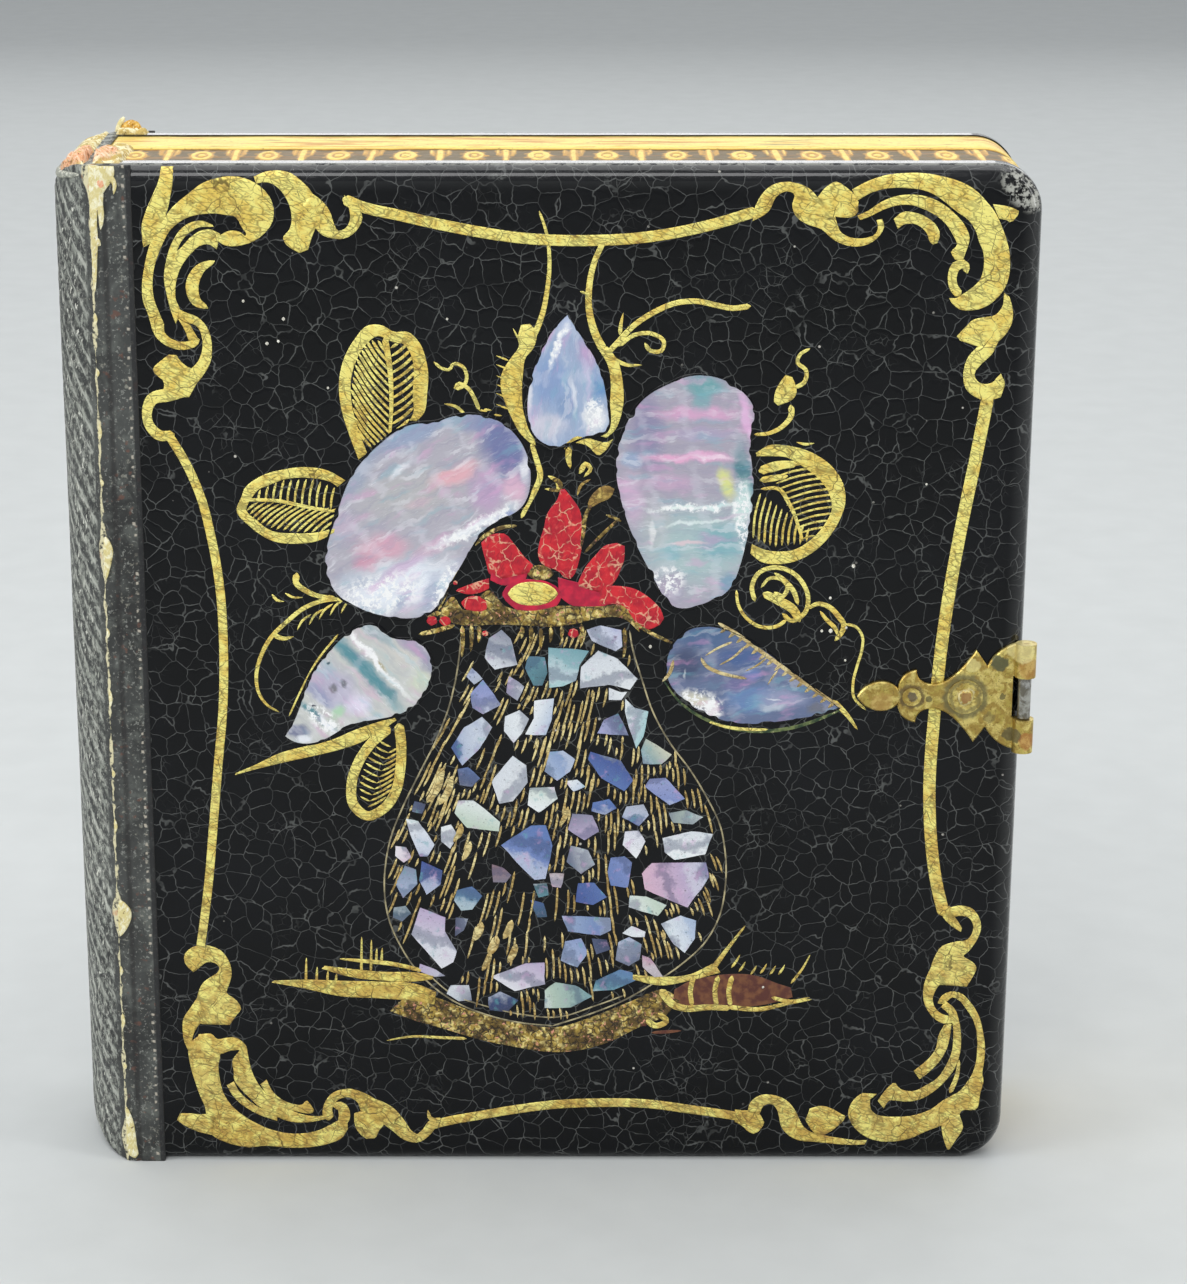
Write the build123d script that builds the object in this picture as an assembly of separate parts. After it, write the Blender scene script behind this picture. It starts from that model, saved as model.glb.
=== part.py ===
from build123d import *
import os
from math import sqrt

# A book-form daguerreotype case for a sixth-size plate, standing on its tail edge.
# X runs from the spine to the fore-edge, Y from the front cover to the back cover, Z up.
# The pieces are built with X = 0 at the hinge ridge, Y = 0 in the middle of the thickness and
# Z = 0 at the tail, and are moved together at the end so that the origin is under the middle.

# Driving sizes in millimetres: the plate, its packing and the trays set the size of the case
plate_width = 69.85
plate_height = 82.55
retainer_side = 2.7
retainer_end = 2.225
rail_thickness = 3.2
gilt_paper_thickness = 0.25
block_inset = 0.1
block_hinge_gap = 0.3
case_thickness = 20.0
lid_depth = 11.0
parting_gap = 0.2
board_thickness = 2.6
fore_corner_radius = 4.2
arris_radius = 1.4

# Hinges of the leather spine
hinge_depth = 0.5
bead_radius = 0.5
hinge_clearance = 0.1
spine_face_gap = 0.2
spine_bulge = 4.2
spine_corner_radius = 4.2
leather_thickness = 0.6
leather_proud = 0.2
lining_thickness = 0.3
joint_strip_width = 3.1

# Image packet
plate_thickness = 0.5
mat_thickness = 0.5
mat_window_width = 50.0
mat_window_height = 64.0
glass_thickness = 1.6
tape_thickness = 0.15
preserver_thickness = 0.2
preserver_lip = 3.2
backing_thickness = 1.6
packet_clearance = 0.1
retainer_rise = 0.5

# Velvet pad in the lid
pad_board_thickness = 1.0
pad_clearance = 0.15
pad_edge_height = 4.4
pad_crown = 1.6

# Clasp and hasp
clasp_below_middle = 0.9
clasp_sheet = 0.45
barrel_radius = 0.95
pin_radius = 0.3
pin_running_clearance = 0.05
clasp_bevel = 0.12
barrel_overhang = 0.1
barrel_stand_off = 0.6
barrel_length = 10.3
middle_knuckle_length = 3.8
middle_knuckle_radius = 0.6
hasp_sheet = 0.3
knuckle_clearance = 0.1
hasp_shoulder_gap = 0.5
hasp_half_width = 2.4
hasp_end_radius = 2.0
hole_clearance = 0.2
catch_margin = 0.4
catch_plate_height = 8.0
catch_plate_thickness = 0.25
stud_radius = 0.6
stud_root = 1.6
stud_proud = 0.65
stud_rounding = 0.3
catch_pin_radius = 0.35
catch_pin_head_radius = 0.7
catch_pin_spacing = 6.0
catch_pin_length = 2.0
catch_pin_head = 0.12
rivet_shank_radius = 0.5
rivet_shank_length = 1.6
small_rivet_radius = 0.85
small_rivet_rise = 0.12
small_rivet_dimple = 0.4
dome_rivet_radius = 0.75
dome_rivet_rise = 0.35
dome_rivet_flat = 0.035
washer_radius = 1.6
washer_thickness = 0.1

# How far a cutting shape runs past the face that it cuts
cut_margin = 1.0

# Mother-of-pearl inlay, and the middle of the cover in the drawing that its outlines were measured from
drawing_middle_x = 41.6
drawing_middle_z = 47.5
pearl_depth = 0.3
pearl_proud = 0.05

# Outline of the clasp plate: distance from the fore-edge, half height above the centre line
clasp_tip = (15.05, 0.0)
clasp_lobe = [(14.0, 1.1), (12.8, 1.4), (11.35, 0.75)]
clasp_notch = (10.9, 1.9)
clasp_small_point = (9.7, 2.5)
clasp_waist = [(9.2, 1.45), (8.2, 1.15), (6.3, 2.0)]
clasp_large_point = (4.35, 4.4)
clasp_valley = (3.3, 2.9)
clasp_shoulder = [(2.2, 4.3), (0.9, 5.0)]
small_rivet_from_edge = 10.1
dome_rivet_from_edge = 5.25

# Outlines of the pearl pieces, seen from the front: X from the hinge ridge, Z from the tail
rose_left_outline = [
    (30.6, 72.4), (33.0, 72.9), (35.6, 72.3), (37.6, 70.4), (38.5, 67.6), (37.6, 64.2),
    (34.6, 62.4), (33.0, 60.2), (31.2, 57.0), (29.2, 54.3), (26.4, 53.9), (23.0, 54.8),
    (20.6, 56.6), (19.9, 59.4), (20.8, 63.0), (22.4, 67.2), (25.0, 70.2), (28.0, 72.0),
]
rose_right_outline = [
    (51.4, 76.0), (54.2, 76.4), (56.8, 75.3), (58.3, 73.4), (58.1, 70.6), (58.4, 67.0),
    (58.2, 63.0), (57.4, 59.0), (56.2, 56.4), (54.0, 55.2), (51.6, 54.9), (49.6, 57.4),
    (47.8, 61.0), (46.5, 64.8), (46.0, 68.6), (46.9, 72.0), (48.8, 74.6),
]
bud_outline = [
    (41.7, 81.9), (43.1, 79.7), (44.6, 77.0), (45.3, 74.0), (45.1, 71.2), (43.2, 70.7),
    (41.0, 69.8), (39.0, 70.6), (38.1, 73.2), (38.7, 77.0), (40.2, 80.2),
]
leaf_left_outline = [
    (15.9, 42.7), (17.3, 45.4), (18.3, 48.2), (20.3, 51.0), (22.4, 52.9), (24.4, 53.3),
    (26.1, 52.1), (27.9, 51.9), (29.4, 50.2), (29.2, 47.6), (27.4, 45.2), (24.2, 44.2),
    (21.8, 43.6), (19.6, 42.3), (17.6, 41.9),
]
leaf_right_outline = [
    (66.6, 45.4), (64.4, 47.2), (61.4, 49.6), (58.2, 51.9), (55.4, 53.1), (53.0, 53.0),
    (51.4, 51.6), (50.7, 49.5), (51.1, 47.6), (52.5, 46.0), (55.0, 44.5), (58.0, 43.8),
    (61.6, 44.1), (64.8, 44.7),
]
vase_shards = [
    [(35.8, 52.8), (36.6, 52.0), (37.2, 49.6), (35.2, 49.1), (34.3, 50.2), (34.7, 52.0)],
    [(33.1, 49.2), (34.0, 48.2), (33.3, 47.7), (32.7, 48.4)],
    [(34.1, 48.0), (35.7, 45.7), (34.1, 44.9), (33.2, 45.5), (33.1, 46.8)],
    [(36.5, 48.4), (37.8, 47.4), (37.2, 46.2), (36.3, 46.9)],
    [(38.2, 50.3), (39.7, 50.2), (39.9, 48.8), (39.5, 47.6), (38.7, 47.6), (38.0, 49.2)],
    [(40.1, 51.1), (43.7, 50.8), (42.8, 49.4), (42.5, 48.1), (41.4, 47.6), (40.2, 47.4)],
    [(34.0, 44.5), (34.9, 43.5), (33.8, 41.5), (32.2, 39.9), (31.2, 41.6), (32.4, 43.5)],
    [(31.8, 39.4), (32.7, 39.6), (33.7, 38.6), (33.0, 37.9), (32.0, 38.0)],
    [(36.2, 44.5), (37.4, 45.1), (38.2, 44.3), (37.6, 43.0), (36.9, 42.1), (36.1, 43.2)],
    [(38.8, 46.0), (40.5, 46.2), (40.3, 44.3), (39.8, 42.9), (38.0, 42.9), (38.8, 44.4)],
    [(36.8, 40.7), (38.0, 39.8), (38.1, 38.2), (36.8, 36.4), (35.6, 36.2), (34.9, 38.3)],
    [(40.2, 41.1), (41.4, 41.2), (42.4, 40.4), (42.0, 39.3), (40.9, 38.5), (39.8, 39.3)],
    [(38.4, 37.6), (40.6, 37.7), (40.9, 36.6), (39.2, 35.3), (38.2, 36.0)],
    [(27.8, 36.3), (28.7, 36.0), (28.4, 35.2), (27.6, 35.4)],
    [(31.8, 36.4), (33.2, 36.4), (35.6, 34.3), (35.5, 33.4), (32.6, 33.8), (31.5, 35.2)],
    [(27.0, 34.6), (28.1, 34.3), (29.5, 32.1), (28.9, 31.0), (28.2, 31.0), (27.4, 33.0)],
    [(30.2, 33.8), (31.1, 34.0), (31.7, 33.0), (31.0, 31.7), (30.2, 32.4)],
    [(26.0, 31.9), (26.9, 31.8), (27.3, 30.9), (26.7, 30.4), (26.0, 31.0)],
    [(26.8, 30.0), (27.8, 29.6), (27.9, 28.2), (26.6, 26.8), (26.0, 28.2)],
    [(28.4, 30.4), (30.2, 29.5), (30.0, 28.2), (28.8, 27.2), (28.2, 28.6)],
    [(31.6, 27.6), (33.0, 27.9), (33.9, 27.0), (33.0, 25.7), (32.0, 25.6), (31.4, 26.6)],
    [(25.8, 25.8), (26.8, 26.0), (27.3, 25.3), (26.5, 24.5), (25.7, 24.9)],
    [(28.2, 25.8), (30.5, 24.8), (30.4, 23.4), (31.5, 21.5), (31.2, 20.4), (30.1, 19.8), (27.4, 23.2)],
    [(31.5, 24.8), (32.6, 24.7), (32.2, 23.6), (31.4, 23.0)],
    [(34.9, 30.1), (35.9, 29.8), (36.6, 29.1), (36.1, 28.4), (35.0, 28.4)],
    [(38.5, 33.9), (39.8, 33.9), (40.4, 32.0), (39.8, 28.8), (38.8, 28.7), (35.8, 32.0)],
    [(28.1, 20.2), (29.6, 19.6), (30.4, 19.0), (29.4, 18.9), (28.0, 19.5)],
    [(31.0, 18.0), (32.6, 18.0), (32.9, 16.5), (31.7, 16.5), (30.6, 17.2)],
    [(34.5, 16.8), (35.6, 17.3), (37.2, 16.5), (36.2, 15.4), (34.7, 15.6)],
    [(38.0, 20.2), (39.7, 20.3), (39.7, 18.2), (37.0, 17.5), (34.8, 18.9)],
    [(38.7, 28.2), (39.9, 28.2), (40.1, 27.1), (39.2, 26.9)],
    [(38.5, 26.5), (39.6, 26.2), (39.9, 25.0), (39.1, 25.0)],
    [(40.2, 29.2), (41.5, 29.2), (41.2, 27.9), (40.5, 28.0)],
    [(43.6, 52.8), (44.8, 53.2), (46.6, 52.8), (46.7, 51.3), (46.1, 50.9), (44.0, 51.8)],
    [(44.6, 50.8), (46.3, 50.0), (48.1, 48.2), (47.4, 47.2), (45.6, 47.7), (43.0, 47.3), (43.1, 49.3)],
    [(45.6, 47.3), (46.6, 46.9), (47.2, 46.9), (46.7, 46.2), (45.6, 46.2)],
    [(45.2, 44.2), (46.4, 44.8), (47.3, 42.8), (44.6, 43.0)],
    [(47.1, 46.2), (47.9, 45.3), (49.1, 45.0), (48.7, 42.7), (48.1, 41.6), (47.6, 43.2), (47.1, 45.0)],
    [(49.0, 42.4), (51.3, 40.9), (50.4, 40.0), (48.8, 40.1), (48.6, 41.3)],
    [(44.0, 41.1), (46.6, 40.2), (47.8, 38.4), (47.0, 37.4), (45.0, 38.7), (43.8, 40.4)],
    [(49.4, 38.5), (50.8, 38.6), (52.6, 36.6), (51.2, 36.0), (49.0, 37.8)],
    [(41.6, 38.3), (42.7, 38.4), (43.4, 37.8), (42.4, 37.4)],
    [(44.2, 36.2), (45.6, 36.5), (46.3, 35.7), (45.3, 35.1), (44.1, 35.4)],
    [(47.3, 35.8), (48.8, 36.0), (49.3, 35.0), (48.4, 34.0), (46.9, 34.8)],
    [(42.3, 35.1), (44.1, 34.9), (44.7, 33.4), (43.4, 32.6), (41.9, 33.6)],
    [(51.2, 35.2), (52.8, 35.4), (54.3, 34.8), (53.4, 34.1), (51.6, 34.3)],
    [(50.7, 32.7), (53.2, 33.3), (55.2, 33.1), (54.5, 31.2), (51.8, 30.7), (50.9, 31.4)],
    [(47.2, 33.3), (48.4, 33.4), (49.0, 32.4), (48.2, 30.8), (47.0, 32.1)],
    [(49.7, 30.2), (54.6, 30.3), (54.9, 28.9), (53.0, 25.9), (49.1, 27.7), (48.8, 29.2)],
    [(45.9, 30.7), (47.1, 30.9), (47.8, 30.3), (47.4, 27.9), (45.9, 28.1), (45.6, 29.4)],
    [(42.2, 31.9), (43.7, 31.5), (44.3, 30.2), (43.1, 29.3), (41.9, 30.4)],
    [(42.9, 28.2), (44.3, 28.2), (45.4, 26.9), (44.2, 26.2), (42.7, 26.5)],
    [(47.7, 27.0), (49.2, 26.9), (51.0, 26.1), (50.2, 25.1), (47.6, 25.9)],
    [(41.4, 25.0), (45.8, 24.8), (45.9, 23.6), (44.9, 23.1), (42.0, 23.5)],
    [(47.1, 23.3), (47.9, 23.9), (49.1, 23.4), (49.0, 22.9), (47.9, 23.0)],
    [(41.7, 22.4), (43.1, 22.7), (43.7, 21.4), (42.8, 19.9), (41.3, 20.6)],
    [(44.2, 22.7), (45.5, 22.6), (45.8, 21.7), (44.6, 21.2)],
    [(46.7, 22.3), (47.6, 22.8), (48.7, 22.1), (48.5, 20.7), (47.6, 20.1), (46.5, 20.7)],
    [(50.6, 24.2), (52.4, 25.0), (53.8, 24.5), (53.7, 22.8), (52.8, 21.4), (51.8, 22.2)],
    [(48.9, 21.0), (49.6, 20.7), (50.8, 18.9), (50.3, 18.6), (49.0, 19.9)],
    [(46.8, 19.6), (47.9, 19.3), (48.2, 18.5), (46.2, 17.6), (44.3, 17.5), (44.6, 18.5)],
    [(40.8, 18.3), (42.6, 18.0), (44.2, 16.9), (42.2, 15.8), (39.8, 15.8), (39.8, 17.5)],
]

# Places that follow from the driving sizes
packet_wrap = tape_thickness + preserver_thickness
packet_width = plate_width + 2 * (packet_wrap + packet_clearance)
packet_height = plate_height + 2 * (packet_wrap + packet_clearance)
tray_width = packet_width + 2 * retainer_side
tray_height = packet_height + 2 * retainer_end
rail_inset = block_inset + gilt_paper_thickness
tray_left = block_hinge_gap + rail_thickness
tray_right = tray_left + tray_width
rail_end = tray_right + rail_thickness
block_end = rail_end + gilt_paper_thickness
cover_width = block_end + block_inset
tray_low = rail_inset + rail_thickness
tray_high = tray_low + tray_height
case_height = tray_high + tray_low
pad_width = tray_width - 2 * pad_clearance
pad_height = tray_height - 2 * pad_clearance
tray_middle_x = (tray_left + tray_right) / 2
tray_middle_z = case_height / 2
front_face = -case_thickness / 2
back_face = case_thickness / 2
front_hinge_y = front_face + hinge_depth
cover_start = bead_radius + hinge_clearance
strip_end = cover_start + joint_strip_width
lid_floor = front_face + board_thickness
base_floor = back_face - board_thickness
parting = front_face + lid_depth
lid_rim = parting - parting_gap / 2
base_rim = parting + parting_gap / 2
clasp_height = case_height / 2 - clasp_below_middle
barrel_x = cover_width + barrel_overhang
barrel_y = front_face - barrel_stand_off
hasp_outer = barrel_x + middle_knuckle_radius
hasp_inner = hasp_outer - hasp_sheet
catch_y = (base_rim + base_floor) / 2
catch_plate_depth = base_floor - base_rim - 2 * catch_margin
catch_face = block_end + catch_plate_thickness
stud_end = hasp_outer + stud_proud
middle_x = (stud_end - spine_bulge) / 2
middle_y = (barrel_y - barrel_radius + back_face + leather_proud) / 2
centre = Pos(-middle_x, -middle_y, 0)


def slab(sketch, y_low, y_high):
    """The X-Z sketch, as thick as the stretch of Y that it is given."""
    return extrude(Plane.XZ.offset(-y_low) * sketch, amount=-(y_high - y_low))


def panel(x_low, x_high, z_low, z_high):
    """A plain rectangle in X and Z."""
    corners = [(x_low, z_low), (x_high, z_low), (x_high, z_high), (x_low, z_high)]
    return make_face(Polyline(*corners, close=True))


def page(x_low, x_high, inset):
    """A page shape: square at the hinge and rounded at both fore-edge corners."""
    sheet = panel(x_low, x_high, inset, case_height - inset)
    fore_corners = sheet.vertices().sort_by(Axis.X)[-2:]
    return fillet(fore_corners, fore_corner_radius - inset)


def centred_panel(width, height):
    """A rectangle about the middle of the trays."""
    return Pos(tray_middle_x, tray_middle_z) * Rectangle(width, height)


def front_to_back(solid):
    """The same piece for the back cover."""
    return mirror(solid, about=Plane.XZ)


def export(name, solid):
    """One file for one sub-part, moved to the common origin."""
    export_step(centre * solid, f"parts/{name}.step")


def cover_blank(lift):
    """The front cover as one cushion-edged board, its face raised by a lift."""
    blank = slab(page(cover_start, cover_width, 0), front_face - lift, lid_floor)
    face_edges = blank.faces().sort_by(Axis.Y)[0].edges()
    rounded = face_edges.sort_by(Axis.X)[1:]
    return fillet(rounded, arris_radius)


def strip_space(y_low):
    """The rebate along the hinge that the leather joint is glued into."""
    strip = panel(0, strip_end, -cut_margin, case_height + cut_margin)
    return slab(strip, y_low, front_face + leather_thickness - leather_proud)


def plain_cover():
    return cover_blank(0) - strip_space(front_face - cut_margin)


def joint_leather():
    return cover_blank(leather_proud) & strip_space(front_face - cut_margin)


def rounded_shape(points):
    """A smooth closed outline."""
    return make_face(Spline(*points, periodic=True))


def pointed_shape(points):
    """A smooth outline that closes in a point at its first corner."""
    return make_face(Spline(*points, points[0]))


def inlaid(sketch):
    """An outline from the drawing, on the middle of the cover."""
    return Pos(cover_width / 2 - drawing_middle_x, case_height / 2 - drawing_middle_z) * sketch


def pearl(sketch):
    """A shell piece let into the lacquer and a little proud of it."""
    return slab(sketch, front_face - pearl_proud, front_face + pearl_depth)


def pearl_sketches():
    return {
        "pearl_rose_left": inlaid(rounded_shape(rose_left_outline)),
        "pearl_rose_right": inlaid(rounded_shape(rose_right_outline)),
        "pearl_bud": inlaid(pointed_shape(bud_outline)),
        "pearl_leaf_left": inlaid(pointed_shape(leaf_left_outline)),
        "pearl_leaf_right": inlaid(pointed_shape(leaf_right_outline)),
    }


def shard_sketches():
    return [inlaid(make_face(Polyline(*shard, close=True))) for shard in vase_shards]


def bar_along_y(radius, x, z, y_low, y_high):
    """A round bar from front to back."""
    return slab(Pos(x, z) * Circle(radius), y_low, y_high)


def bar_along_x(radius, y, z, x_low, x_high):
    """A round bar from the spine side to the fore-edge side."""
    return extrude(Plane.YZ.offset(x_low) * (Pos(y, z) * Circle(radius)), amount=x_high - x_low)


def rivet_places():
    """X of the small rivet and of the domed one."""
    return cover_width - small_rivet_from_edge, cover_width - dome_rivet_from_edge


def front_cover():
    """The lacquered board with its pockets for the shell and its rivet holes."""
    cover = plain_cover()
    before_face = front_face - cut_margin
    for sketch in list(pearl_sketches().values()) + shard_sketches():
        cover = cover - slab(sketch, before_face, front_face + pearl_depth)
    hole_end = front_face + rivet_shank_length
    for x in rivet_places():
        cover = cover - bar_along_y(rivet_shank_radius, x, clasp_height, before_face, hole_end)
    return cover


def rails(y_low, y_high):
    """The four wooden rails of a tray: mitred at the fore-edge, butted at the spine."""
    frame = page(block_hinge_gap, rail_end, rail_inset) - centred_panel(tray_width, tray_height)
    mitre_run = rail_thickness + gilt_paper_thickness
    far_x = tray_right + mitre_run
    far_high = tray_high + mitre_run
    far_low = tray_low - mitre_run
    head = [(0, tray_high), (tray_right, tray_high), (far_x, far_high), (0, far_high)]
    fore = [(tray_right, tray_low), (tray_right, tray_high), (far_x, far_high), (far_x, far_low)]
    tail = [(0, tray_low), (tray_right, tray_low), (far_x, far_low), (0, far_low)]
    spine = [(0, tray_low), (tray_left, tray_low), (tray_left, tray_high), (0, tray_high)]
    clips = {"head": head, "fore": fore, "tail": tail, "spine": spine}
    pieces = {}
    for side, corners in clips.items():
        pieces[side] = slab(frame & make_face(Polyline(*corners, close=True)), y_low, y_high)
    return pieces


def gilt_band(y_low, y_high):
    """Gilt paper glued round the head, fore-edge and tail of a tray."""
    outside = page(block_hinge_gap, block_end, block_inset)
    inside = page(block_hinge_gap - cut_margin, rail_end, rail_inset)
    return slab(outside - inside, y_low, y_high)


def catch_holes():
    """Holes for the stud and its two pins, through the plate, the paper and the rail."""
    hole = bar_along_x(stud_radius, catch_y, clasp_height, block_end - stud_root, stud_end)
    for side in (-1, 1):
        pin_z = clasp_height + side * catch_pin_spacing / 2
        pin_root = catch_face - catch_pin_length
        hole = hole + bar_along_x(catch_pin_radius, catch_y, pin_z, pin_root, stud_end)
    return hole


def packet():
    """The image packet from the back: card, plate, mat, glass, its paper tape and its brass rim."""
    pieces = {}
    y = base_floor - backing_thickness
    pieces["backing_card"] = slab(centred_panel(tray_width, tray_height), y, base_floor)
    packet_back = y
    plate = centred_panel(plate_width, plate_height)
    pieces["daguerreotype_plate"] = slab(plate, y - plate_thickness, y)
    y = y - plate_thickness
    window = Pos(tray_middle_x, tray_middle_z) * Ellipse(mat_window_width / 2, mat_window_height / 2)
    pieces["brass_mat"] = slab(plate - window, y - mat_thickness, y)
    y = y - mat_thickness
    pieces["cover_glass"] = slab(plate, y - glass_thickness, y)
    y = y - glass_thickness
    taped = centred_panel(plate_width + 2 * tape_thickness, plate_height + 2 * tape_thickness)
    pieces["packet_tape"] = slab(taped - plate, y, packet_back)
    wrapped = centred_panel(plate_width + 2 * packet_wrap, plate_height + 2 * packet_wrap)
    opening_width = plate_width - 2 * preserver_lip
    opening_height = plate_height - 2 * preserver_lip
    opening = RectangleRounded(opening_width, opening_height, preserver_lip)
    opening = Pos(tray_middle_x, tray_middle_z) * opening
    rim = slab(wrapped - taped, y, packet_back)
    lip = slab(wrapped - opening, y - preserver_thickness, y)
    pieces["brass_preserver"] = rim + lip
    return pieces, y - preserver_thickness


def retainer():
    """The velvet-covered strip that holds the packet in its tray."""
    ring = centred_panel(tray_width, tray_height) - centred_panel(packet_width, packet_height)
    return slab(ring, base_rim + retainer_rise, base_floor - backing_thickness)


def pad():
    """The velvet pad of the lid, highest in its middle."""
    foot = lid_floor + pad_board_thickness
    half_diagonal = sqrt(pad_width**2 + pad_height**2) / 2
    crown_radius = (half_diagonal**2 + pad_crown**2) / (2 * pad_crown)
    top = foot + pad_edge_height + pad_crown
    block = slab(centred_panel(pad_width, pad_height), foot, top)
    ball = Pos(tray_middle_x, top - crown_radius, tray_middle_z) * Sphere(crown_radius)
    return block & ball


def clasp_outline():
    """The lobed clasp plate, one half from the list of points and the other mirrored."""
    def place(point, side):
        return cover_width - point[0], clasp_height + side * point[1]

    def half(side):
        tip = place(clasp_tip, side)
        lobe = [place(point, side) for point in clasp_lobe]
        notch = place(clasp_notch, side)
        small = place(clasp_small_point, side)
        waist = [place(point, side) for point in clasp_waist]
        large = place(clasp_large_point, side)
        valley = place(clasp_valley, side)
        shoulder = [place(point, side) for point in clasp_shoulder]
        end = (barrel_x, clasp_height + side * barrel_length / 2)
        return [
            Spline(tip, *lobe),
            Spline(lobe[-1], notch, small),
            Spline(small, *waist, large),
            Line(large, valley),
            Spline(valley, *shoulder, end),
        ]

    low_end = (barrel_x, clasp_height - barrel_length / 2)
    high_end = (barrel_x, clasp_height + barrel_length / 2)
    return make_face(half(1) + half(-1) + [Line(low_end, high_end)])


def upright_bar(radius, x, y, z_middle, length):
    """A round bar parallel to the spine."""
    return Pos(x, y, z_middle) * Cylinder(radius, length)


def clasp_plate():
    """The lobed plate with the two outer knuckles rolled along its edge."""
    sheet = slab(clasp_outline(), front_face - clasp_sheet, front_face)
    rim = sheet.faces().sort_by(Axis.Y)[0].edges().sort_by(Axis.X)[:-1]
    sheet = chamfer(rim, clasp_bevel)
    barrel = upright_bar(barrel_radius, barrel_x, barrel_y, clasp_height, barrel_length)
    gap_length = middle_knuckle_length + 2 * knuckle_clearance
    gap_radius = barrel_radius + knuckle_clearance
    plate = sheet + barrel
    plate = plate - upright_bar(gap_radius, barrel_x, barrel_y, clasp_height, gap_length)
    gap_low = clasp_height - gap_length / 2
    gap_high = clasp_height + gap_length / 2
    gap = panel(barrel_x - gap_radius, barrel_x + cut_margin, gap_low, gap_high)
    plate = plate - slab(gap, front_face - clasp_sheet - cut_margin, front_face)
    plate = plate - upright_bar(pin_radius, barrel_x, barrel_y, clasp_height, barrel_length)
    before_sheet = front_face - cut_margin
    for x in rivet_places():
        plate = plate - bar_along_y(rivet_shank_radius, x, clasp_height, before_sheet, front_face)
    return plate


def clasp_rivets():
    """The flat dimpled rivet and the domed rivet with its washer."""
    small_x, dome_x = rivet_places()
    sheet_face = front_face - clasp_sheet
    shank_end = front_face + rivet_shank_length
    small_top = sheet_face - small_rivet_rise
    small = bar_along_y(small_rivet_radius, small_x, clasp_height, small_top, sheet_face)
    dimple_start = sheet_face - cut_margin
    small = small - bar_along_y(small_rivet_dimple, small_x, clasp_height, dimple_start, sheet_face)
    small = small + bar_along_y(rivet_shank_radius, small_x, clasp_height, sheet_face, shank_end)
    washer = bar_along_y(washer_radius, dome_x, clasp_height, sheet_face - washer_thickness, sheet_face)
    seat = sheet_face - washer_thickness
    head = bar_along_y(dome_rivet_radius, dome_x, clasp_height, seat - dome_rivet_rise, seat)
    crown_edges = head.faces().sort_by(Axis.Y)[0].edges()
    head = fillet(crown_edges, dome_rivet_rise - dome_rivet_flat)
    shank = bar_along_y(rivet_shank_radius, dome_x, clasp_height, sheet_face, shank_end)
    return Compound(children=[small, washer + head + shank])


def hasp_strap():
    """The strap that folds over the fore-edge, with the middle knuckle and the hole for the stud."""
    knuckle = upright_bar(middle_knuckle_radius, barrel_x, barrel_y, clasp_height, middle_knuckle_length)
    root = Box(hasp_sheet, 2 * barrel_radius, middle_knuckle_length)
    root = Pos((hasp_inner + hasp_outer) / 2, barrel_y + barrel_radius, clasp_height) * root
    strap_start = barrel_y + barrel_radius + hasp_shoulder_gap
    strap_end = catch_y + hasp_end_radius
    leaf = Rectangle(strap_end - strap_start, 2 * hasp_half_width)
    leaf = Pos((strap_start + strap_end) / 2, clasp_height) * leaf
    leaf = fillet(leaf.vertices().sort_by(Axis.X)[-2:], hasp_end_radius)
    strap = extrude(Plane.YZ.offset(hasp_inner) * leaf, amount=hasp_sheet)
    strap = knuckle + root + strap
    bore_radius = pin_radius + pin_running_clearance
    strap = strap - upright_bar(bore_radius, barrel_x, barrel_y, clasp_height, middle_knuckle_length)
    hole_radius = stud_radius + hole_clearance
    hole_start = hasp_inner - cut_margin
    hole_end = hasp_outer + cut_margin
    return strap - bar_along_x(hole_radius, catch_y, clasp_height, hole_start, hole_end)


def catch():
    """The catch plate on the back half, its stud and its two pins."""
    plate_face = Pos(catch_y, clasp_height) * Rectangle(catch_plate_depth, catch_plate_height)
    plate = extrude(Plane.YZ.offset(block_end) * plate_face, amount=catch_plate_thickness)
    stud = bar_along_x(stud_radius, catch_y, clasp_height, block_end - stud_root, stud_end)
    stud = fillet(stud.faces().sort_by(Axis.X)[-1].edges(), stud_rounding)
    pins = []
    for side in (-1, 1):
        pin_z = clasp_height + side * catch_pin_spacing / 2
        shank = bar_along_x(catch_pin_radius, catch_y, pin_z, catch_face - catch_pin_length, catch_face)
        head_end = catch_face + catch_pin_head
        head = bar_along_x(catch_pin_head_radius, catch_y, pin_z, catch_face, head_end)
        pins.append(shank + head)
    return plate - catch_holes(), stud, Compound(children=pins)


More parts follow.
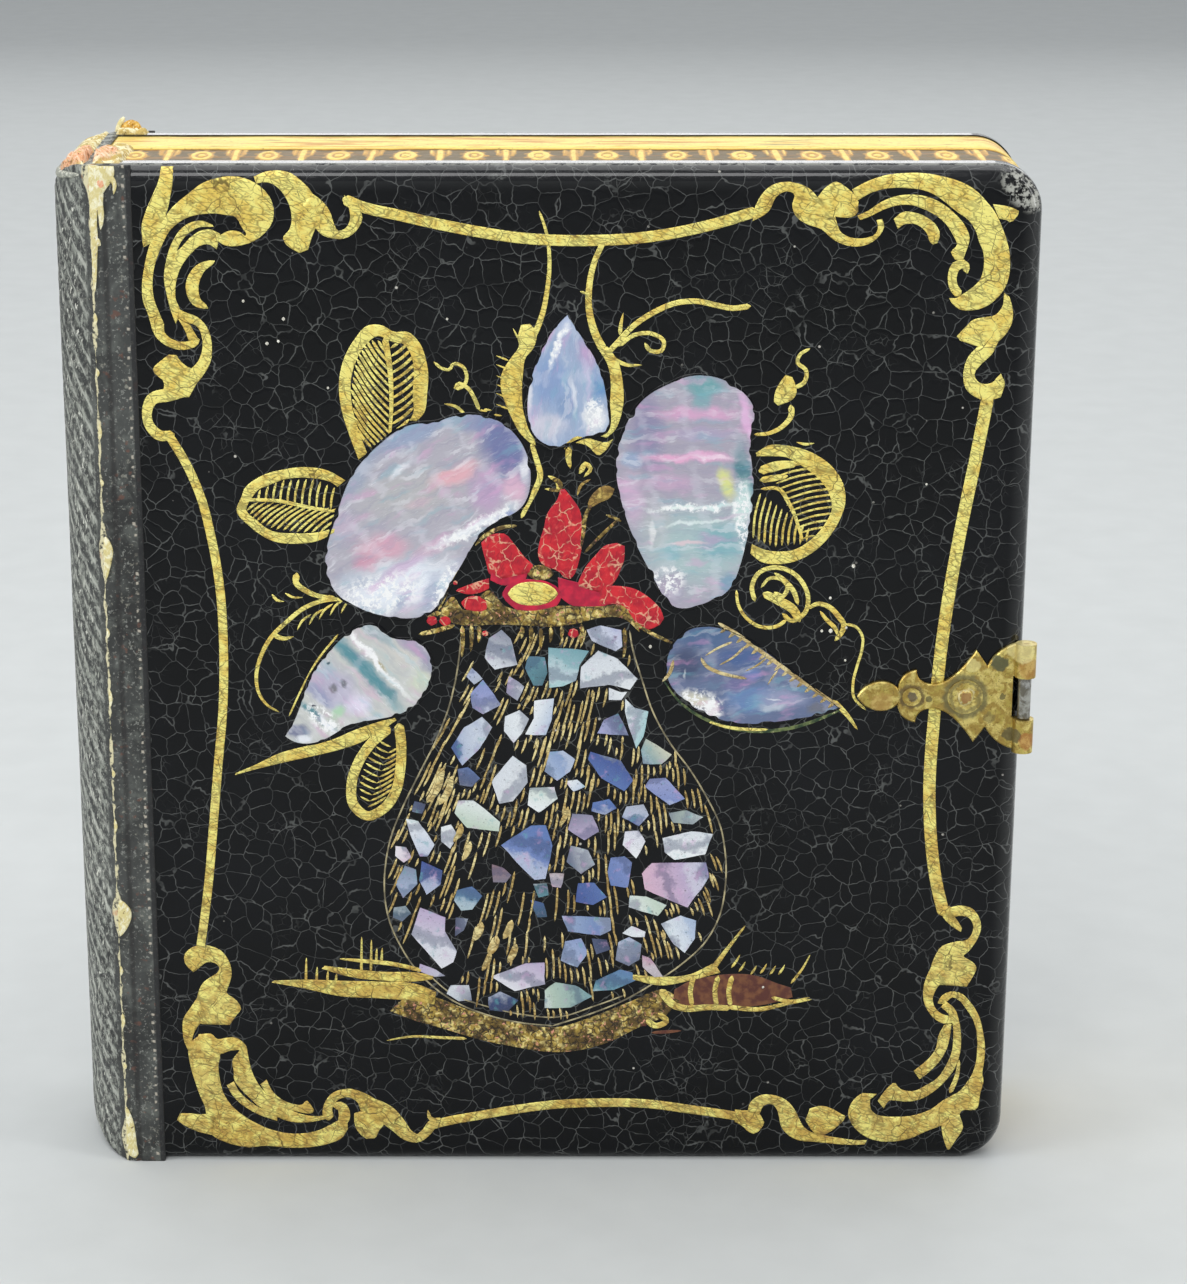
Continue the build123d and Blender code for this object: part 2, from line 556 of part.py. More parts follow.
def spine():
    """The curved leather spine with a bead on each hinge, its core and its inner lining."""
    half = case_thickness / 2
    outer_radius = (half**2 + spine_bulge**2) / (2 * spine_bulge)
    inner_radius = outer_radius - leather_thickness
    arc_x = outer_radius - spine_bulge

    def half_plane(x_high):
        return Pos(x_high - case_thickness, 0) * Rectangle(2 * case_thickness, 2 * case_thickness)

    def silhouette(inset):
        shape = panel(-spine_bulge + inset, case_thickness, inset, case_height - inset)
        corners = shape.vertices().sort_by(Axis.X)[:2]
        rounded = fillet(corners, spine_corner_radius - inset)
        return slab(rounded, front_face - cut_margin, back_face + cut_margin)

    outer_disc = Pos(arc_x, 0) * Circle(outer_radius)
    inner_disc = Pos(arc_x, 0) * Circle(inner_radius)
    wall = (outer_disc - inner_disc) & half_plane(0)
    filled = outer_disc & half_plane(-spine_face_gap)
    beads = Pos(0, front_hinge_y) * Circle(bead_radius) + Pos(0, -front_hinge_y) * Circle(bead_radius)
    skin = extrude(wall + filled + beads, amount=case_height) & silhouette(0)
    inside = extrude(inner_disc & half_plane(-spine_face_gap), amount=case_height)
    inside = inside & silhouette(leather_thickness)
    core = extrude(inner_disc & half_plane(-spine_face_gap - lining_thickness), amount=case_height)
    core = core & silhouette(leather_thickness)
    return skin - inside, core, inside - core


os.makedirs("parts", exist_ok=True)

cover = front_cover()
export("front_cover", cover)
export("back_cover", front_to_back(plain_cover()))
export("front_joint_leather", joint_leather())
export("back_joint_leather", front_to_back(joint_leather()))

leather, core, lining = spine()
export("spine_leather", leather)
export("spine_core", core)
export("spine_lining", lining)

for side, rail in rails(lid_floor, lid_rim).items():
    export(f"lid_{side}_rail", rail)
export("lid_gilt_band", gilt_band(lid_floor, lid_rim))

holes = catch_holes()
for side, rail in rails(base_rim, base_floor).items():
    export(f"base_{side}_rail", rail - holes if side == "fore" else rail)
export("base_gilt_band", gilt_band(base_rim, base_floor) - holes)

packet_pieces, packet_front = packet()
for name, piece in packet_pieces.items():
    export(name, piece)
export("velvet_retainer", retainer())

board = centred_panel(pad_width, pad_height)
export("pad_board", slab(board, lid_floor, lid_floor + pad_board_thickness))
export("velvet_pad", pad())

for name, sketch in pearl_sketches().items():
    export(name, pearl(sketch))
export("vase_mosaic", Compound(children=[pearl(sketch) for sketch in shard_sketches()]))

export("clasp_plate", clasp_plate())
export("clasp_rivets", clasp_rivets())
export("hinge_pin", upright_bar(pin_radius, barrel_x, barrel_y, clasp_height, barrel_length))
export("hasp_strap", hasp_strap())

catch_plate, catch_stud, catch_pins = catch()
export("catch_plate", catch_plate)
export("catch_stud", catch_stud)
export("catch_pins", catch_pins)

print("pieces", len(os.listdir("parts")))
print("shell shards in the vase", len(vase_shards))
pad_front = lid_floor + pad_board_thickness + pad_edge_height + pad_crown
print("gap between the glass rim and the pad", round(packet_front - pad_front, 2))
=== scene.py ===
# %% [markdown]
# # A book-form picture case in black lacquer
# The case stands on its tail edge: two lacquered covers, a leather spine, a vase of flowers in
# mother-of-pearl and gold on the front, and a framed silvered plate inside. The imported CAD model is
# the fixed frame of this scene. Everything made here is worked out in the frame's own metres, so a
# piece lands on what carries it without any fitting by eye.

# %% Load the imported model
import math

import bmesh
import bpy
import numpy as np
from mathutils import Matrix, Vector
from mathutils.bvhtree import BVHTree


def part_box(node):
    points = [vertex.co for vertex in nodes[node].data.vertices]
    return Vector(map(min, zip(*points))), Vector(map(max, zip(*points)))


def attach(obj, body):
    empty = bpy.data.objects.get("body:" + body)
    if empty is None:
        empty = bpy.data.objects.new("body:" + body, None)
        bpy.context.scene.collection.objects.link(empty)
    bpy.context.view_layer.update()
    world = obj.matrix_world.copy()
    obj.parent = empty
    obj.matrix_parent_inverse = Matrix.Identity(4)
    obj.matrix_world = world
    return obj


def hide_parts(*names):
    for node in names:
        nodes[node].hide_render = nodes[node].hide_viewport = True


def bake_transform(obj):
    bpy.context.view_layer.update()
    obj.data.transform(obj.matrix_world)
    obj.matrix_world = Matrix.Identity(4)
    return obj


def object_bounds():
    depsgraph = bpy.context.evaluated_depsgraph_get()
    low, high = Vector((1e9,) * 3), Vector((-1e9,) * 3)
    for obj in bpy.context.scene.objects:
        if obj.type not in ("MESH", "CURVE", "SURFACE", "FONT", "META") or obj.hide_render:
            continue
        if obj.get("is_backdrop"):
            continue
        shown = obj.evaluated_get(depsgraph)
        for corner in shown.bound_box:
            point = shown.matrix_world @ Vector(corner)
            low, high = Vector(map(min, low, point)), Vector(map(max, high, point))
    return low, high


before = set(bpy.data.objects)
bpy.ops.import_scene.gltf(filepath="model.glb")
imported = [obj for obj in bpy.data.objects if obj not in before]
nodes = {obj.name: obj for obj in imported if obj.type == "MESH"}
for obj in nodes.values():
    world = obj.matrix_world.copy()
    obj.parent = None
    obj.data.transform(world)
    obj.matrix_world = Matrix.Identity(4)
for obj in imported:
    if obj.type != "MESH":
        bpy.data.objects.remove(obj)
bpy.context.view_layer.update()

# %% [markdown]
# The ornament was measured on a drawing of the front cover: x in millimetres from the hinge ridge,
# z in millimetres from the tail. The drawing is tied to the model by the front cover's own box, so
# one small function takes a drawing place to metres. `depth` counts inwards from the lacquer face.

# %% From the drawing to the model
mm = 0.001
cover_low, cover_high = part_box("front_cover")
cover_width = 83.2
case_height = 95.0
half_thickness = 10.0
hinge_x = cover_high.x - cover_width * mm
tail_z = cover_low.z
front_y = cover_low.y


def place(x, depth, z):
    """Drawing millimetres to metres: the hinge ridge, the lacquer face and the tail are the zeros."""
    x, depth, z = np.broadcast_arrays(np.asarray(x, float), depth, z)
    return np.stack([hinge_x + x * mm, front_y + depth * mm, tail_z + z * mm], axis=-1)


print("hinge ridge at", round(hinge_x / mm, 3), "front face at", round(front_y / mm, 3), "mm")

# %% [markdown]
# The photograph was taken from a little above, with a long lens. The camera's place and pitch were
# fitted to the corners of the front cover. The lens shift keeps upright edges where they are in the
# picture without turning the camera sideways.

# %% Camera
camera_data = bpy.data.cameras.new("photo_camera")
camera = bpy.data.objects.new("photo_camera", camera_data)
bpy.context.scene.collection.objects.link(camera)
camera_x, camera_back, camera_height, camera_down = 38.58, 297.79, 141.08, 0.3012
camera.location = place(camera_x, half_thickness - camera_back, camera_height)
camera.rotation_euler = (math.pi / 2 - camera_down, 0, 0)
camera_data.lens = 93.23
camera_data.sensor_width = 36
camera_data.shift_x = 0.0478
camera_data.clip_start = 0.01
bpy.context.scene.camera = camera
print("camera at", [round(c, 4) for c in camera.location])

# %% [markdown]
# Shader maths reads best as plain Python. `Wire` wraps one output of a shader node, and `+ - * /`
# on it add Math nodes. `Finish` is one material: its `node` method adds any node, with the
# settings first and then the value or wire of each input it names.

# %% Shader maths
class Wire:
    """One output of a shader node, with Python's own operators on it."""

    def __init__(self, finish, socket):
        self.finish, self.socket = finish, socket

    def math(self, operation, *values):
        return self.finish.node("ShaderNodeMath", {"operation": operation}, dict(enumerate(values)))

    def __add__(self, other):
        return self.math("ADD", self, other)

    def __sub__(self, other):
        return self.math("SUBTRACT", self, other)

    def __rsub__(self, other):
        return self.math("SUBTRACT", other, self)

    def __mul__(self, other):
        return self.math("MULTIPLY", self, other)

    def __truediv__(self, other):
        return self.math("DIVIDE", self, other)

    __radd__, __rmul__ = __add__, __mul__

    def size(self):
        return self.math("ABSOLUTE", self)

    def most(self, other):
        return self.math("MAXIMUM", self, other)

    def sine(self):
        return self.math("SINE", self)

    def step(self, low, high):
        """0 below low, 1 above high, and a soft slope between; the other way round if low is above high."""
        return self.finish.node(
            "ShaderNodeMapRange", {"interpolation_type": "SMOOTHSTEP"},
            {"Value": self, "From Min": low, "From Max": high})


class Finish:
    """One material, made of a Principled shader and the nodes that feed it."""

    def __init__(self, name, **constants):
        self.material = bpy.data.materials.new(name)
        self.material.use_nodes = True
        self.tree = self.material.node_tree
        self.tree.nodes.clear()
        self.shader = self.tree.nodes.new("ShaderNodeBsdfPrincipled")
        output = self.tree.nodes.new("ShaderNodeOutputMaterial")
        self.tree.links.new(self.shader.outputs[0], output.inputs[0])
        self.set(self.shader, {key.replace("_", " "): value for key, value in constants.items()})

    def set(self, made, inputs):
        for key, value in inputs.items():
            if isinstance(key, int):
                socket = made.inputs[key]
            else:
                socket = next(s for s in made.inputs if s.enabled and key in (s.name, s.identifier))
            if isinstance(value, Wire):
                self.tree.links.new(value.socket, socket)
            elif socket.type == "RGBA" and len(value) == 3:
                socket.default_value = (*value, 1)
            else:
                socket.default_value = value

    def node(self, kind, settings, inputs, output=0):
        """Adds a node: its settings, then its inputs. Gives the wire of one output."""
        made = self.tree.nodes.new(kind)
        for key, value in settings.items():
            setattr(made, key, value)
        self.set(made, inputs)
        socket = made.outputs[output]
        if not socket.enabled:
            socket = next(s for s in made.outputs if s.enabled)
        return Wire(self, socket)

    def surface(self, **wires):
        self.set(self.shader, {key.replace("_", " "): value for key, value in wires.items()})

    def mix(self, factor, first, second):
        """The first colour where factor is 0 and the second where it is 1."""
        return self.node("ShaderNodeMix", {"data_type": "RGBA"},
                         {"Factor_Float": factor, "A_Color": first, "B_Color": second}, 2)

    def vector(self, operation, *values, output=0):
        return self.node("ShaderNodeVectorMath", {"operation": operation}, dict(enumerate(values)), output)

    def drawing(self):
        """Object coordinates as drawing millimetres: from the hinge ridge, the lacquer face and the tail."""
        place_wire = self.node("ShaderNodeTexCoord", {}, {}, 3)
        moved = self.vector("SUBTRACT", place_wire, (hinge_x, front_y, tail_z))
        return self.vector("MULTIPLY", moved, (1000, 1000, 1000))

    def parts(self, vector):
        """The x, y and z of a vector as three wires."""
        first = self.node("ShaderNodeSeparateXYZ", {}, {0: vector})
        return [Wire(self, s) for s in first.socket.node.outputs]

    def mapped(self, vector, centre=(0, 0, 0), turn=(0, 0, 0), scale=(1, 1, 1)):
        """The vector as seen from a centre, turned, and in units of a scale."""
        return self.node("ShaderNodeMapping", {"vector_type": "TEXTURE"},
                         {"Vector": vector, "Location": centre, "Rotation": turn, "Scale": scale})

    def noise(self, vector, scale, detail=3.0, rough=0.5, twist=0.0, output=0):
        return self.node("ShaderNodeTexNoise", {},
                         {"Vector": vector, "Scale": scale, "Detail": detail, "Roughness": rough,
                          "Distortion": twist}, output)

    def cells(self, vector, scale, feature="F1", output=0):
        return self.node("ShaderNodeTexVoronoi", {"feature": feature}, {"Vector": vector, "Scale": scale},
                         output)

    def bump(self, height, distance, strength=1.0, under=None):
        inputs = {"Height": height, "Distance": distance, "Strength": strength}
        if under is not None:
            inputs["Normal"] = under
        return self.node("ShaderNodeBump", {}, inputs)


def srgb(red, green, blue):
    """A colour as read in a picture, 0 to 255, to the linear values of a shader."""
    c = np.array([red, green, blue]) / 255
    return tuple(np.where(c <= 0.04045, c / 12.92, ((c + 0.055) / 1.055) ** 2.4).tolist())


print("shader helpers are ready")

# %% [markdown]
# ## Stage and light
# A plain pale floor, a wide soft light above, one on each side, one in front, a low one behind that
# draws the edges of the covers, and a little light from all round.
# Polished lacquer shows mostly what it reflects, so the pale floor in front of the case gives the
# black face its faint grey, and the overhead light draws the bright line along the cushion edge.

# %% Floor, lights and world
def flat_square(name, half, z):
    mesh = bpy.data.meshes.new(name)
    mesh.from_pydata([(-half, -half, z), (half, -half, z), (half, half, z), (-half, half, z)], [],
                     [(0, 1, 2, 3)])
    made = bpy.data.objects.new(name, mesh)
    bpy.context.scene.collection.objects.link(made)
    return made


floor = flat_square("floor", 6.0, tail_z)
floor_finish = Finish("pale_floor", Roughness=0.85)
floor_place = floor_finish.node("ShaderNodeTexCoord", {}, {}, 3)
floor_finish.surface(Base_Color=floor_finish.mix(
    floor_finish.noise(floor_place, 140, 4), srgb(196, 199, 198), srgb(206, 209, 208)))
floor.data.materials.append(floor_finish.material)
floor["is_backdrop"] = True


def soft_light(name, place_m, target, size, power):
    lamp = bpy.data.lights.new(name, "AREA")
    lamp.shape, lamp.size, lamp.size_y, lamp.energy = "RECTANGLE", size[0], size[1], power
    made = bpy.data.objects.new(name, lamp)
    made.location = place_m
    made.rotation_euler = (Vector(target) - Vector(place_m)).to_track_quat("-Z", "Y").to_euler()
    bpy.context.scene.collection.objects.link(made)
    return made


middle = (0.0, 0.0, 0.045)
soft_light("light_above", (0.0, 0.08, 0.7), middle, (0.8, 0.6), 2.9)
soft_light("light_behind", (0.0, 0.75, 0.3), middle, (0.9, 0.2), 0.75)
soft_light("light_left", (-0.75, -0.35, 0.4), middle, (0.35, 0.6), 2.3)
soft_light("light_right", (0.75, -0.3, 0.35), middle, (0.14, 0.6), 1.6)
soft_light("light_front", (-0.15, -0.8, 0.75), middle, (0.6, 0.4), 3.2)

world = bpy.data.worlds.new("studio")
bpy.context.scene.world = world
world.use_nodes = True
world.node_tree.nodes["Background"].inputs["Color"].default_value = (0.93, 0.96, 1.0, 1)
world.node_tree.nodes["Background"].inputs["Strength"].default_value = 0.46
bpy.context.scene.view_settings.view_transform = "Standard"

# %% [markdown]
# ## Black lacquer
# Old japanned lacquer cracks into a fine net as it ages. The net shows as pale lines on the black
# and as brown lines through the gold. A cell pattern gives both: the distance to the nearest cell
# wall is small along a crack. One function makes the net for every material that needs it, from the
# same coordinates, so a crack runs on from lacquer into gold.

# %% The net of cracks and the lacquer
def crack_net(finish, drawing):
    """1 on a crack and 0 off it: cell walls about two millimetres apart, bent a little, with weaker
    walls inside some cells, and fainter in places."""
    drift = finish.vector("SUBTRACT", finish.noise(drawing, 0.7, 2, output=1), (0.5, 0.5, 0.5))
    bent = finish.vector("MULTIPLY_ADD", drift, (0.8, 0.8, 0.8), drawing)
    large = finish.cells(bent, 0.56, "DISTANCE_TO_EDGE") / 0.56
    small = finish.cells(bent, 1.0, "DISTANCE_TO_EDGE") / 1.0
    patchy = finish.noise(drawing, 0.16, 3).step(0.5, 0.66)
    fine = finish.noise(drawing, 0.55, 3)
    wide = large.step(0.048, 0.012) * (fine.step(0.36, 0.62) * 0.7 + 0.3)
    narrow = small.step(0.034, 0.01) * patchy * fine.step(0.42, 0.62)
    return wide.most(narrow * 0.6), large


def black_lacquer():
    """Near black with a pale net. Along the rounded edges it is rubbed to a higher gloss and wrinkled; the
    arris is pale, part wear and part painted highlight; the top corner at the fore-edge is crazed white."""
    finish = Finish("black_lacquer", Coat_Roughness=0.05, Specular_IOR_Level=0.14)
    drawing = finish.drawing()
    x_way, depth_way, z_way = finish.parts(drawing)
    crack, wall = crack_net(finish, drawing)
    cloud = finish.noise(drawing, 0.09, 4, 0.6)
    dust = finish.cells(drawing, 0.33).step(0.05, 0.03) * finish.noise(drawing, 0.5, 1).step(0.45, 0.6)
    ground = finish.mix(cloud.step(0.35, 0.7), srgb(3, 4, 6), srgb(9, 11, 15))
    lined = finish.mix(crack * 0.62, ground, srgb(106, 108, 106))
    edge = z_way.step(92.6, 94.2).most(x_way.step(81.2, 82.6))
    broken = finish.noise(drawing, 1.3, 4, 0.65)
    # The arris line along the top and the fore-edge is pale partly as wear and partly as a painted highlight
    # where the edge catches the light
    arris_wear_and_highlight = z_way.step(94.6, 94.85) * broken.step(0.4, 0.54) * 0.4
    arris_wear_and_highlight = arris_wear_and_highlight.most(x_way.step(82.8, 83.0) * broken.step(0.42, 0.56) * 0.35)
    from_middle = (depth_way - half_thickness).size()
    arris_wear_and_highlight = arris_wear_and_highlight * from_middle.step(8.1, 8.4) * from_middle.step(9.3, 9.0)
    corner = finish.vector("LENGTH", finish.mapped(drawing, (81.4, 1, 92.8), (0, 0.7, 0), (2.6, 5, 1.5)),
                           output=1)
    crazed = corner.step(1.2, 0.6) * finish.noise(drawing, 1.5, 5, 0.7).step(0.47, 0.56)
    # The pale marks: the arris line, part painted highlight, and the crazed corner
    worn = arris_wear_and_highlight.most(crazed * 0.7)
    lined = finish.mix(worn, lined, srgb(206, 206, 196))
    wrinkle = finish.noise(finish.mapped(drawing, scale=(2.4, 1, 0.6)), 1.0, 4, 0.6)
    swell = wall.step(0.0, 0.35) * 0.6 + finish.noise(drawing, 0.9, 3) * 0.5
    finish.surface(
        Base_Color=finish.mix(dust * 0.8, lined, srgb(214, 210, 200)),
        Coat_Weight=edge * 0.75 + 0.18,
        Roughness=finish.noise(drawing, 0.6, 4) * 0.12 + crack * 0.25 + worn * 0.2 + 0.16,
        Normal=finish.bump(swell - crack * 0.2 + wrinkle * edge * 3.0, 0.06 * mm, 0.8),
    )
    return finish.material


lacquer = black_lacquer()


def dress(name, material):
    """Gives a CAD node its material by its own slots."""
    slots = nodes[name].data.materials
    slots.clear()
    slots.append(material)


for name in ("front_cover", "back_cover"):
    dress(name, lacquer)
print("lacquered both covers")

# %% [markdown]
# ## Relief on the lacquer
# Gilding is a thin skin. Each stroke is a low ribbon: a flat-topped section carried along a soft
# line through a few given points. A shape with its own outline is a ladder: each rung joins
# its left side to its right side, and the surface runs from rung to rung. Both are functions of two
# parameters, along and across. Every point is then laid on the cover, which curves away at its
# cushion edge: there the depth is that of a quarter circle of the edge's radius.

# %% Surfaces that lie on the cover
edge_radius = 1.4
corner_radius = 4.2


def edge_depth(x, z):
    """How far the cushion edge has fallen at a place: r - sqrt(r^2 - (r - d)^2), with d the way in
    from the outline, a rectangle with two round corners at the fore-edge."""
    over_x = x - (cover_width - corner_radius)
    over_z = np.abs(z - case_height / 2) - (case_height / 2 - corner_radius)
    out = np.hypot(np.maximum(over_x, 0), np.maximum(over_z, 0)) + np.minimum(np.maximum(over_x, over_z), 0)
    d = np.clip(corner_radius - out, 0.02, edge_radius)
    return edge_radius - np.sqrt(edge_radius**2 - (edge_radius - d) ** 2)


def soft_line(points, spacing=0.3):
    """A cubic piece between each two points; the slope at a point is that of its neighbours. Any
    number of columns is carried along: the first two are x and z."""
    p = np.array(points, float)
    s = np.concatenate([[0], np.cumsum(np.hypot(*np.diff(p[:, :2], axis=0).T))])
    slope = np.gradient(p, s, axis=0) if len(p) > 2 else np.repeat((p[1:] - p[:1]) / s[-1], 2, axis=0)
    t = np.linspace(0, s[-1], max(5, int(s[-1] / spacing) + 1))
    i = np.clip(np.searchsorted(s, t, side="right") - 1, 0, len(s) - 2)
    h = (s[i + 1] - s[i])[:, None]
    u = (t - s[i])[:, None] / h
    return ((1 + 2 * u) * (1 - u) ** 2 * p[i] + u * (1 - u) ** 2 * h * slope[i]
            + u**2 * (3 - 2 * u) * p[i + 1] + u**2 * (u - 1) * h * slope[i + 1])


def make_piece(name, points, faces, material, body, smooth=True):
    """A mesh object from places in metres and corner numbers; closed forms are turned to face outwards."""
    mesh = bpy.data.meshes.new(name)
    mesh.from_pydata(np.asarray(points, float).reshape(-1, 3).tolist(), [], faces)
    mesh.polygons.foreach_set("use_smooth", np.full(len(mesh.polygons), smooth))
    mesh.materials.append(material)
    turned = bmesh.new()
    turned.from_mesh(mesh)
    bmesh.ops.recalc_face_normals(turned, faces=turned.faces)
    turned.to_mesh(mesh)
    turned.free()
    made = bpy.data.objects.new(name, mesh)
    bpy.context.scene.collection.objects.link(made)
    if body:
        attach(made, body)
    return made


def waves(a, b, seed, count=14, low=0.15, high=1.6):
    """A smooth uneven height from -1 to 1: a sum of sine waves of many directions and lengths."""
    chance = np.random.default_rng(seed)
    total = 0.0
    for _ in range(count):
        size, turn, phase = chance.uniform(low, high), chance.uniform(0, math.tau), chance.uniform(0,
            math.tau)
        total = total + np.sin(size * (a * math.cos(turn) + b * math.sin(turn)) + phase)
    return total / (0.7 * count)


def ring_faces(rows, columns, start=0):
    """Four-sided faces of a tube: rings of points, each joined to the next, and an end face each."""
    r, c = np.meshgrid(np.arange(rows - 1), np.arange(columns), indexing="ij")
    n = (c + 1) % columns
    quads = np.stack([r * columns + c, r * columns + n, (r + 1) * columns + n, (r + 1) * columns + c], -1)
    ends = [list(range(columns))[::-1], list(range((rows - 1) * columns, rows * columns))]
    return [(np.array(f) + start).tolist() for f in [*quads.reshape(-1, 4), *ends]]


class Relief:
    """Thin raised shapes on the front cover, gathered into one mesh."""

    across = np.array([-1.0, -0.97, -0.8, -0.4, 0.0, 0.4, 0.8, 0.97, 1.0, 0.5, -0.5])
    rise = np.array([-0.5, 0.45, 0.93, 1.0, 1.03, 1.0, 0.93, 0.45, -0.5, -0.6, -0.6])

    def __init__(self, thickness, surface=edge_depth):
        self.thickness, self.surface = thickness, surface
        self.points, self.faces, self.count, self.pieces = [], [], 0, 0

    def lay(self, left, right):
        """Section points run from left to right; height is the section's rise times the thickness."""
        share = (self.across + 1) / 2
        x = left[:, :1] + (right[:, :1] - left[:, :1]) * share
        z = left[:, 1:] + (right[:, 1:] - left[:, 1:]) * share
        lift = self.thickness * (1 + 0.03 * (self.pieces % 11))
        width = np.hypot(*(right - left).T)[:, None]
        height = lift * self.rise * np.minimum(1, 0.35 + width / (8 * lift))
        self.points.append(place(x, self.surface(x, z) - height, z).reshape(-1, 3))
        self.faces += ring_faces(len(x), len(share), self.count)
        self.count += x.size
        self.pieces += 1

    def scroll(self, *points, round_ends=True):
        """A stroke through (x, z, width) points: its sides lie half a width each way."""
        path = soft_line(points)
        along = np.gradient(path[:, :2], axis=0)
        along /= np.maximum(np.hypot(*along.T), 1e-9)[:, None]
        side = np.stack([-along[:, 1], along[:, 0]], -1)
        half = path[:, 2:] / 2
        if round_ends:
            s = np.concatenate([[0], np.cumsum(np.hypot(*np.diff(path[:, :2], axis=0).T))])
            near = np.minimum(s, s[-1] - s)[:, None]
            half = half * np.sqrt(1 - (1 - np.clip(near / np.maximum(half, 0.05), 0.02, 1)) ** 2)
        self.lay(path[:, :2] + side * half, path[:, :2] - side * half)

    def line(self, width, *points, start=1.0, end=1.0):
        """A stroke of one width, which may thin towards its start or its end."""
        share = np.linspace(0, 1, len(points))
        widths = width * (1 - (1 - start) * (1 - share) ** 2 - (1 - end) * share**2)
        self.scroll(*[(x, z, w) for (x, z), w in zip(points, widths)])

    def ladder(self, *rungs):
        """A shape from rungs of (left x, left z, right x, right z)."""
        sides = soft_line([((a + c) / 2, (b + d) / 2, a, b, c, d) for a, b, c, d in rungs], 0.35)
        self.lay(sides[:, 2:4], sides[:, 4:6])

    def finish(self, name, material, body="front_half"):
        points = np.concatenate(self.points)
        made = make_piece(name, points, self.faces, material, body)
        print(name, self.pieces, "strokes,", len(self.faces), "faces")
        return made


print("relief helpers are ready")

# %% [markdown]
# ## Gold
# Gold size laid over red-brown and brushed with bronze powder: pale straw where it is thick, olive
# and brown where it is rubbed. It is partly metallic. The crack net runs through it in brown.

# %% Gold finishes
def gold_paint(name, bright, middle_tone, worn, wear, crack_share=0.8):
    finish = Finish(name, Specular_IOR_Level=0.45)
    drawing = finish.drawing()
    crack, wall = crack_net(finish, drawing)
    hair = finish.cells(finish.mapped(drawing, turn=(0, 0.35, 0), scale=(1.7, 1, 0.55)), 1.25,
                        "DISTANCE_TO_EDGE") / 1.25
    hair = hair.step(0.07, 0.02) * finish.noise(drawing, 0.5, 2).step(0.36, 0.52)
    flat = finish.cells(finish.mapped(drawing, scale=(2.6, 1, 0.7)), 1.6, "DISTANCE_TO_EDGE") / 1.6
    hair = hair.most(flat.step(0.05, 0.01) * finish.noise(drawing, 0.8, 3).step(0.46, 0.58))
    mottle = finish.noise(drawing, 0.95, 5, 0.62, 0.4)
    blotch = finish.noise(drawing, 0.2, 4, 0.6)
    streak = finish.noise(finish.mapped(drawing, turn=(0, 0.6, 0), scale=(1.8, 1, 0.3)), 1.0, 3)
    uneven = mottle * 0.5 + blotch * 0.5
    colour = finish.mix(uneven.step(0.44 - wear, 0.6 - wear), bright, middle_tone)
    colour = finish.mix((uneven * 0.7 + streak * 0.3).step(0.54 - wear, 0.68 - wear), colour, worn)
    low_down = finish.parts(drawing)[2].step(60, 6) * 0.5 + streak.step(0.5, 0.62) * 0.15
    colour = finish.mix(low_down * mottle.step(0.36, 0.56), colour, srgb(178, 138, 70))
    speck = finish.noise(drawing, 5.0, 2).step(0.6, 0.72) * 0.6
    colour = finish.mix(speck, colour, srgb(112, 88, 40))
    dark = crack.most(hair * 0.65)
    colour = finish.mix(dark * crack_share, colour, srgb(66, 50, 22))
    finish.surface(
        Base_Color=colour,
        Metallic=mottle.step(0.7, 0.3) * 0.3 + 0.1,
        Roughness=mottle * 0.25 + 0.3,
        Normal=finish.bump(mottle * 0.6 + streak * 0.3 + finish.noise(drawing, 6, 2) * 0.25 - dark * 0.8,
                           0.05 * mm, 0.9),
    )
    return finish.material


gold = gold_paint("gold_leaf", srgb(255, 244, 140), srgb(238, 208, 98), srgb(176, 138, 72), 0.01)
gold_dull = gold_paint("gold_bronzed", srgb(226, 200, 112), srgb(164, 130, 66), srgb(84, 62, 32), 0.06)


def crumbled_gold():
    """Gold gone to crumbs: cream, yellow and brown cells with dark seams between them."""
    finish = Finish("gold_crumbled", Roughness=0.42, Specular_IOR_Level=0.4)
    drawing = finish.drawing()
    bent = finish.vector("MULTIPLY_ADD", finish.noise(drawing, 1.6, 3, output=1), (0.8, 0.8, 0.8), drawing)
    crumb = finish.noise(bent, 1.9, 2)
    patch = finish.noise(drawing, 0.6, 4, 0.6)
    seam = (finish.cells(bent, 1.5, "DISTANCE_TO_EDGE") / 1.5).step(0.1, 0.02) * finish.noise(drawing, 1.3,
        2).step(0.38, 0.55)
    tone = finish.mix(crumb.step(0.38, 0.54), srgb(240, 220, 140), srgb(172, 144, 66))
    tone = finish.mix(patch.step(0.42, 0.58), tone, srgb(96, 76, 36))
    tone = finish.mix(finish.noise(bent, 2.6, 3).step(0.6, 0.68), tone, srgb(226, 158, 130))
    tone = finish.mix(seam.most(finish.noise(drawing, 3.0, 3).step(0.6, 0.68)) * 0.85, tone,
                      srgb(38, 30, 22))
    finish.surface(Base_Color=tone, Metallic=crumb * 0.25,
                   Normal=finish.bump(crumb + patch - seam, 0.08 * mm))
    return finish.material


gold_crumbled = crumbled_gold()
gold_vein = gold_paint("gold_rubbed_thin", srgb(240, 224, 170), srgb(204, 180, 122), srgb(140, 116, 70),
                       0.03)
gold_pale = gold_paint("gold_pale", srgb(248, 232, 168), srgb(212, 186, 116), srgb(128, 104, 56), 0.04)
print("mixed six golds")

# %% [markdown]
# ## The border
# Four long bands and a scroll in each corner frame the front. The corners differ from each other as
# the painter left them, so each is drawn rung by rung.

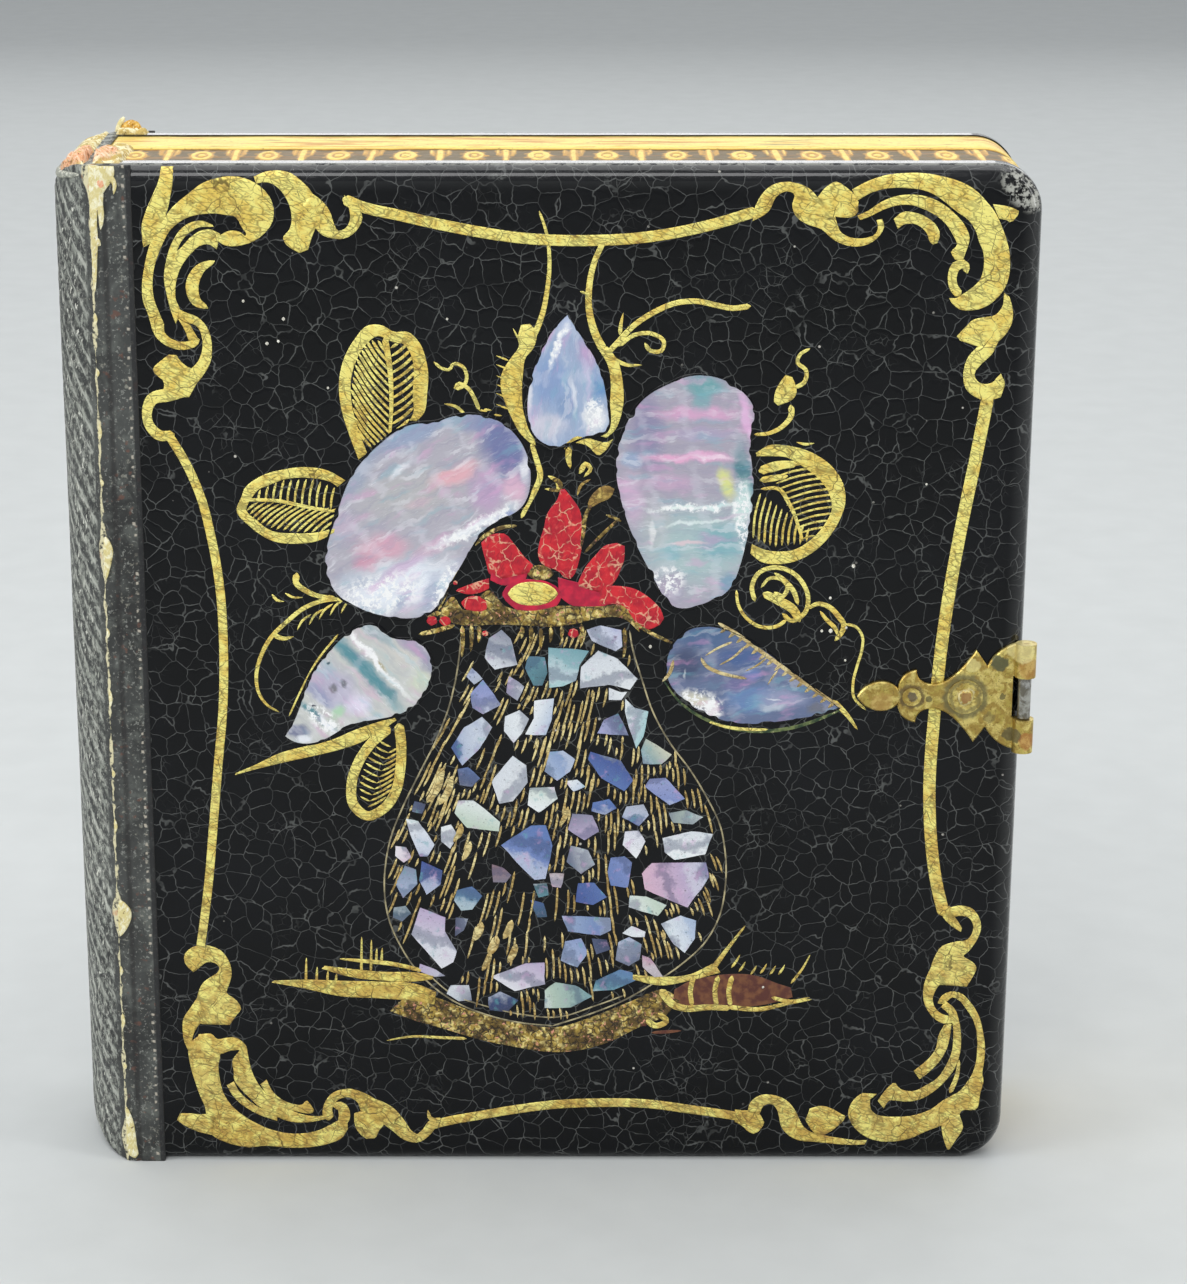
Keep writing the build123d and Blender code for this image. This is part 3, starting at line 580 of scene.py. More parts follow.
# %% Bands and top left corner
border = Relief(0.05)
border.line(1.0, (22.1, 92.1), (23.4, 91.5), (27.1, 90.6), (32.1, 89.5), (37.9, 88.6), (43.6, 88.4),
            (49.3, 88.8), (55.0, 90.0), (58.2, 91.0))
border.line(0.82, (6.3, 70.9), (7.6, 68.6), (8.9, 65.4), (9.8, 61.4), (10.4, 57), (10.6, 51.3),
            (10.4, 45.6), (9.8, 39.9), (9.2, 34.1), (8.6, 28.4), (8.0, 24.1), (7.6, 21.6))
border.line(1.15, (79.0, 74.6), (78.2, 69.4), (77.1, 62.7), (76.3, 57), (75.7, 51.3), (75.3, 45.0),
            (75.1, 37), (75.4, 32.7), (76.0, 28.6), (76.9, 25.0))
border.line(0.9, (28.9, 3.6), (30.6, 4.1), (33.2, 4.6), (36.4, 5.2), (40.7, 5.8), (45, 6.0), (49.3, 5.9),
            (53.6, 5.3), (57.4, 4.7), (59.0, 4.4))

border.ladder((6.3, 94.8, 7.4, 94.8), (6.15, 93.8, 7.35, 93.6), (5.5, 92.3, 7.1, 92.2),
              (4.9, 91.0, 6.8, 91.0), (4.5, 89.7, 6.4, 90.0), (4.5, 88.6, 5.9, 89.2),
              (4.6, 87.8, 5.3, 88.2))
border.ladder(
    (5.15, 80.3, 6.2, 81.0), (4.8, 81.8, 5.8, 82.0), (4.4, 83, 5.4, 83.2), (4.35, 84.5, 5.3, 84.5),
    (4.6, 86, 5.45, 85.8), (5.0, 87.6, 5.9, 87.2), (5.5, 88.8, 6.4, 88.3), (6.4, 90.2, 7.0, 89.3),
    (7.2, 91.3, 7.8, 90.0), (8.5, 92.4, 8.8, 90.5), (10, 93.5, 10, 90.72), (11.2, 93.9, 11, 90.75),
    (12.4, 94.05, 12, 90.6), (13.6, 93.9, 12.6, 90.5), (14.8, 93.3, 12.9, 90.2), (15.8, 92.2, 13.05, 89.9),
    (16.1, 91, 13.2, 89.6), (15.9, 89.9, 13.4, 89.3), (15.2, 89.0, 13.6, 89.05), (14.2, 88.3, 13.5, 88.8),
    (13.1, 87.95, 13.2, 89.1), (12, 87.9, 12.5, 89.3), (11.3, 88.2, 11.8, 89.15), (11.1, 88.5, 11.2, 88.8))
border.ladder((5.15, 80.6, 6.2, 81.0), (5.3, 80.0, 6.2, 80.3), (5.8, 79.4, 6.6, 79.8),
              (6.6, 78.9, 7.2, 79.5), (7.5, 78.65, 7.8, 79.4), (8.4, 78.75, 8.3, 79.45),
              (9.1, 79.1, 8.7, 79.6), (9.3, 79.6, 9.1, 79.75))
border.ladder((7.4, 81.5, 8.5, 80.9), (7.9, 80.6, 8.8, 80.3), (8.3, 79.5, 9.2, 79.6))
border.ladder((6.4, 86.0, 7.3, 86.6), (6.7, 87.2, 7.5, 87.4), (7.2, 88.4, 8.0, 88.4),
              (7.9, 89.4, 8.7, 89.1), (8.8, 90.0, 9.5, 89.55), (9.8, 90.15, 10.2, 89.6),
              (10.7, 89.8, 10.8, 89.6))
border.ladder((11.0, 87.6, 11.35, 89.0), (10.3, 88.05, 10.5, 89.4), (9.6, 87.95, 9.7, 89.3),
              (8.8, 87.3, 8.8, 88.75), (8.0, 86.3, 7.9, 87.8), (7.5, 85.2, 6.6, 86.6),
              (7.3, 84.2, 6.3, 85.0), (7.3, 83.2, 6.5, 83.6), (7.6, 82.4, 6.8, 82.2),
              (7.6, 81.8, 7.2, 81.0))
border.ladder((7.4, 82.4, 7.5, 81.5), (8.2, 82.0, 8.3, 81.05), (9.0, 81.7, 8.9, 80.9),
              (9.7, 81.1, 9.3, 80.4), (10.2, 80.1, 9.5, 79.6), (10.35, 78.8, 9.45, 78.6),
              (10.2, 77.6, 9.1, 77.7), (9.6, 76.5, 8.5, 77.05), (8.9, 75.6, 7.6, 76.6))
border.ladder((7.2, 78.2, 6.5, 78.25), (7.5, 77.7, 5.8, 77.7), (8.2, 77.1, 5.1, 77.1),
              (9.2, 76.8, 5.2, 76.5), (9.2, 76.1, 5.9, 75.9), (8.9, 75.6, 6.0, 75.4),
              (8.5, 74.9, 5.9, 74.9), (8.2, 74.4, 6.8, 74.4))
border.scroll((10.8, 86.6, 0.3), (9.5, 85.9, 0.9), (8.75, 84.3, 1.15), (9.1, 83.0, 0.9), (10.1, 82.4, 0.3))
border.scroll((8.2, 75.0, 0.9), (6.4, 74.6, 1.2), (4.9, 74.2, 1.1), (4.4, 73.0, 0.9), (4.6, 71.8, 0.9),
              (5.5, 70.9, 1.0), (6.8, 71.0, 0.8))
border.ladder((14.4, 94.0, 14.6, 93.4), (15.4, 94.4, 15.6, 93.5), (16.6, 94.5, 16.5, 93.0),
              (17.6, 94.3, 17.1, 92.2), (18.6, 93.6, 17.5, 91.2), (19.4, 92.7, 17.6, 90.2),
              (20.0, 91.6, 17.4, 89.4), (19.9, 90.0, 16.8, 88.6), (19.4, 88.8, 17.2, 87.9),
              (19.0, 87.6, 18.2, 87.3))
border.ladder((19.4, 92.6, 18.2, 91.0), (20.4, 91.8, 19.0, 90.4), (21.0, 90.9, 19.6, 89.6),
              (21.3, 89.9, 20.2, 88.9), (21.6, 89.3, 21.0, 88.6), (22.4, 89.6, 22.3, 88.6),
              (22.7, 90.3, 23.2, 89.2), (22.6, 91.3, 23.8, 90.4), (22.2, 92.4, 23.0, 91.9))
print("top left corner drawn,", border.pieces, "strokes so far")

# %% Top right corner
border.ladder(
    (57.8, 90.1, 58.0, 91.4), (58.6, 90.5, 58.5, 92.4), (59.3, 91.1, 59.3, 93.2), (59.8, 92.2, 60.4, 93.55),
    (60.6, 92.7, 61.6, 93.45), (61.4, 92.4, 62.8, 92.9), (61.2, 91.5, 63.6, 92.1), (61.5, 90.6, 64.6, 91.8),
    (62.6, 89.8, 65.0, 90.6), (63.8, 89.4, 65.2, 89.9), (64.6, 88.7, 65.5, 89.2), (65.6, 88.1, 66.2, 88.75),
    (66.8, 87.85, 66.9, 88.6), (68.0, 88.1, 67.8, 88.65), (68.9, 88.8, 68.5, 88.95),
    (69.3, 89.6, 68.75, 89.5), (69.1, 90.3, 68.6, 90.2))
border.ladder((63.4, 92.2, 64.6, 90.6), (64.2, 93.2, 65.6, 90.4), (65.2, 93.55, 66.6, 90.5),
              (66.0, 93.0, 67.0, 91.0), (66.5, 92.6, 67.0, 91.8))
border.ladder(
    (66.4, 92.9, 66.9, 91.9), (67.6, 93.55, 67.9, 92.5), (69.2, 94.1, 69.4, 92.95), (71, 94.3, 71, 93.0),
    (73, 94.25, 72.6, 92.8), (74.6, 93.95, 73.6, 92.4), (76, 93.5, 74.6, 91.7), (77.2, 92.8, 75.6, 90.9),
    (78.2, 91.8, 76.6, 90.2), (79.0, 90.8, 77.3, 89.2), (79.6, 89.6, 77.6, 88.3), (80.2, 88.0, 78.0, 87.4),
    (80.45, 86.2, 78.1, 86.0), (80.3, 84.8, 77.8, 84.9), (79.7, 83.6, 77.0, 84.1), (78.6, 82.6, 76.4, 83.7),
    (77.4, 82.2, 76.0, 83.4), (76.2, 82.25, 75.7, 83.3), (75.4, 82.9, 75.2, 83.3))
border.ladder((66.9, 90.6, 67.2, 90.2), (67.8, 91.0, 68.0, 90.5), (68.8, 91.7, 69.2, 91.1),
              (70.2, 92.3, 70.5, 91.5), (71.6, 92.45, 71.6, 91.5), (73, 92.25, 72.8, 91.1),
              (74.4, 91.6, 73.9, 90.5), (75.5, 90.7, 74.7, 89.8), (76.3, 89.8, 75.3, 88.9),
              (76.8, 88.6, 75.7, 88.0), (76.5, 87.3, 75.2, 87.3), (76.3, 86.7, 75.6, 86.7))
border.scroll((76.7, 85.5, 0.5), (76.4, 86.3, 0.8), (75.8, 86.2, 0.9), (75.4, 85.2, 0.8), (75.6, 84.2, 0.8),
              (76.2, 83.5, 0.8))
border.ladder((70.1, 90.3, 70.5, 89.4), (70.8, 90.9, 71.0, 89.8), (71.8, 90.9, 71.9, 89.85),
              (72.9, 90.5, 72.6, 89.5), (73.8, 89.8, 73.1, 88.9), (74.2, 88.9, 73.3, 88.3),
              (74.0, 88.2, 73.6, 88.05))
border.ladder((78.7, 91.6, 79.3, 90.3), (79.6, 91.5, 79.9, 90.2), (80.4, 91.3, 80.4, 90.0),
              (81.0, 91.0, 80.9, 90.6))
border.ladder((80.0, 83.8, 80.5, 83.4), (79.9, 82.6, 80.85, 82.2), (79.3, 81.8, 80.8, 81.0),
              (78.3, 81.6, 80.2, 79.9), (77.4, 81.4, 79.4, 79.2), (76.6, 80.6, 78.2, 78.9),
              (76.0, 79.9, 76.3, 79.5))
border.ladder((77.8, 78.9, 79.7, 79.4), (77.1, 78.1, 79.2, 78.3), (76.75, 77.1, 78.2, 77.3),
              (76.7, 76.1, 77.7, 76.5), (77.0, 75.1, 78.1, 75.75), (77.8, 74.4, 78.9, 75.6),
              (78.6, 74.1, 79.4, 75.8), (79.6, 74.2, 79.8, 76.3), (80.3, 74.8, 80.2, 76.3),
              (80.4, 75.4, 80.4, 75.8))
print("top right corner drawn,", border.pieces, "strokes so far")

# %% Bottom left corner
border.ladder((6.9, 19.35, 7.1, 19.5), (6.2, 20.1, 7.6, 19.9), (6.1, 21.1, 8.1, 20.3),
              (7.0, 21.95, 8.6, 20.35), (8.4, 22.05, 9.1, 20.15), (9.6, 21.5, 9.35, 19.75),
              (10.3, 20.4, 9.1, 19.25), (10.5, 19.2, 8.4, 18.8), (10.2, 18.0, 7.7, 18.2),
              (10.0, 17.2, 7.3, 17.4), (10.8, 16.6, 7.1, 16.6), (11.3, 15.8, 6.9, 16.2),
              (10.8, 14.9, 7.0, 15.2), (10.2, 14.0, 7.4, 14.1))
border.ladder((7.2, 16.8, 8.0, 15.5), (6.4, 15.6, 7.6, 14.4), (5.8, 14.6, 7.0, 13.6),
              (5.7, 13.5, 6.7, 12.9), (5.8, 12.4, 6.6, 12.3), (6.2, 11.3, 7.0, 11.6))
border.ladder(
    (6.6, 12.4, 7.4, 13.05), (6.2, 11.6, 9.0, 12.5), (6.2, 10.6, 9.2, 10.9), (6.4, 9.4, 9.0, 9.8),
    (6.7, 8.2, 9.1, 8.4), (7.1, 6.8, 9.4, 7.0), (7.6, 5.4, 10.0, 5.9), (7.7, 4.0, 10.6, 5.2),
    (8.2, 2.6, 11.6, 4.4), (9.6, 1.8, 12.6, 3.8), (11.4, 1.35, 13.6, 3.3), (13.2, 1.5, 15, 2.9),
    (15.4, 1.3, 16.6, 2.8), (17.4, 1.35, 18.2, 3.1), (19.2, 1.7, 19.4, 3.7), (20.6, 2.4, 20.3, 4.2),
    (21.1, 3.3, 21.0, 4.4))
border.ladder((4.9, 4.2, 5.2, 4.9), (5.6, 3.6, 6.2, 4.9), (6.8, 3.0, 7.2, 4.8), (8.2, 2.6, 8.6, 5.0))
border.ladder((7.0, 11.8, 7.2, 13.05), (8.0, 11.4, 8.4, 13.1), (9.2, 11.0, 9.0, 12.55),
              (10.0, 11.3, 9.9, 12.7), (10.7, 11.4, 10.8, 12.7), (11.0, 11.4, 11.5, 12.1),
              (10.3, 10.4, 11.8, 11.0), (10.4, 9.2, 12.0, 9.8), (10.4, 8.4, 12.3, 8.8),
              (11.0, 7.4, 12.8, 7.8), (11.9, 6.4, 13.6, 6.8), (12.8, 5.5, 14.6, 5.9),
              (14.2, 4.6, 15.8, 5.2), (15.8, 4.0, 17.0, 4.75), (17.6, 4.0, 18.2, 4.6),
              (19.0, 4.3, 19.0, 4.7))
border.ladder((9.7, 7.8, 10.4, 8.2), (10.2, 6.8, 10.8, 7.3), (11.2, 5.7, 11.8, 6.2), (12.6, 4.8, 12.9, 5.4),
              (14.4, 4.1, 14.4, 4.6))
border.ladder((12.9, 7.9, 13.5, 8.4), (13.2, 7.3, 13.9, 7.4), (14.0, 6.3, 14.8, 6.4),
              (15.0, 5.5, 15.8, 5.9), (16.2, 5.1, 16.8, 5.8), (17.3, 4.85, 17.3, 6.2),
              (17.8, 4.95, 17.9, 5.3))
border.scroll((19.3, 4.2, 1.2), (19.2, 5.4, 0.9), (19.9, 6.6, 0.9), (21.2, 7.0, 0.9), (22.4, 6.5, 1.2),
              (23.4, 5.4, 2.2), (24.8, 4.7, 2.0), (25.9, 3.6, 1.6), (26.8, 2.6, 1.2), (27.7, 2.3, 0.9),
              (28.5, 2.9, 0.9), (29.2, 3.8, 1.0), (30.2, 4.1, 0.9))
border.scroll((19.7, 5.7, 0.6), (20.5, 5.6, 1.0), (20.8, 4.7, 1.1), (20.5, 3.7, 1.0))
border.ladder((21.7, 4.9, 23.2, 5.4), (21.7, 3.9, 24.4, 4.8), (22.1, 2.9, 24.6, 3.8),
              (23.0, 2.2, 24.0, 3.0), (23.6, 2.3, 23.8, 2.5))
border.line(0.5, (28.7, 5.2), (28.9, 4.4), (29.6, 4.0), start=0.4)
print("bottom left corner drawn,", border.pieces, "strokes so far")

# %% Bottom right corner
border.ladder((76.4, 26.0, 77.4, 26.0), (76.9, 24.7, 77.9, 24.9), (77.6, 24.0, 78.2, 24.5),
              (78.5, 23.4, 78.6, 23.8))
border.ladder((77.2, 25.8, 77.7, 24.9), (78.4, 26.05, 78.6, 25.0), (79.4, 25.8, 79.2, 24.8),
              (80.1, 25.0, 79.6, 24.2), (80.4, 23.9, 79.6, 23.4), (80.1, 22.7, 79.1, 22.6),
              (79.4, 21.5, 77.9, 22.4), (78.9, 20.9, 76.6, 21.8), (79.6, 20.5, 76.1, 20.8),
              (80.15, 19.8, 75.8, 19.6), (79.9, 19.0, 75.9, 18.8), (79.3, 17.9, 76.6, 18.1))
border.ladder((76.0, 20.2, 78.0, 18.6), (75.5, 19.0, 76.9, 18.2), (75.2, 17.6, 76.3, 17.3),
              (75.3, 16.4, 76.15, 16.5), (75.8, 15.3, 76.5, 15.6), (76.5, 14.5, 77.1, 15.1),
              (77.4, 14.1, 77.8, 14.9), (78.2, 14.2, 78.2, 14.8))
border.ladder(
    (76.6, 16.2, 77.2, 16.1), (76.9, 16.9, 77.5, 16.4), (77.8, 17.4, 78.0, 16.8), (78.8, 17.2, 78.7, 16.4),
    (79.7, 16.3, 79.3, 15.6), (80.5, 15.0, 80.0, 14.5), (81.0, 13.3, 80.4, 13.0), (81.25, 11.6, 80.5, 11.5),
    (81.2, 10.0, 80.4, 10.0), (81.1, 9.0, 80.1, 8.9), (81.25, 8.2, 79.6, 8.0), (81.0, 7.0, 79.0, 7.2),
    (80.7, 5.3, 78.2, 6.7), (79.4, 5.2, 77.4, 6.2), (78.9, 4.4, 76.6, 5.5), (77.4, 3.6, 75.4, 4.9),
    (76, 3.0, 74.2, 4.6), (74.6, 2.3, 73.0, 4.55), (73, 1.95, 72.0, 4.6), (71.4, 2.0, 71.2, 4.8),
    (70, 2.6, 70.7, 5.3), (69, 3.6, 70.6, 5.9), (68.5, 4.8, 70.6, 6.3), (69.0, 6.3, 70.9, 6.6),
    (69.8, 7.0, 71.2, 6.9))
border.ladder((77.4, 3.8, 79.1, 4.8), (77.5, 2.9, 79.5, 3.4), (77.8, 1.8, 78.9, 2.2),
              (78.1, 1.1, 78.3, 1.15))
border.ladder((77.4, 16.4, 76.9, 15.8), (78.2, 15.7, 77.6, 15.2), (78.7, 14.4, 78.1, 14.0),
              (78.95, 12.8, 78.2, 12.6), (78.9, 11.0, 78.1, 11.2), (78.4, 9.4, 77.6, 9.8),
              (77.6, 8.2, 76.9, 8.6), (76.4, 7.0, 75.8, 7.8), (75.2, 6.3, 74.6, 7.2),
              (73.9, 6.1, 73.3, 7.5), (73.0, 6.2, 72.8, 8.1), (72.4, 6.2, 72.0, 7.3),
              (71.9, 5.4, 71.3, 6.2))
border.line(0.5, (78.85, 10.4), (78.7, 8.8), (78.1, 7.0), start=0.5)
border.ladder((78.0, 14.1, 77.3, 14.0), (77.9, 12.8, 76.8, 12.9), (77.6, 11.4, 76.6, 11.6),
              (76.9, 10.1, 76.0, 10.6), (76.0, 9.1, 75.3, 9.9), (75.2, 8.4, 74.6, 9.3))
border.ladder((57.8, 4.0, 57.8, 5.3), (58.6, 3.5, 58.8, 5.2), (59.2, 2.9, 59.8, 5.2),
              (59.9, 2.8, 60.2, 4.8), (60.5, 3.6, 60.6, 4.0))
border.ladder((59.0, 5.0, 60.2, 4.9), (59.2, 6.0, 60.4, 5.5), (60.2, 6.8, 60.9, 5.85),
              (61.4, 6.8, 61.4, 5.75), (62.6, 6.3, 61.8, 5.2), (63.4, 5.4, 62.0, 4.4),
              (63.9, 4.4, 62.2, 3.5), (64.3, 3.6, 62.8, 2.7), (65.0, 3.0, 63.8, 2.1),
              (66.4, 2.6, 65.2, 1.95), (68, 2.3, 67, 1.75), (69.4, 2.1, 68.8, 1.6), (70.4, 2.1, 70.2, 1.65))
border.ladder((64.5, 4.2, 64.9, 5.4), (65.2, 3.0, 65.9, 5.7), (66.2, 2.6, 67.0, 5.4),
              (67.2, 3.2, 67.8, 4.9), (68.1, 4.1, 68.3, 4.6))
border.finish("gilt_border", gold)

# %% [markdown]
# ## Leaves, stems and tendrils
# Four gold-rimmed leaves carry ribs of fine parallel strokes on either side of a midrib. The ribs
# are worked out: parallel lines of one slope are cut to the leaf's outline, and to one side of the
# midrib. The stems and tendrils between the shell flowers are single soft strokes.

# %% Ribbed leaves
def inside(outline, x, z):
    """Which places lie inside an outline: the number of its sides that a level ray crosses is odd."""
    p = np.array(outline, float)
    q = np.roll(p, -1, axis=0)
    x, z = np.asarray(x)[..., None], np.asarray(z)[..., None]
    crosses = (p[:, 1] > z) != (q[:, 1] > z)
    rise = np.where(q[:, 1] == p[:, 1], 1e-9, q[:, 1] - p[:, 1])
    return (crosses & (x < (q[:, 0] - p[:, 0]) * (z - p[:, 1]) / rise + p[:, 0])).sum(-1) % 2 == 1


def ribs(relief, outline, midrib, side, angle, spacing, width):
    """Strokes from the midrib to the outline on one side of it, all at one angle in degrees."""
    (ax, az), (bx, bz) = midrib
    reach = math.hypot(bx - ax, bz - az)
    count = int(reach / spacing)
    step = np.linspace(0, 12, 121)
    dx, dz = math.cos(math.radians(angle)), math.sin(math.radians(angle))
    for share in (np.arange(count + 7) - 3) / count:
        sx, sz = ax + (bx - ax) * share, az + (bz - az) * share
        x, z = sx + dx * step, sz + dz * step
        good = inside(outline, x, z)
        if not good.any():
            continue
        first = int(np.argmax(good))
        run = int(np.argmin(good[first:])) if not good[first:].all() else len(step) - first
        if run > 8:
            last = first + run - 1
            bow = 0.04 * run * 0.1 * side
            relief.line(width, (x[first], z[first]),
                        ((x[first] + x[last]) / 2 - dz * bow, (z[first] + z[last]) / 2 + dx * bow),
                        (x[last], z[last]), start=0.7, end=0.9)


leaves = Relief(0.045)
leaf_upper = [(23.6, 69.5), (22.9, 72), (22.5, 75), (23.0, 77.8), (24.0, 79.6), (26, 79.6), (27.6, 79.4),
              (28.4, 77.6), (28.4, 74.8), (27.9, 72.6), (25.4, 70.2)]
leaf_side = [(12.9, 64.2), (13.6, 65.6), (16.0, 66.8), (19.0, 67.0), (21.4, 66.0), (21.0, 62.2),
             (18.4, 61.9), (15.6, 62.2), (13.8, 63.0)]
leaf_lower = [(26.2, 43.2), (26.2, 40), (25.7, 37.4), (24.6, 36), (23.4, 35.4), (22.7, 36.6), (22.7, 38.4),
              (23.4, 40.4), (24.6, 42.2)]
leaf_right = [(58.6, 68.4), (61, 69), (63.4, 68.4), (65.2, 66.8), (65.9, 64.8), (64.9, 62.4), (63.0, 60.9),
              (60.4, 60.6), (58.4, 61.2)]
leaves.ladder((23.1, 68.7, 23.9, 69.3), (22.3, 71.0, 23.2, 71.3), (21.6, 73.6, 22.6, 73.8),
              (21.5, 76.0, 22.6, 76.2), (22.0, 78.0, 23.2, 78.0), (22.9, 79.6, 24.0, 79.2),
              (24.2, 80.9, 25.0, 79.9), (25.3, 80.9, 25.6, 79.7), (26.4, 80.3, 26.4, 79.3),
              (27.6, 80.3, 27.2, 79.2), (28.6, 79.4, 27.8, 78.4), (29.3, 77.4, 28.1, 77.0),
              (29.3, 74.8, 28.0, 74.6), (28.9, 72.8, 28.0, 72.9), (28.3, 72.2, 27.7, 72.3))
leaves.line(0.42, (25.6, 79.8), (26.0, 77), (26.1, 73.6), (25.9, 70.6), start=1.4, end=0.6)
ribs(leaves, leaf_upper, [(25.9, 80.4), (26.0, 69.6)], 1, 126, 0.72, 0.3)
ribs(leaves, leaf_upper, [(26.1, 79.6), (26.1, 70.4)], -1, 38, 0.72, 0.3)
leaves.ladder((20.8, 61.9, 20.9, 62.4), (19.4, 61.2, 19.4, 62.0), (17.2, 60.9, 17.2, 61.9),
              (15.2, 61.2, 15.3, 62.1), (13.4, 62.4, 13.9, 63.1), (12.1, 64.0, 13.0, 64.1),
              (12.6, 65.3, 13.4, 65.0), (12.9, 66.1, 14.0, 65.8), (14.4, 67.2, 15.0, 66.3),
              (16.4, 67.8, 16.6, 66.9), (18.8, 68.0, 18.8, 67.0), (20.6, 67.6, 20.4, 66.7),
              (21.9, 66.8, 21.2, 66.2))
leaves.line(0.38, (13.0, 65.0), (15.8, 64.9), (18.6, 64.3), (20.9, 63.9), start=0.8, end=0.7)
ribs(leaves, leaf_side, [(12.8, 64.9), (21.2, 64.0)], 1, 80, 0.62, 0.24)
ribs(leaves, leaf_side, [(13.4, 64.8), (23.6, 64.0)], -1, 217, 0.62, 0.24)
leaves.line(0.95, (26.4, 43.9), (26.6, 41.8), (26.5, 39.6), (26.0, 37.2), (24.9, 35.6), (23.4, 34.9),
            (22.2, 35.9), (22.0, 38.0), (22.7, 40.2), (23.9, 42.0), (25.6, 43.5))
ribs(leaves, leaf_lower, [(23.0, 34.6), (26.3, 43.4)], 1, 152, 0.62, 0.22)
ribs(leaves, leaf_lower, [(23.0, 34.6), (26.3, 43.4)], -1, 30, 0.62, 0.22)
leaves.ladder((58.5, 69.3, 58.6, 69.0), (59.6, 70.0, 59.8, 69.0), (61.2, 70.0, 61.2, 68.9),
              (63.4, 69.4, 62.9, 67.9), (65.2, 68.2, 64.2, 66.9), (66.4, 66.4, 65.1, 65.6),
              (66.6, 64.6, 65.4, 64.2), (65.9, 62.6, 64.9, 62.9), (64.4, 60.6, 63.7, 61.4),
              (62.6, 59.4, 62.2, 60.4), (60.8, 59.0, 60.6, 60.2), (59.2, 59.2, 59.4, 60.4),
              (58.2, 60.0, 58.3, 60.9))
leaves.line(0.5, (59.0, 66.0), (60.6, 66.0), (61.6, 64.6), (62.9, 61.2), start=0.5, end=0.5)
leaves.line(1.0, (58.8, 67.6), (60.2, 68.1), (62.2, 68.3), start=0.8, end=0.6)
leaves.line(0.7, (58.9, 66.8), (60.2, 67.0), (61.4, 67.2), start=0.8, end=0.6)
ribs(leaves, leaf_right, [(59.0, 65.6), (63.4, 62.4)], -1, 262, 0.55, 0.24)
ribs(leaves, leaf_right, [(60.6, 66.0), (62.9, 61.4)], 1, 14, 0.55, 0.22)
leaves.finish("gilt_leaves", gold)

# %% Stems, sepals and tendrils
stems = Relief(0.04)
stems.line(0.42, (37.8, 78.9), (38.6, 79.8), (39.4, 81.6), (39.9, 84), (40.1, 86.6), (39.8, 89.2),
           (39.2, 91.0), start=1.5, end=0.5)
stems.line(0.5, (44.9, 78.6), (44.1, 80.2), (43.6, 82.2), (43.6, 84.4), (44.0, 86.4), (44.8, 88.3),
           start=1.6)
stems.line(0.22, (43.6, 83.6), (42.8, 83.9))
stems.line(0.5, (45.2, 78.3), (46, 79.2), (47.6, 80.9), (49.4, 82.1), (51.4, 82.9), (53.2, 83),
           (54.6, 82.7), (56.2, 82.4), (57.8, 82.6))
stems.line(0.38, (46.2, 79), (47.6, 80), (49.2, 80.1), (50.2, 79.4), (50, 78.6), (49, 78.6), (48.5, 79.3))
stems.line(0.4, (46.3, 80.0), (46.4, 81.0), (46.6, 82.0), end=0.2)
stems.line(0.4, (45.2, 78.2), (47, 77.3), (48.3, 77.3), end=0.3)
stems.line(0.36, (29.9, 77.6), (30.6, 77.0), (31.3, 76.9), (31.6, 77.4), (32.4, 77.2), (32.8, 76.2),
           (32.5, 75.4), (31.8, 75.2), (32.0, 75.6), (32.9, 75.2), (33.5, 74.2), (33.9, 73.2), start=0.7)
stems.line(0.32, (30.8, 73.8), (31.9, 73.5), (32.7, 72.7), start=0.5)
for side_x, side_z in ((33.9, 73.2), (34.3, 73.3), (35.2, 72.8)):
    stems.line(0.25, (side_x, side_z), (side_x + 0.7, side_z - 0.1), end=0.4)
stems.ladder((37.6, 80.9, 38.4, 81.0), (37.3, 79.8, 39.0, 80.2), (37.4, 79.0, 38.8, 79.0),
             (36.6, 77.8, 38.0, 77.9), (35.9, 76.6, 37.8, 76.6), (35.8, 75.2, 37.7, 75.0),
             (36.2, 73.8, 37.8, 73.2), (36.8, 72.4, 38.2, 71.9), (37.6, 71.0, 38.8, 70.6),
             (38.4, 70.2, 38.9, 70.0))
for fringe_z in (78.0, 77.2, 76.2, 75.4, 74.6, 73.6):
    stems.line(0.24, (36.5, fringe_z - 0.3), (35.4, fringe_z + 0.15), end=0.3)
stems.line(0.24, (37.4, 79.6), (36.9, 80.6), end=0.3)
stems.ladder((44.5, 78.6, 45.2, 79.0), (45.2, 77.4, 46.2, 77.6), (45.5, 76.0, 46.6, 75.8),
             (45.5, 74.4, 46.7, 74.0), (45.3, 72.8, 46.4, 72.4), (44.9, 71.4, 45.8, 71.2),
             (44.5, 70.9, 45.2, 70.7))
stems.ladder((41.4, 69.6, 41.7, 70.4), (42.2, 70.2, 42.6, 71.0), (43.4, 70.0, 43.6, 70.7),
             (44.6, 69.1, 45.2, 70.3), (45.2, 69.6, 45.8, 70.6))
stems.line(0.6, (41.9, 69.9), (41.8, 68.9), (42.0, 67.9), end=0.5)
stems.line(0.5, (42.8, 67.4), (43.4, 68.3), (43.8, 67.9), (43.2, 67.1), end=0.5)
stems.line(0.7, (38.5, 70.2), (39.0, 68.6), (39.3, 67.2), (38.8, 65.8), (38.2, 64.6), (37.6, 63.3),
           start=0.6, end=0.5)
stems.line(0.4, (38.2, 66.6), (37.4, 65.6), (36.9, 65.2), start=0.8, end=0.5)
stems.line(0.45, (40.0, 67.2), (40.8, 66.7), (40.9, 66.0), (39.7, 66.0), start=0.7, end=0.5)
stems.ladder((60.0, 74.0, 60.4, 73.6), (60.1, 74.9, 61.7, 74.2), (60.6, 75.9, 62.0, 75.2),
             (61.0, 76.4, 61.6, 76.2))
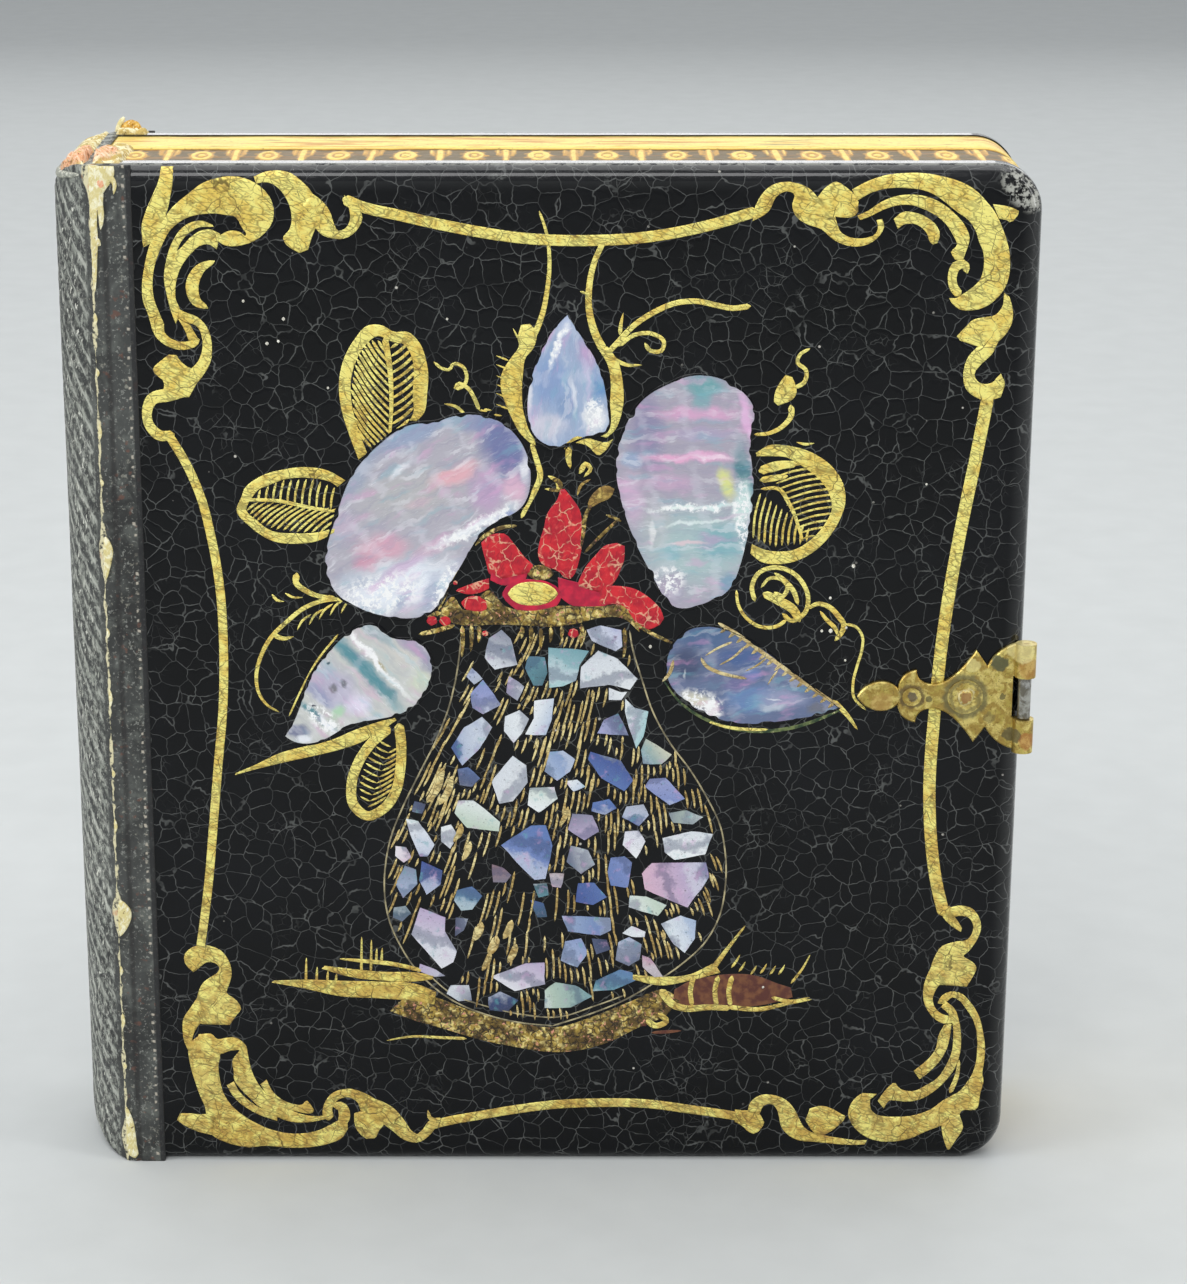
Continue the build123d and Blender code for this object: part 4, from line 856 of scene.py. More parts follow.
stems.line(0.45, (61.5, 73.7), (61.6, 72.8), (60.9, 71.8), (59.6, 71.1), (58.3, 71.0), start=1.3, end=0.6)
stems.line(0.4, (61.8, 75.2), (62.7, 75.8), (62.8, 76.8), (62.0, 77.6), (62.2, 78.2), (63.1, 78.8), end=0.7)
stems.line(0.4, (63.7, 70.2), (62.9, 70.1), (62.1, 70.3), start=0.3, end=0.3)
stems.line(0.42, (58.7, 55.5), (58.4, 56.9), (59.0, 58.2), (60.4, 58.7), (61.9, 58.3), (63.0, 57.2),
           (63.5, 55.8), (63.2, 54.4), (62.0, 53.7), (61.2, 54.4))
stems.line(0.42, (59.2, 56.8), (60.0, 57.7), (61.0, 57.6), (61.6, 56.9), (61.2, 56.0), (60.4, 56.4),
           start=0.6)
stems.line(0.36, (57.0, 56.6), (57.2, 55.2), (58.0, 53.9), (59.3, 53.1), (60.8, 53.2), (61.6, 53.8),
           start=0.7)
stems.line(1.0, (59.4, 56.3), (60.8, 55.6), (62.2, 54.7), (62.8, 53.6), start=0.7, end=0.7)
stems.line(0.6, (60.4, 58.2), (61.4, 57.4), (62.2, 56.4), (62.6, 55.2), start=0.6, end=0.6)
stems.line(0.65, (63.4, 54.8), (64.4, 55.3), (65.4, 55.0), (66.2, 54.2), (66.8, 53.2), (66.5, 52.4),
           (66.0, 51.8), start=0.5, end=0.6)
stems.line(0.5, (64.6, 54.6), (65.2, 53.8), (66.0, 53.0), (66.4, 52.2), start=0.5, end=0.6)
stems.line(0.26, (66.9, 53.4), (67.9, 53.1), (68.5, 52.2), (68.5, 51.0), (68.1, 49.4), (67.8, 48.0),
           (67.9, 46.4), (69.0, 45.2))
stems.line(0.55, (23.4, 55.3), (21.6, 55.7), (19.8, 55.6), (18.0, 54.9), (16.4, 53.6), (15.0, 52.2),
           (14.0, 50.4), (13.5, 48.4), (13.7, 46.8), (14.5, 45.6), (15.5, 45.0), start=0.6, end=0.3)
for at_x, at_z in ((21.8, 55.0), (20.8, 54.8), (19.8, 54.4), (18.9, 53.9), (17.8, 53.4)):
    stems.line(0.3, (at_x + 0.8, at_z + 0.9), (at_x, at_z + 0.3), (at_x - 0.5, at_z - 0.6), start=0.6,
               end=0.4)
stems.line(0.5, (15.1, 52.4), (16.0, 52.0), (17.0, 52.2), end=0.3)
stems.line(0.3, (15.1, 56.2), (15.6, 55.6), (16.2, 55.5), end=0.4)
stems.line(0.25, (16.3, 56.3), (17.0, 55.9), (17.9, 55.9), end=0.4)
stems.line(0.5, (17.4, 58.2), (17.3, 57.3), (18.2, 56.5), (19.4, 56.0), (20.8, 55.9), start=1.3, end=0.7)
stems.line(0.2, (21.0, 52.4), (19.0, 49.8), (17.6, 47.2), (16.4, 44.6), end=0.8)
stems.ladder((11.3, 38.9, 11.4, 39.1), (13.4, 39.5, 13.2, 39.9), (15.8, 40.1, 15.4, 41.0),
             (18.4, 40.7, 17.8, 41.7), (20.8, 41.3, 20.2, 42.3), (22.8, 42.0, 22.2, 43.2),
             (24.4, 42.9, 23.8, 43.8), (26.2, 44.2, 26.0, 44.5))
stems.line(0.45, (66.0, 46.1), (67.4, 44.6), (68.3, 43.3), start=1.2, end=0.4)
stems.line(0.4, (54.6, 44.1), (56.6, 43.5), (58.6, 43.3), (60.2, 43.3), start=0.6, end=0.6)
stems.finish("gilt_stems", gold)


def over_shell(x, z):
    """The depth of a stroke that crosses the shell: the shell stands a little proud of the lacquer."""
    return edge_depth(x, z) - 0.055


green_edge = Relief(0.04)
green_edge.line(0.5, (50.4, 48.2), (52.2, 45.8), (54.6, 44.2), (58.2, 43.2), (62.0, 43.4), (65.0, 44.4),
                (67.0, 45.4),
                start=0.3, end=0.5)
green_finish = Finish("green_bronze", Roughness=0.4)
green_place = green_finish.drawing()
green_cloud = green_finish.noise(green_place, 1.1, 4)
green_tone = green_finish.mix(green_cloud.step(0.4, 0.6), srgb(34, 58, 34), srgb(112, 124, 74))
green_finish.surface(
    Base_Color=green_finish.mix(green_finish.noise(green_place, 2.2, 3).step(0.62, 0.7), green_tone,
                                srgb(232, 224, 176)),
    Metallic=green_cloud * 0.3, Normal=green_finish.bump(green_cloud, 0.03 * mm))
green_edge.finish("green_bronze_edge", green_finish.material)

veins = Relief(0.03, over_shell)
margin = [(55.4, 53.5), (57.2, 52.4), (59.2, 50.9), (61.2, 49.4), (63.2, 47.9), (65.2, 46.5), (66.8, 45.4)]
veins.line(0.5, *margin, start=0.6, end=0.5)
for x, z in soft_line(margin, 0.85)[1:-1]:
    veins.line(0.34, (x, z), (x - 0.3, z - 0.3), (x - 0.55, z - 0.5), end=0.3)
veins.line(0.24, (54.3, 50.4), (55.4, 51.1), (56.7, 51.7), start=0.5)
veins.line(0.24, (55.6, 49.5), (56.9, 50.3), (57.9, 51.3), start=0.5)
veins.line(0.2, (57.9, 48.9), (58.9, 49.4), (59.9, 50.2), start=0.4)
veins.line(0.2, (60.0, 47.6), (60.4, 48.3), (60.9, 49.0), start=0.4)
veins.line(0.45, (53.9, 50.2), (54.3, 49.5), (55.3, 48.9), (56.6, 48.5), (58.1, 48.2), start=0.6, end=0.5)
veins.line(0.5, (50.4, 47.9), (51.0, 48.6), (51.3, 49.4), (51.4, 50.0), start=0.4, end=0.4)
veins.finish("shell_veins", gold_vein)

specks = Relief(0.035)
for x, z, width in ((67.5, 58.8, 0.4), (65.5, 55.8, 0.3), (64.8, 52.7, 0.3), (65.6, 52.7, 0.45),
                    (16.7, 81.4, 0.35), (16.2, 79.4, 0.3), (15.2, 79.2, 0.35), (31.1, 81.4, 0.25),
                    (13.2, 83.0, 0.3), (67.0, 53.0, 0.3), (49.3, 51.2, 0.35), (67.0, 49.9, 0.25),
                    (20.5, 75.2, 0.25), (60.2, 17.8, 0.3), (73.8, 66.4, 0.25)):
    specks.scroll((x - width * 0.4, z, width * 0.9), (x, z + 0.03, width),
                  (x + width * 0.4, z, width * 0.9))
speck_finish = Finish("white_specks", Roughness=0.6)
speck_cloud = speck_finish.noise(speck_finish.drawing(), 3.0, 3)
speck_finish.surface(Base_Color=speck_finish.mix(speck_cloud.step(0.4, 0.6), srgb(240, 238, 226),
    srgb(196, 192, 178)))
specks.finish("white_specks", speck_finish.material)

# %% [markdown]
# ## The painted flower and its bowl
# Between the shell roses sits a flower in red paint with a net of gold veins, a gold heart and a
# mottled rim. Petals are filled outlines: rungs again, but with a fuller, cushioned section.

# %% Red flower
def petal_red():
    finish = Finish("red_petal", Roughness=0.36, Specular_IOR_Level=0.5)
    drawing = finish.drawing()
    bent = finish.vector("MULTIPLY_ADD", finish.noise(drawing, 1.2, 2, output=1), (0.9, 0.9, 0.9), drawing)
    vein = (finish.cells(bent, 0.85, "DISTANCE_TO_EDGE") / 0.85).step(0.07, 0.015) * finish.noise(drawing,
        0.9, 2).step(0.4, 0.56)
    tone = finish.noise(drawing, 0.7, 3)
    low = finish.noise(drawing, 2.2, 4, 0.6)
    ground = finish.mix(tone.step(0.35, 0.65), srgb(176, 8, 38), srgb(214, 30, 44))
    ground = finish.mix(low.step(0.55, 0.75) * 0.6, ground, srgb(232, 92, 84))
    grain = finish.noise(finish.mapped(drawing, turn=(0, 0.3, 0), scale=(0.5, 1, 1.6)), 2.0, 3)
    ground = finish.mix(grain.step(0.54, 0.64) * 0.5, ground, srgb(140, 4, 30))
    finish.surface(Base_Color=finish.mix(vein * 0.75, ground, srgb(240, 186, 150)),
                   Normal=finish.bump(vein * 0.4 + low * 0.5 + grain * 0.6, 0.07 * mm))
    return finish.material


red_paint = petal_red()
petals = Relief(0.05)
petals.ladder((41.1, 66.0, 41.5, 66.0), (40.8, 65.0, 42.2, 65.1), (40.0, 63.9, 42.8, 64.2),
              (39.6, 62.4, 43.1, 62.6), (39.2, 61.0, 43.1, 61.0), (39.1, 59.8, 42.9, 59.6),
              (39.6, 58.9, 42.6, 58.5), (41.0, 58.3, 42.3, 57.9), (41.4, 57.8, 42.0, 57.6))
petals.ladder((46.2, 61.0, 46.9, 60.7), (45.2, 60.8, 46.9, 59.6), (44.2, 59.8, 46.6, 58.6),
              (43.4, 58.8, 46.2, 57.6), (42.9, 57.8, 45.6, 56.8), (42.6, 57.0, 45.2, 56.2))
petals.ladder((44.8, 56.9, 44.6, 55.1), (46.2, 57.0, 46.4, 55.2), (47.6, 56.8, 47.0, 54.7),
              (48.9, 56.1, 47.6, 53.6), (49.8, 55.3, 48.3, 52.9), (50.3, 54.6, 49.4, 52.9),
              (50.5, 53.9, 50.1, 53.3))
petals.ladder((34.0, 61.0, 34.8, 61.8), (34.1, 60.4, 36.0, 61.9), (34.3, 59.6, 37.0, 60.9),
              (34.5, 58.8, 38.0, 59.6), (34.7, 58.1, 38.7, 58.9), (35.6, 57.6, 38.6, 58.3))
petals.ladder((31.7, 56.5, 31.9, 56.7), (32.6, 56.2, 32.9, 57.1), (33.8, 56.3, 34.0, 57.5),
              (34.7, 56.7, 34.7, 57.7))
petals.scroll((32.2, 55.4, 0.8), (33.1, 55.3, 1.5), (34.2, 55.2, 1.4), (34.7, 55.3, 0.9))
for patch in ((29.5, 53.6, 0.9), (30.7, 53.6, 1.0), (42.3, 52.4, 0.9), (34.3, 52.4, 0.5),
              (31.6, 57.2, 0.4)):
    x, z, size = patch
    petals.scroll((x - size * 0.5, z, size), (x, z + 0.1, size * 1.1), (x + size * 0.5, z - 0.1, size))
petals.finish("red_flower", red_paint)

deep = Relief(0.04)
deep.scroll((35.9, 56.2, 1.4), (37.0, 56.2, 2.7), (38.7, 56.0, 3.2), (40.2, 56.1, 2.7), (41.2, 56.4, 1.8))
deep.ladder((40.9, 57.8, 41.0, 56.0), (42.0, 57.5, 42.0, 55.2), (43.6, 57.1, 43.6, 54.9),
            (45.2, 56.7, 45.2, 55.1), (45.8, 56.3, 45.9, 55.4))
deep.ladder((34.8, 57.5, 34.9, 58.3), (36.0, 57.0, 36.4, 58.5), (37.4, 57.3, 37.8, 58.6),
            (38.0, 57.6, 38.2, 58.2))
crimson = Finish("crimson_glaze", Roughness=0.3)
crimson_place = crimson.drawing()
crimson_cloud = crimson.noise(crimson_place, 1.0, 4)
crimson.surface(Base_Color=crimson.mix(crimson_cloud.step(0.4, 0.65), srgb(172, 2, 52), srgb(208, 20, 60)),
                Normal=crimson.bump(crimson_cloud, 0.04 * mm))
deep.finish("flower_ground", crimson.material)

heart = Relief(0.08)
heart.scroll((36.4, 56.25, 0.8), (37.3, 56.25, 1.9), (38.6, 56.25, 2.3), (39.9, 56.25, 1.9),
             (40.9, 56.25, 0.8))
heart.finish("flower_heart", gold)

rim = Relief(0.05)
rim.scroll((38.2, 58.1, 0.9), (38.9, 58.2, 1.4), (39.8, 58.2, 1.3), (40.5, 58.1, 0.8))
rim.ladder((30.2, 54.0, 30.4, 54.9), (31.6, 53.4, 31.4, 56.0), (33.0, 53.2, 32.4, 54.7),
           (34.8, 53.3, 34.8, 56.6), (36.2, 53.3, 36.0, 55.2), (38.4, 53.2, 38.4, 54.7),
           (40.4, 53.1, 40.6, 55.1), (42.6, 53.4, 42.6, 55.1), (45.0, 54.0, 45.0, 55.1),
           (47.0, 53.8, 47.0, 55.1), (48.0, 52.9, 47.6, 54.2), (48.3, 52.6, 48.2, 53.2))
rim.line(0.6, (28.3, 52.4), (29.2, 52.6), (30.4, 52.9), (31.6, 53.3), start=0.5, end=0.6)
rim.line(0.5, (28.7, 54.1), (29.4, 54.3), (30.4, 54.4), start=0.5)
rim.line(0.3, (30.1, 54.7), (31.0, 56.6), (31.8, 58.2), (32.3, 59.4), end=0.6)
rim.line(0.5, (33.2, 60.7), (34.4, 61.7), (35.8, 62.4), (37.2, 62.6), start=0.7, end=0.6)
rim.line(0.4, (47.8, 53.6), (49.2, 52.6), (50.4, 52.0), (51.6, 51.4), start=0.8, end=0.5)
rim.line(0.4, (43.3, 60.1), (44.4, 61.3), (45.6, 62.5), (46.4, 63.3), start=0.6, end=0.5)
rim.line(0.5, (43.0, 60.6), (43.2, 62.2), (43.4, 63.6), (43.9, 64.6), start=0.5, end=0.6)
rim.line(0.25, (45.2, 63.6), (46.0, 63.3), (46.6, 63.0))
rim.line(0.6, (40.3, 67.0), (41.0, 66.6), (41.2, 65.9), start=0.6, end=0.6)
rim.line(0.4, (39.8, 66.0), (40.6, 65.9), (41.2, 65.9), start=0.5)
for x, low, high in ((32.2, 50.2, 53.2), (33.0, 50.8, 53.3), (33.7, 51.6, 53.3), (38.4, 51.4, 53.2),
                     (39.3, 50.9, 53.0), (40.2, 51.6, 53.1), (41.2, 52.0, 53.2), (43.0, 51.4, 53.4),
                     (46.9, 50.2, 53.0), (37.6, 52.0, 53.2)):
    rim.line(0.42, (x, low), (x + 0.1, (low + high) / 2), (x + 0.05, high), start=0.5)
rim.finish("flower_rim", gold_crumbled)
twig = Relief(0.05)
twig.scroll((43.6, 64.3, 0.4), (44.4, 65.2, 1.1), (45.2, 65.7, 1.3), (45.9, 66.0, 0.6))
twig.line(0.35, (42.6, 65.4), (43.0, 66.4), (43.8, 66.9), start=0.6, end=0.5)
twig.finish("flower_twig", gold_dull)

# %% [markdown]
# ## The vase
# Thin gold lines draw the vase, and between its sixty-two shell shards the painter filled in short
# upright dashes. The dashes are placed on a jittered lattice with a fixed seed; a ray cast on the
# CAD shards tells which of them would land on shell, and those are left out.

# %% Vase outline, dashes and ground
vase_left = [(32.3, 53.2), (31.6, 48), (31, 45.5), (29.8, 42.3), (28.2, 39), (26.6, 35.6), (25.6, 33),
             (25, 30), (24.9, 27), (25.3, 24.5), (26.3, 22), (27.6, 19.8), (29.4, 17.8), (31.6, 16.2),
             (34.4, 15), (37.6, 14.2), (40.5, 13.9)]
vase_right = [(40.5, 13.9), (44.5, 15.3), (46.8, 16.3), (50.2, 18.4), (52.6, 20.2), (54.8, 22.5), (56, 25),
              (56.5, 28), (56.4, 31.5), (55.9, 34), (54.8, 36.4), (53.2, 39.2), (51.2, 42), (49.6, 45),
              (48.6, 48), (47.6, 51.5), (47.4, 52.8)]
hairline = Finish("hairline_gold", Roughness=0.45)
hairline_tone = hairline.noise(hairline.drawing(), 0.8, 3).step(0.38, 0.62)
hairline.surface(Base_Color=hairline.mix(hairline_tone, srgb(184, 172, 132), srgb(108, 100, 78)))
thread = Relief(0.03)
thread.line(0.15, *vase_left)
thread.line(0.15, *vase_right)
thread.line(0.13, (28.6, 19.4), (31.0, 17.2), (34.6, 15.8), (38.0, 15.0), (41.0, 14.8), (44.4, 15.9),
            (47.2, 17.0))
thread.finish("vase_outline", hairline.material)
vase = Relief(0.04)

shard_mesh = nodes["vase_mosaic"].data
shard_tree = BVHTree.FromPolygons([v.co for v in shard_mesh.vertices],
                                  [tuple(p.vertices) for p in shard_mesh.polygons])


def on_shell(x, z):
    """True where a ray from in front of the case meets a shard."""
    start = place(x, -5.0, z)
    return shard_tree.ray_cast(Vector(start), Vector((0, 1, 0)), 8 * mm)[0] is not None


chance = np.random.default_rng(5)
vase_outline = vase_left + vase_right[1:]
columns, rows = np.meshgrid(np.arange(25.6, 56.4, 0.56), np.arange(15.6, 53.0, 2.1))
lattice_x = columns + chance.uniform(-0.08, 0.08, columns.shape) + (rows / 2.1 % 2) * 0.25
lattice_z = rows + chance.uniform(-0.5, 0.5, columns.shape)
length = chance.uniform(1.6, 3.4, columns.shape)
crowd = waves(lattice_x, lattice_z, 77, 12, 0.25, 0.7)
kept = chance.uniform(-1, 1, columns.shape) * 0.4 + crowd > -0.22
lean = 0.16 + 0.012 * (lattice_z - 34) - 0.025 * (lattice_x - 40) + 0.1 * waves(lattice_x, lattice_z, 78, 8,
    0.1, 0.4)
share = np.linspace(-0.5, 0.5, 7)
for x, z, span, slant, keep in zip(lattice_x.ravel(), lattice_z.ravel(), length.ravel(), lean.ravel(),
                                   kept.ravel()):
    px, pz = x + share * span * slant, z + share * span
    if not keep or not inside(vase_outline, px, pz).all():
        continue
    free = [not (on_shell(a - 0.14, b) or on_shell(a + 0.14, b)) for a, b in zip(px, pz)]
    first = free.index(True) if True in free else 0
    run = (free[first:] + [False]).index(False)
    if run < 3:
        continue
    px, pz = px[first:first + run], pz[first:first + run]
    vase.line(0.25, (px[0], pz[0]), (px.mean() + 0.06, pz.mean()), (px[-1], pz[-1]), start=0.6, end=0.8)
vase.scroll((28.9, 36.2, 0.5), (29.8, 37.6, 0.8), (30.4, 39.6, 0.5))
vase.scroll((30.0, 36.0, 0.4), (30.9, 37.4, 0.7), (31.2, 38.8, 0.4))
for x, z, width in ((31.8, 33.2, 0.5), (32.6, 31.4, 0.6), (33.6, 23.4, 0.8), (35.0, 22.0, 0.9),
                    (36.4, 23.6, 0.7), (34.4, 20.4, 0.6), (36.8, 21.2, 0.7), (41.6, 34.8, 0.5)):
    vase.scroll((x - 0.5, z - 0.9, width * 0.6), (x, z, width), (x + 0.3, z + 1.0, width * 0.7))
vase.finish("vase_gilding", gold_pale)

ground = Relief(0.045)
ground.ladder((14.2, 18.3, 14.4, 18.5), (17.2, 17.7, 17.4, 18.6), (20.6, 16.9, 20.8, 18.5),
              (24.0, 16.7, 24.4, 18.4), (27.4, 16.4, 27.6, 18.2), (29.4, 16.0, 29.6, 17.4))
ground.ladder((18.9, 19.7, 19.2, 20.0), (21.4, 18.9, 21.6, 19.7), (24.4, 18.5, 24.6, 19.4),
              (27.6, 18.4, 28.0, 19.3), (29.2, 18.6, 29.4, 19.0))
ground.line(0.55, (20.6, 20.7), (22.6, 20.5), (25.4, 20.2), (28.4, 19.5), start=0.3, end=0.7)
for tick_x, tick_low, tick_high in ((17.4, 18.3, 20.8), (18.4, 18.4, 19.9), (19.4, 18.4, 19.5),
                                    (20.2, 18.4, 19.2), (22.6, 19.0, 22.9), (23.5, 19.4, 22.6),
                                    (24.0, 20.3, 21.8), (24.5, 20.3, 21.8)):
    ground.line(0.26, (tick_x, tick_low), (tick_x + 0.05, (tick_low + tick_high) / 2),
                (tick_x + 0.1, tick_high), end=0.5)
ground.line(0.3, (24.9, 12.4), (27.2, 12.8), (30.0, 12.7), (32.4, 12.6), start=0.4)
ground.ladder((48.0, 18.6, 48.0, 19.1), (50.6, 18.0, 50.6, 18.9), (53.4, 18.5, 53.2, 19.1),
              (56.2, 19.3, 55.6, 20.3))
ground.line(0.42, (55.4, 19.6), (56.6, 21.4), (58.4, 24.0), start=1.4, end=0.4)
ground.line(0.7, (50.6, 17.6), (51.9, 16.0), (52.8, 15.7), (55.2, 15.8), (57.2, 15.7), start=1.2, end=0.8)
ground.line(0.5, (57.0, 15.8), (60.0, 15.6), (62.6, 16.2), (64.8, 16.6), end=0.3)
ground.line(0.42, (61.0, 16.8), (62.8, 16.4), (64.6, 16.8), end=0.3)
for post_x in (53.6, 55.9, 57.2):
    ground.line(0.5, (post_x, 15.9), (post_x - 0.2, 17.4), (post_x + 0.1, 19.0), start=0.9)
for blade_x, blade_z, blade_run in ((57.2, 19.8, 1.3), (57.9, 19.4, 1.0), (59.0, 19.1, 0.9),
                                    (59.9, 19.2, 1.0), (60.8, 19.1, 0.9), (61.6, 19.1, 1.0),
                                    (62.8, 18.2, 2.9)):
    ground.line(0.26, (blade_x, blade_z), (blade_x + blade_run * 0.35, blade_z + blade_run * 0.5),
                (blade_x + blade_run * 0.6, blade_z + blade_run), end=0.4)
ground.line(0.55, (49.3, 14.5), (50.2, 13.9), (51.2, 14.4), (50.4, 15.2), start=1.2)
ground.finish("ground_gilding", gold)

bronze = Relief(0.03)
bronze.ladder((25.2, 15.4, 27.0, 17.2), (27.6, 14.4, 29.6, 16.8), (30.2, 13.6, 32.0, 15.8),
              (33.2, 12.6, 34.8, 14.8), (36.6, 11.8, 37.8, 14.1), (40.4, 11.2, 41.0, 13.8),
              (43.6, 11.5, 44.6, 15.0), (46.2, 12.4, 47.8, 16.4), (48.4, 13.6, 50.8, 17.6),
              (51.0, 14.8, 52.6, 16.6))
bronze.finish("bronze_ground", gold_crumbled)

earth = Relief(0.025)
earth.ladder((51.8, 16.2, 51.9, 17.6), (53.0, 15.9, 53.2, 18.4), (54.6, 15.8, 55.0, 18.9),
             (57.0, 15.8, 57.4, 19.2), (59.6, 15.9, 59.6, 19.0), (61.8, 16.4, 61.6, 18.2),
             (63.0, 16.8, 62.8, 17.8))
earth.line(0.9, (47.4, 13.7), (48.6, 14.4), (49.3, 13.9), start=0.6, end=0.6)
earth.line(0.5, (49.8, 13.2), (51.4, 13.3), (52.6, 13.4), start=0.5, end=0.3)
red_earth_finish = Finish("red_earth", Roughness=0.5)
red_earth_place = red_earth_finish.drawing()
red_earth_finish.surface(
    Base_Color=red_earth_finish.mix(red_earth_finish.noise(red_earth_place, 1.1, 4).step(0.4, 0.62),
                                    srgb(86, 40, 30), srgb(120, 74, 44)),
    Normal=red_earth_finish.bump(red_earth_finish.noise(red_earth_place, 3, 3), 0.03 * mm))
earth.finish("earth_paint", red_earth_finish.material)

# %% [markdown]
# ## Leather spine and joints
# One skin of dark leather runs from the rebate in each cover, over the hinge ridge and round the
# spine; the two halves meet in the middle of the spine, so that each half crosses one hinge only.
# The skin is a function of two parameters: the way across, from the cover to the middle of the
# spine, and the height. Across, it is a flat strip, a small round over the ridge and an arc. Towards
# the head and the tail the arc may stand out no further than the rounded end of the spine.

# %% The leather skin
spine_bulge = 4.2
leather_thickness = 0.6
strip_end = 3.7
spine_radius = (half_thickness**2 + spine_bulge**2) / (2 * spine_bulge)


def shell(outer, inner):
    """Places and faces of a closed skin between two grids of the same size."""
    rows, columns = outer.shape[:2]
    grid = np.arange(rows * columns).reshape(rows, columns)
    quads = np.stack([grid[:-1, :-1], grid[:-1, 1:], grid[1:, 1:], grid[1:, :-1]], -1).reshape(-1, 4)
    rim = np.concatenate([grid[0, :-1], grid[:-1, -1], grid[-1, :0:-1], grid[:0:-1, 0]])
    after = np.roll(rim, -1)
    below = rows * columns
    edge = np.stack([rim, rim + below, after + below, after], -1)
    faces = np.concatenate([quads, quads[:, ::-1] + below, edge])
    return np.concatenate([outer.reshape(-1, 3), inner.reshape(-1, 3)]), faces.tolist()


def leather_section():
    """The way across, outside and inside: x, depth and length along, from the rebate to mid-spine."""
    turn = np.linspace(math.asin(half_thickness / spine_radius), 0, 44)[1:]
    arc_x = spine_radius - spine_bulge
    flat = [(strip_end, -0.02), (3.66, -0.13), (3.52, -0.2),
            *[(x, -0.2) for x in np.linspace(3.4, 1.0, 17)], (0.86, -0.19), (0.7, -0.16), (0.54, -0.12),
            (0.38, -0.09), (0.22, -0.06), (0.08, -0.02)]
    outer = np.array(flat + [(arc_x - spine_radius * math.cos(a),
                              half_thickness - spine_radius * math.sin(a)) for a in turn])
    thin = spine_radius - leather_thickness
    inner = np.array([(x, leather_thickness - 0.22) for x, _ in flat[:-6]] + [(x + 0.25, 0.36) for x,
        _ in flat[-6:]]
                     + [(arc_x - thin * math.cos(a) + 0.0,
                         half_thickness - thin * math.sin(a)) for a in turn])
    inner[:, 0] = np.maximum(inner[:, 0], outer[:, 0])
    along = np.concatenate([[0], np.cumsum(np.hypot(*np.diff(outer, axis=0).T))])
    return outer, inner, along


def spine_limit(z):
    """How far out the spine may stand at a height: a quarter circle at the head and the tail."""
    end = np.clip(np.minimum(z, case_height - z), 0, spine_bulge)
    return np.sqrt(spine_bulge**2 - (spine_bulge - end) ** 2)


ridge_along = 3.75


def torn_ridge(z):
    """How wide the worn ridge is at a height: heavy at the head, above the middle, low down and
    at the tail."""
    heavy = sum(tall * np.exp(-((z - at) / wide) ** 2) for at, wide, tall in
                ((94.2, 3.6, 1.0), (60.5, 2.6, 0.75), (25.0, 2.3, 0.9), (2.6, 2.4, 0.9), (78.0, 5.0, 0.3),
                 (44, 7, 0.15)))
    return 0.28 + 0.75 * heavy + 0.14 * waves(z, 0 * z, 8, 20, 0.8, 5)


def leather_skin(name, front):
    outer, inner, along = leather_section()
    tail_end = np.linspace(0, 4.6, 30)
    z = np.concatenate([tail_end, np.linspace(4.9, case_height - 4.9, 420),
                        case_height - tail_end[::-1]])[:, None]
    u = np.broadcast_to(along, (len(z), len(along)))
    limit = spine_limit(z)
    seed = 3 if front else 4
    wear = torn_ridge(z if front else case_height - z)
    at_ridge = np.abs(u - ridge_along - 0.12 * waves(z, 0 * z, seed + 20, 12, 0.4, 3))
    flake = np.clip((wear - at_ridge) / 0.25, 0, 1)
    fade = np.clip(np.minimum(z, case_height - z) / 1.5, 0, 1) * np.clip((u[:, -1:] - u) / 0.6, 0,
        1) * np.clip(u / 0.5, 0, 1)
    rough = 0.05 * waves(u, z, seed, 16, 0.6, 4) + 0.07 * flake * waves(u, z, seed + 5, 16, 3, 9)
    groove = -0.09 * np.exp(-((u - 2.5) / 0.25) ** 2) - 0.06 * np.exp(-((u - 3.2) / 0.18) ** 2)
    diagonal = np.sin(math.tau * (z - 0.9 * u) / 2.1 + 0.9 * waves(z, u, seed + 40, 8, 0.2, 0.9))
    pressed_in = np.clip(0.55 + waves(z, u, seed + 41, 8, 0.05, 0.25), 0.15, 1) * np.clip((u - 4.6) / 0.6,
        0, 1)
    rough = rough + 0.1 * pressed_in * np.sign(diagonal) * np.abs(diagonal) ** 0.6
    lift = (rough * fade + groove) * np.clip(1.4 - np.abs(u - 6) / 6, 0.4, 1)
    sign, base = (1, 0.0) if front else (-1, 2 * half_thickness)
    both = []
    for section, inset, rise in ((outer, 0.0, lift), (inner, leather_thickness, 0.0)):
        x, depth = np.broadcast_to(section[:, 0], u.shape), np.broadcast_to(section[:, 1], u.shape)
        flat = u < ridge_along
        x = np.where(flat, x, np.maximum(x, inset - limit)) - np.where(flat, 0, rise)
        depth = depth - np.where(flat, rise, 0)
        both.append(place(x, base + sign * depth, np.clip(z, 0.02, case_height - 0.02) + 0 * x))
    points, faces = shell(*both)
    made = make_piece(name, points, faces, leather, None)
    side = made.data.uv_layers.new(name="across_up")
    pairs = np.stack([np.broadcast_to(u, (len(z), u.shape[1])), np.broadcast_to(z, u.shape)],
                     -1).reshape(-1, 2)
    pairs = np.concatenate([pairs, pairs])
    corners = np.zeros(len(made.data.loops), int)
    made.data.loops.foreach_get("vertex_index", corners)
    side.data.foreach_set("uv", pairs[corners].ravel())
    return made


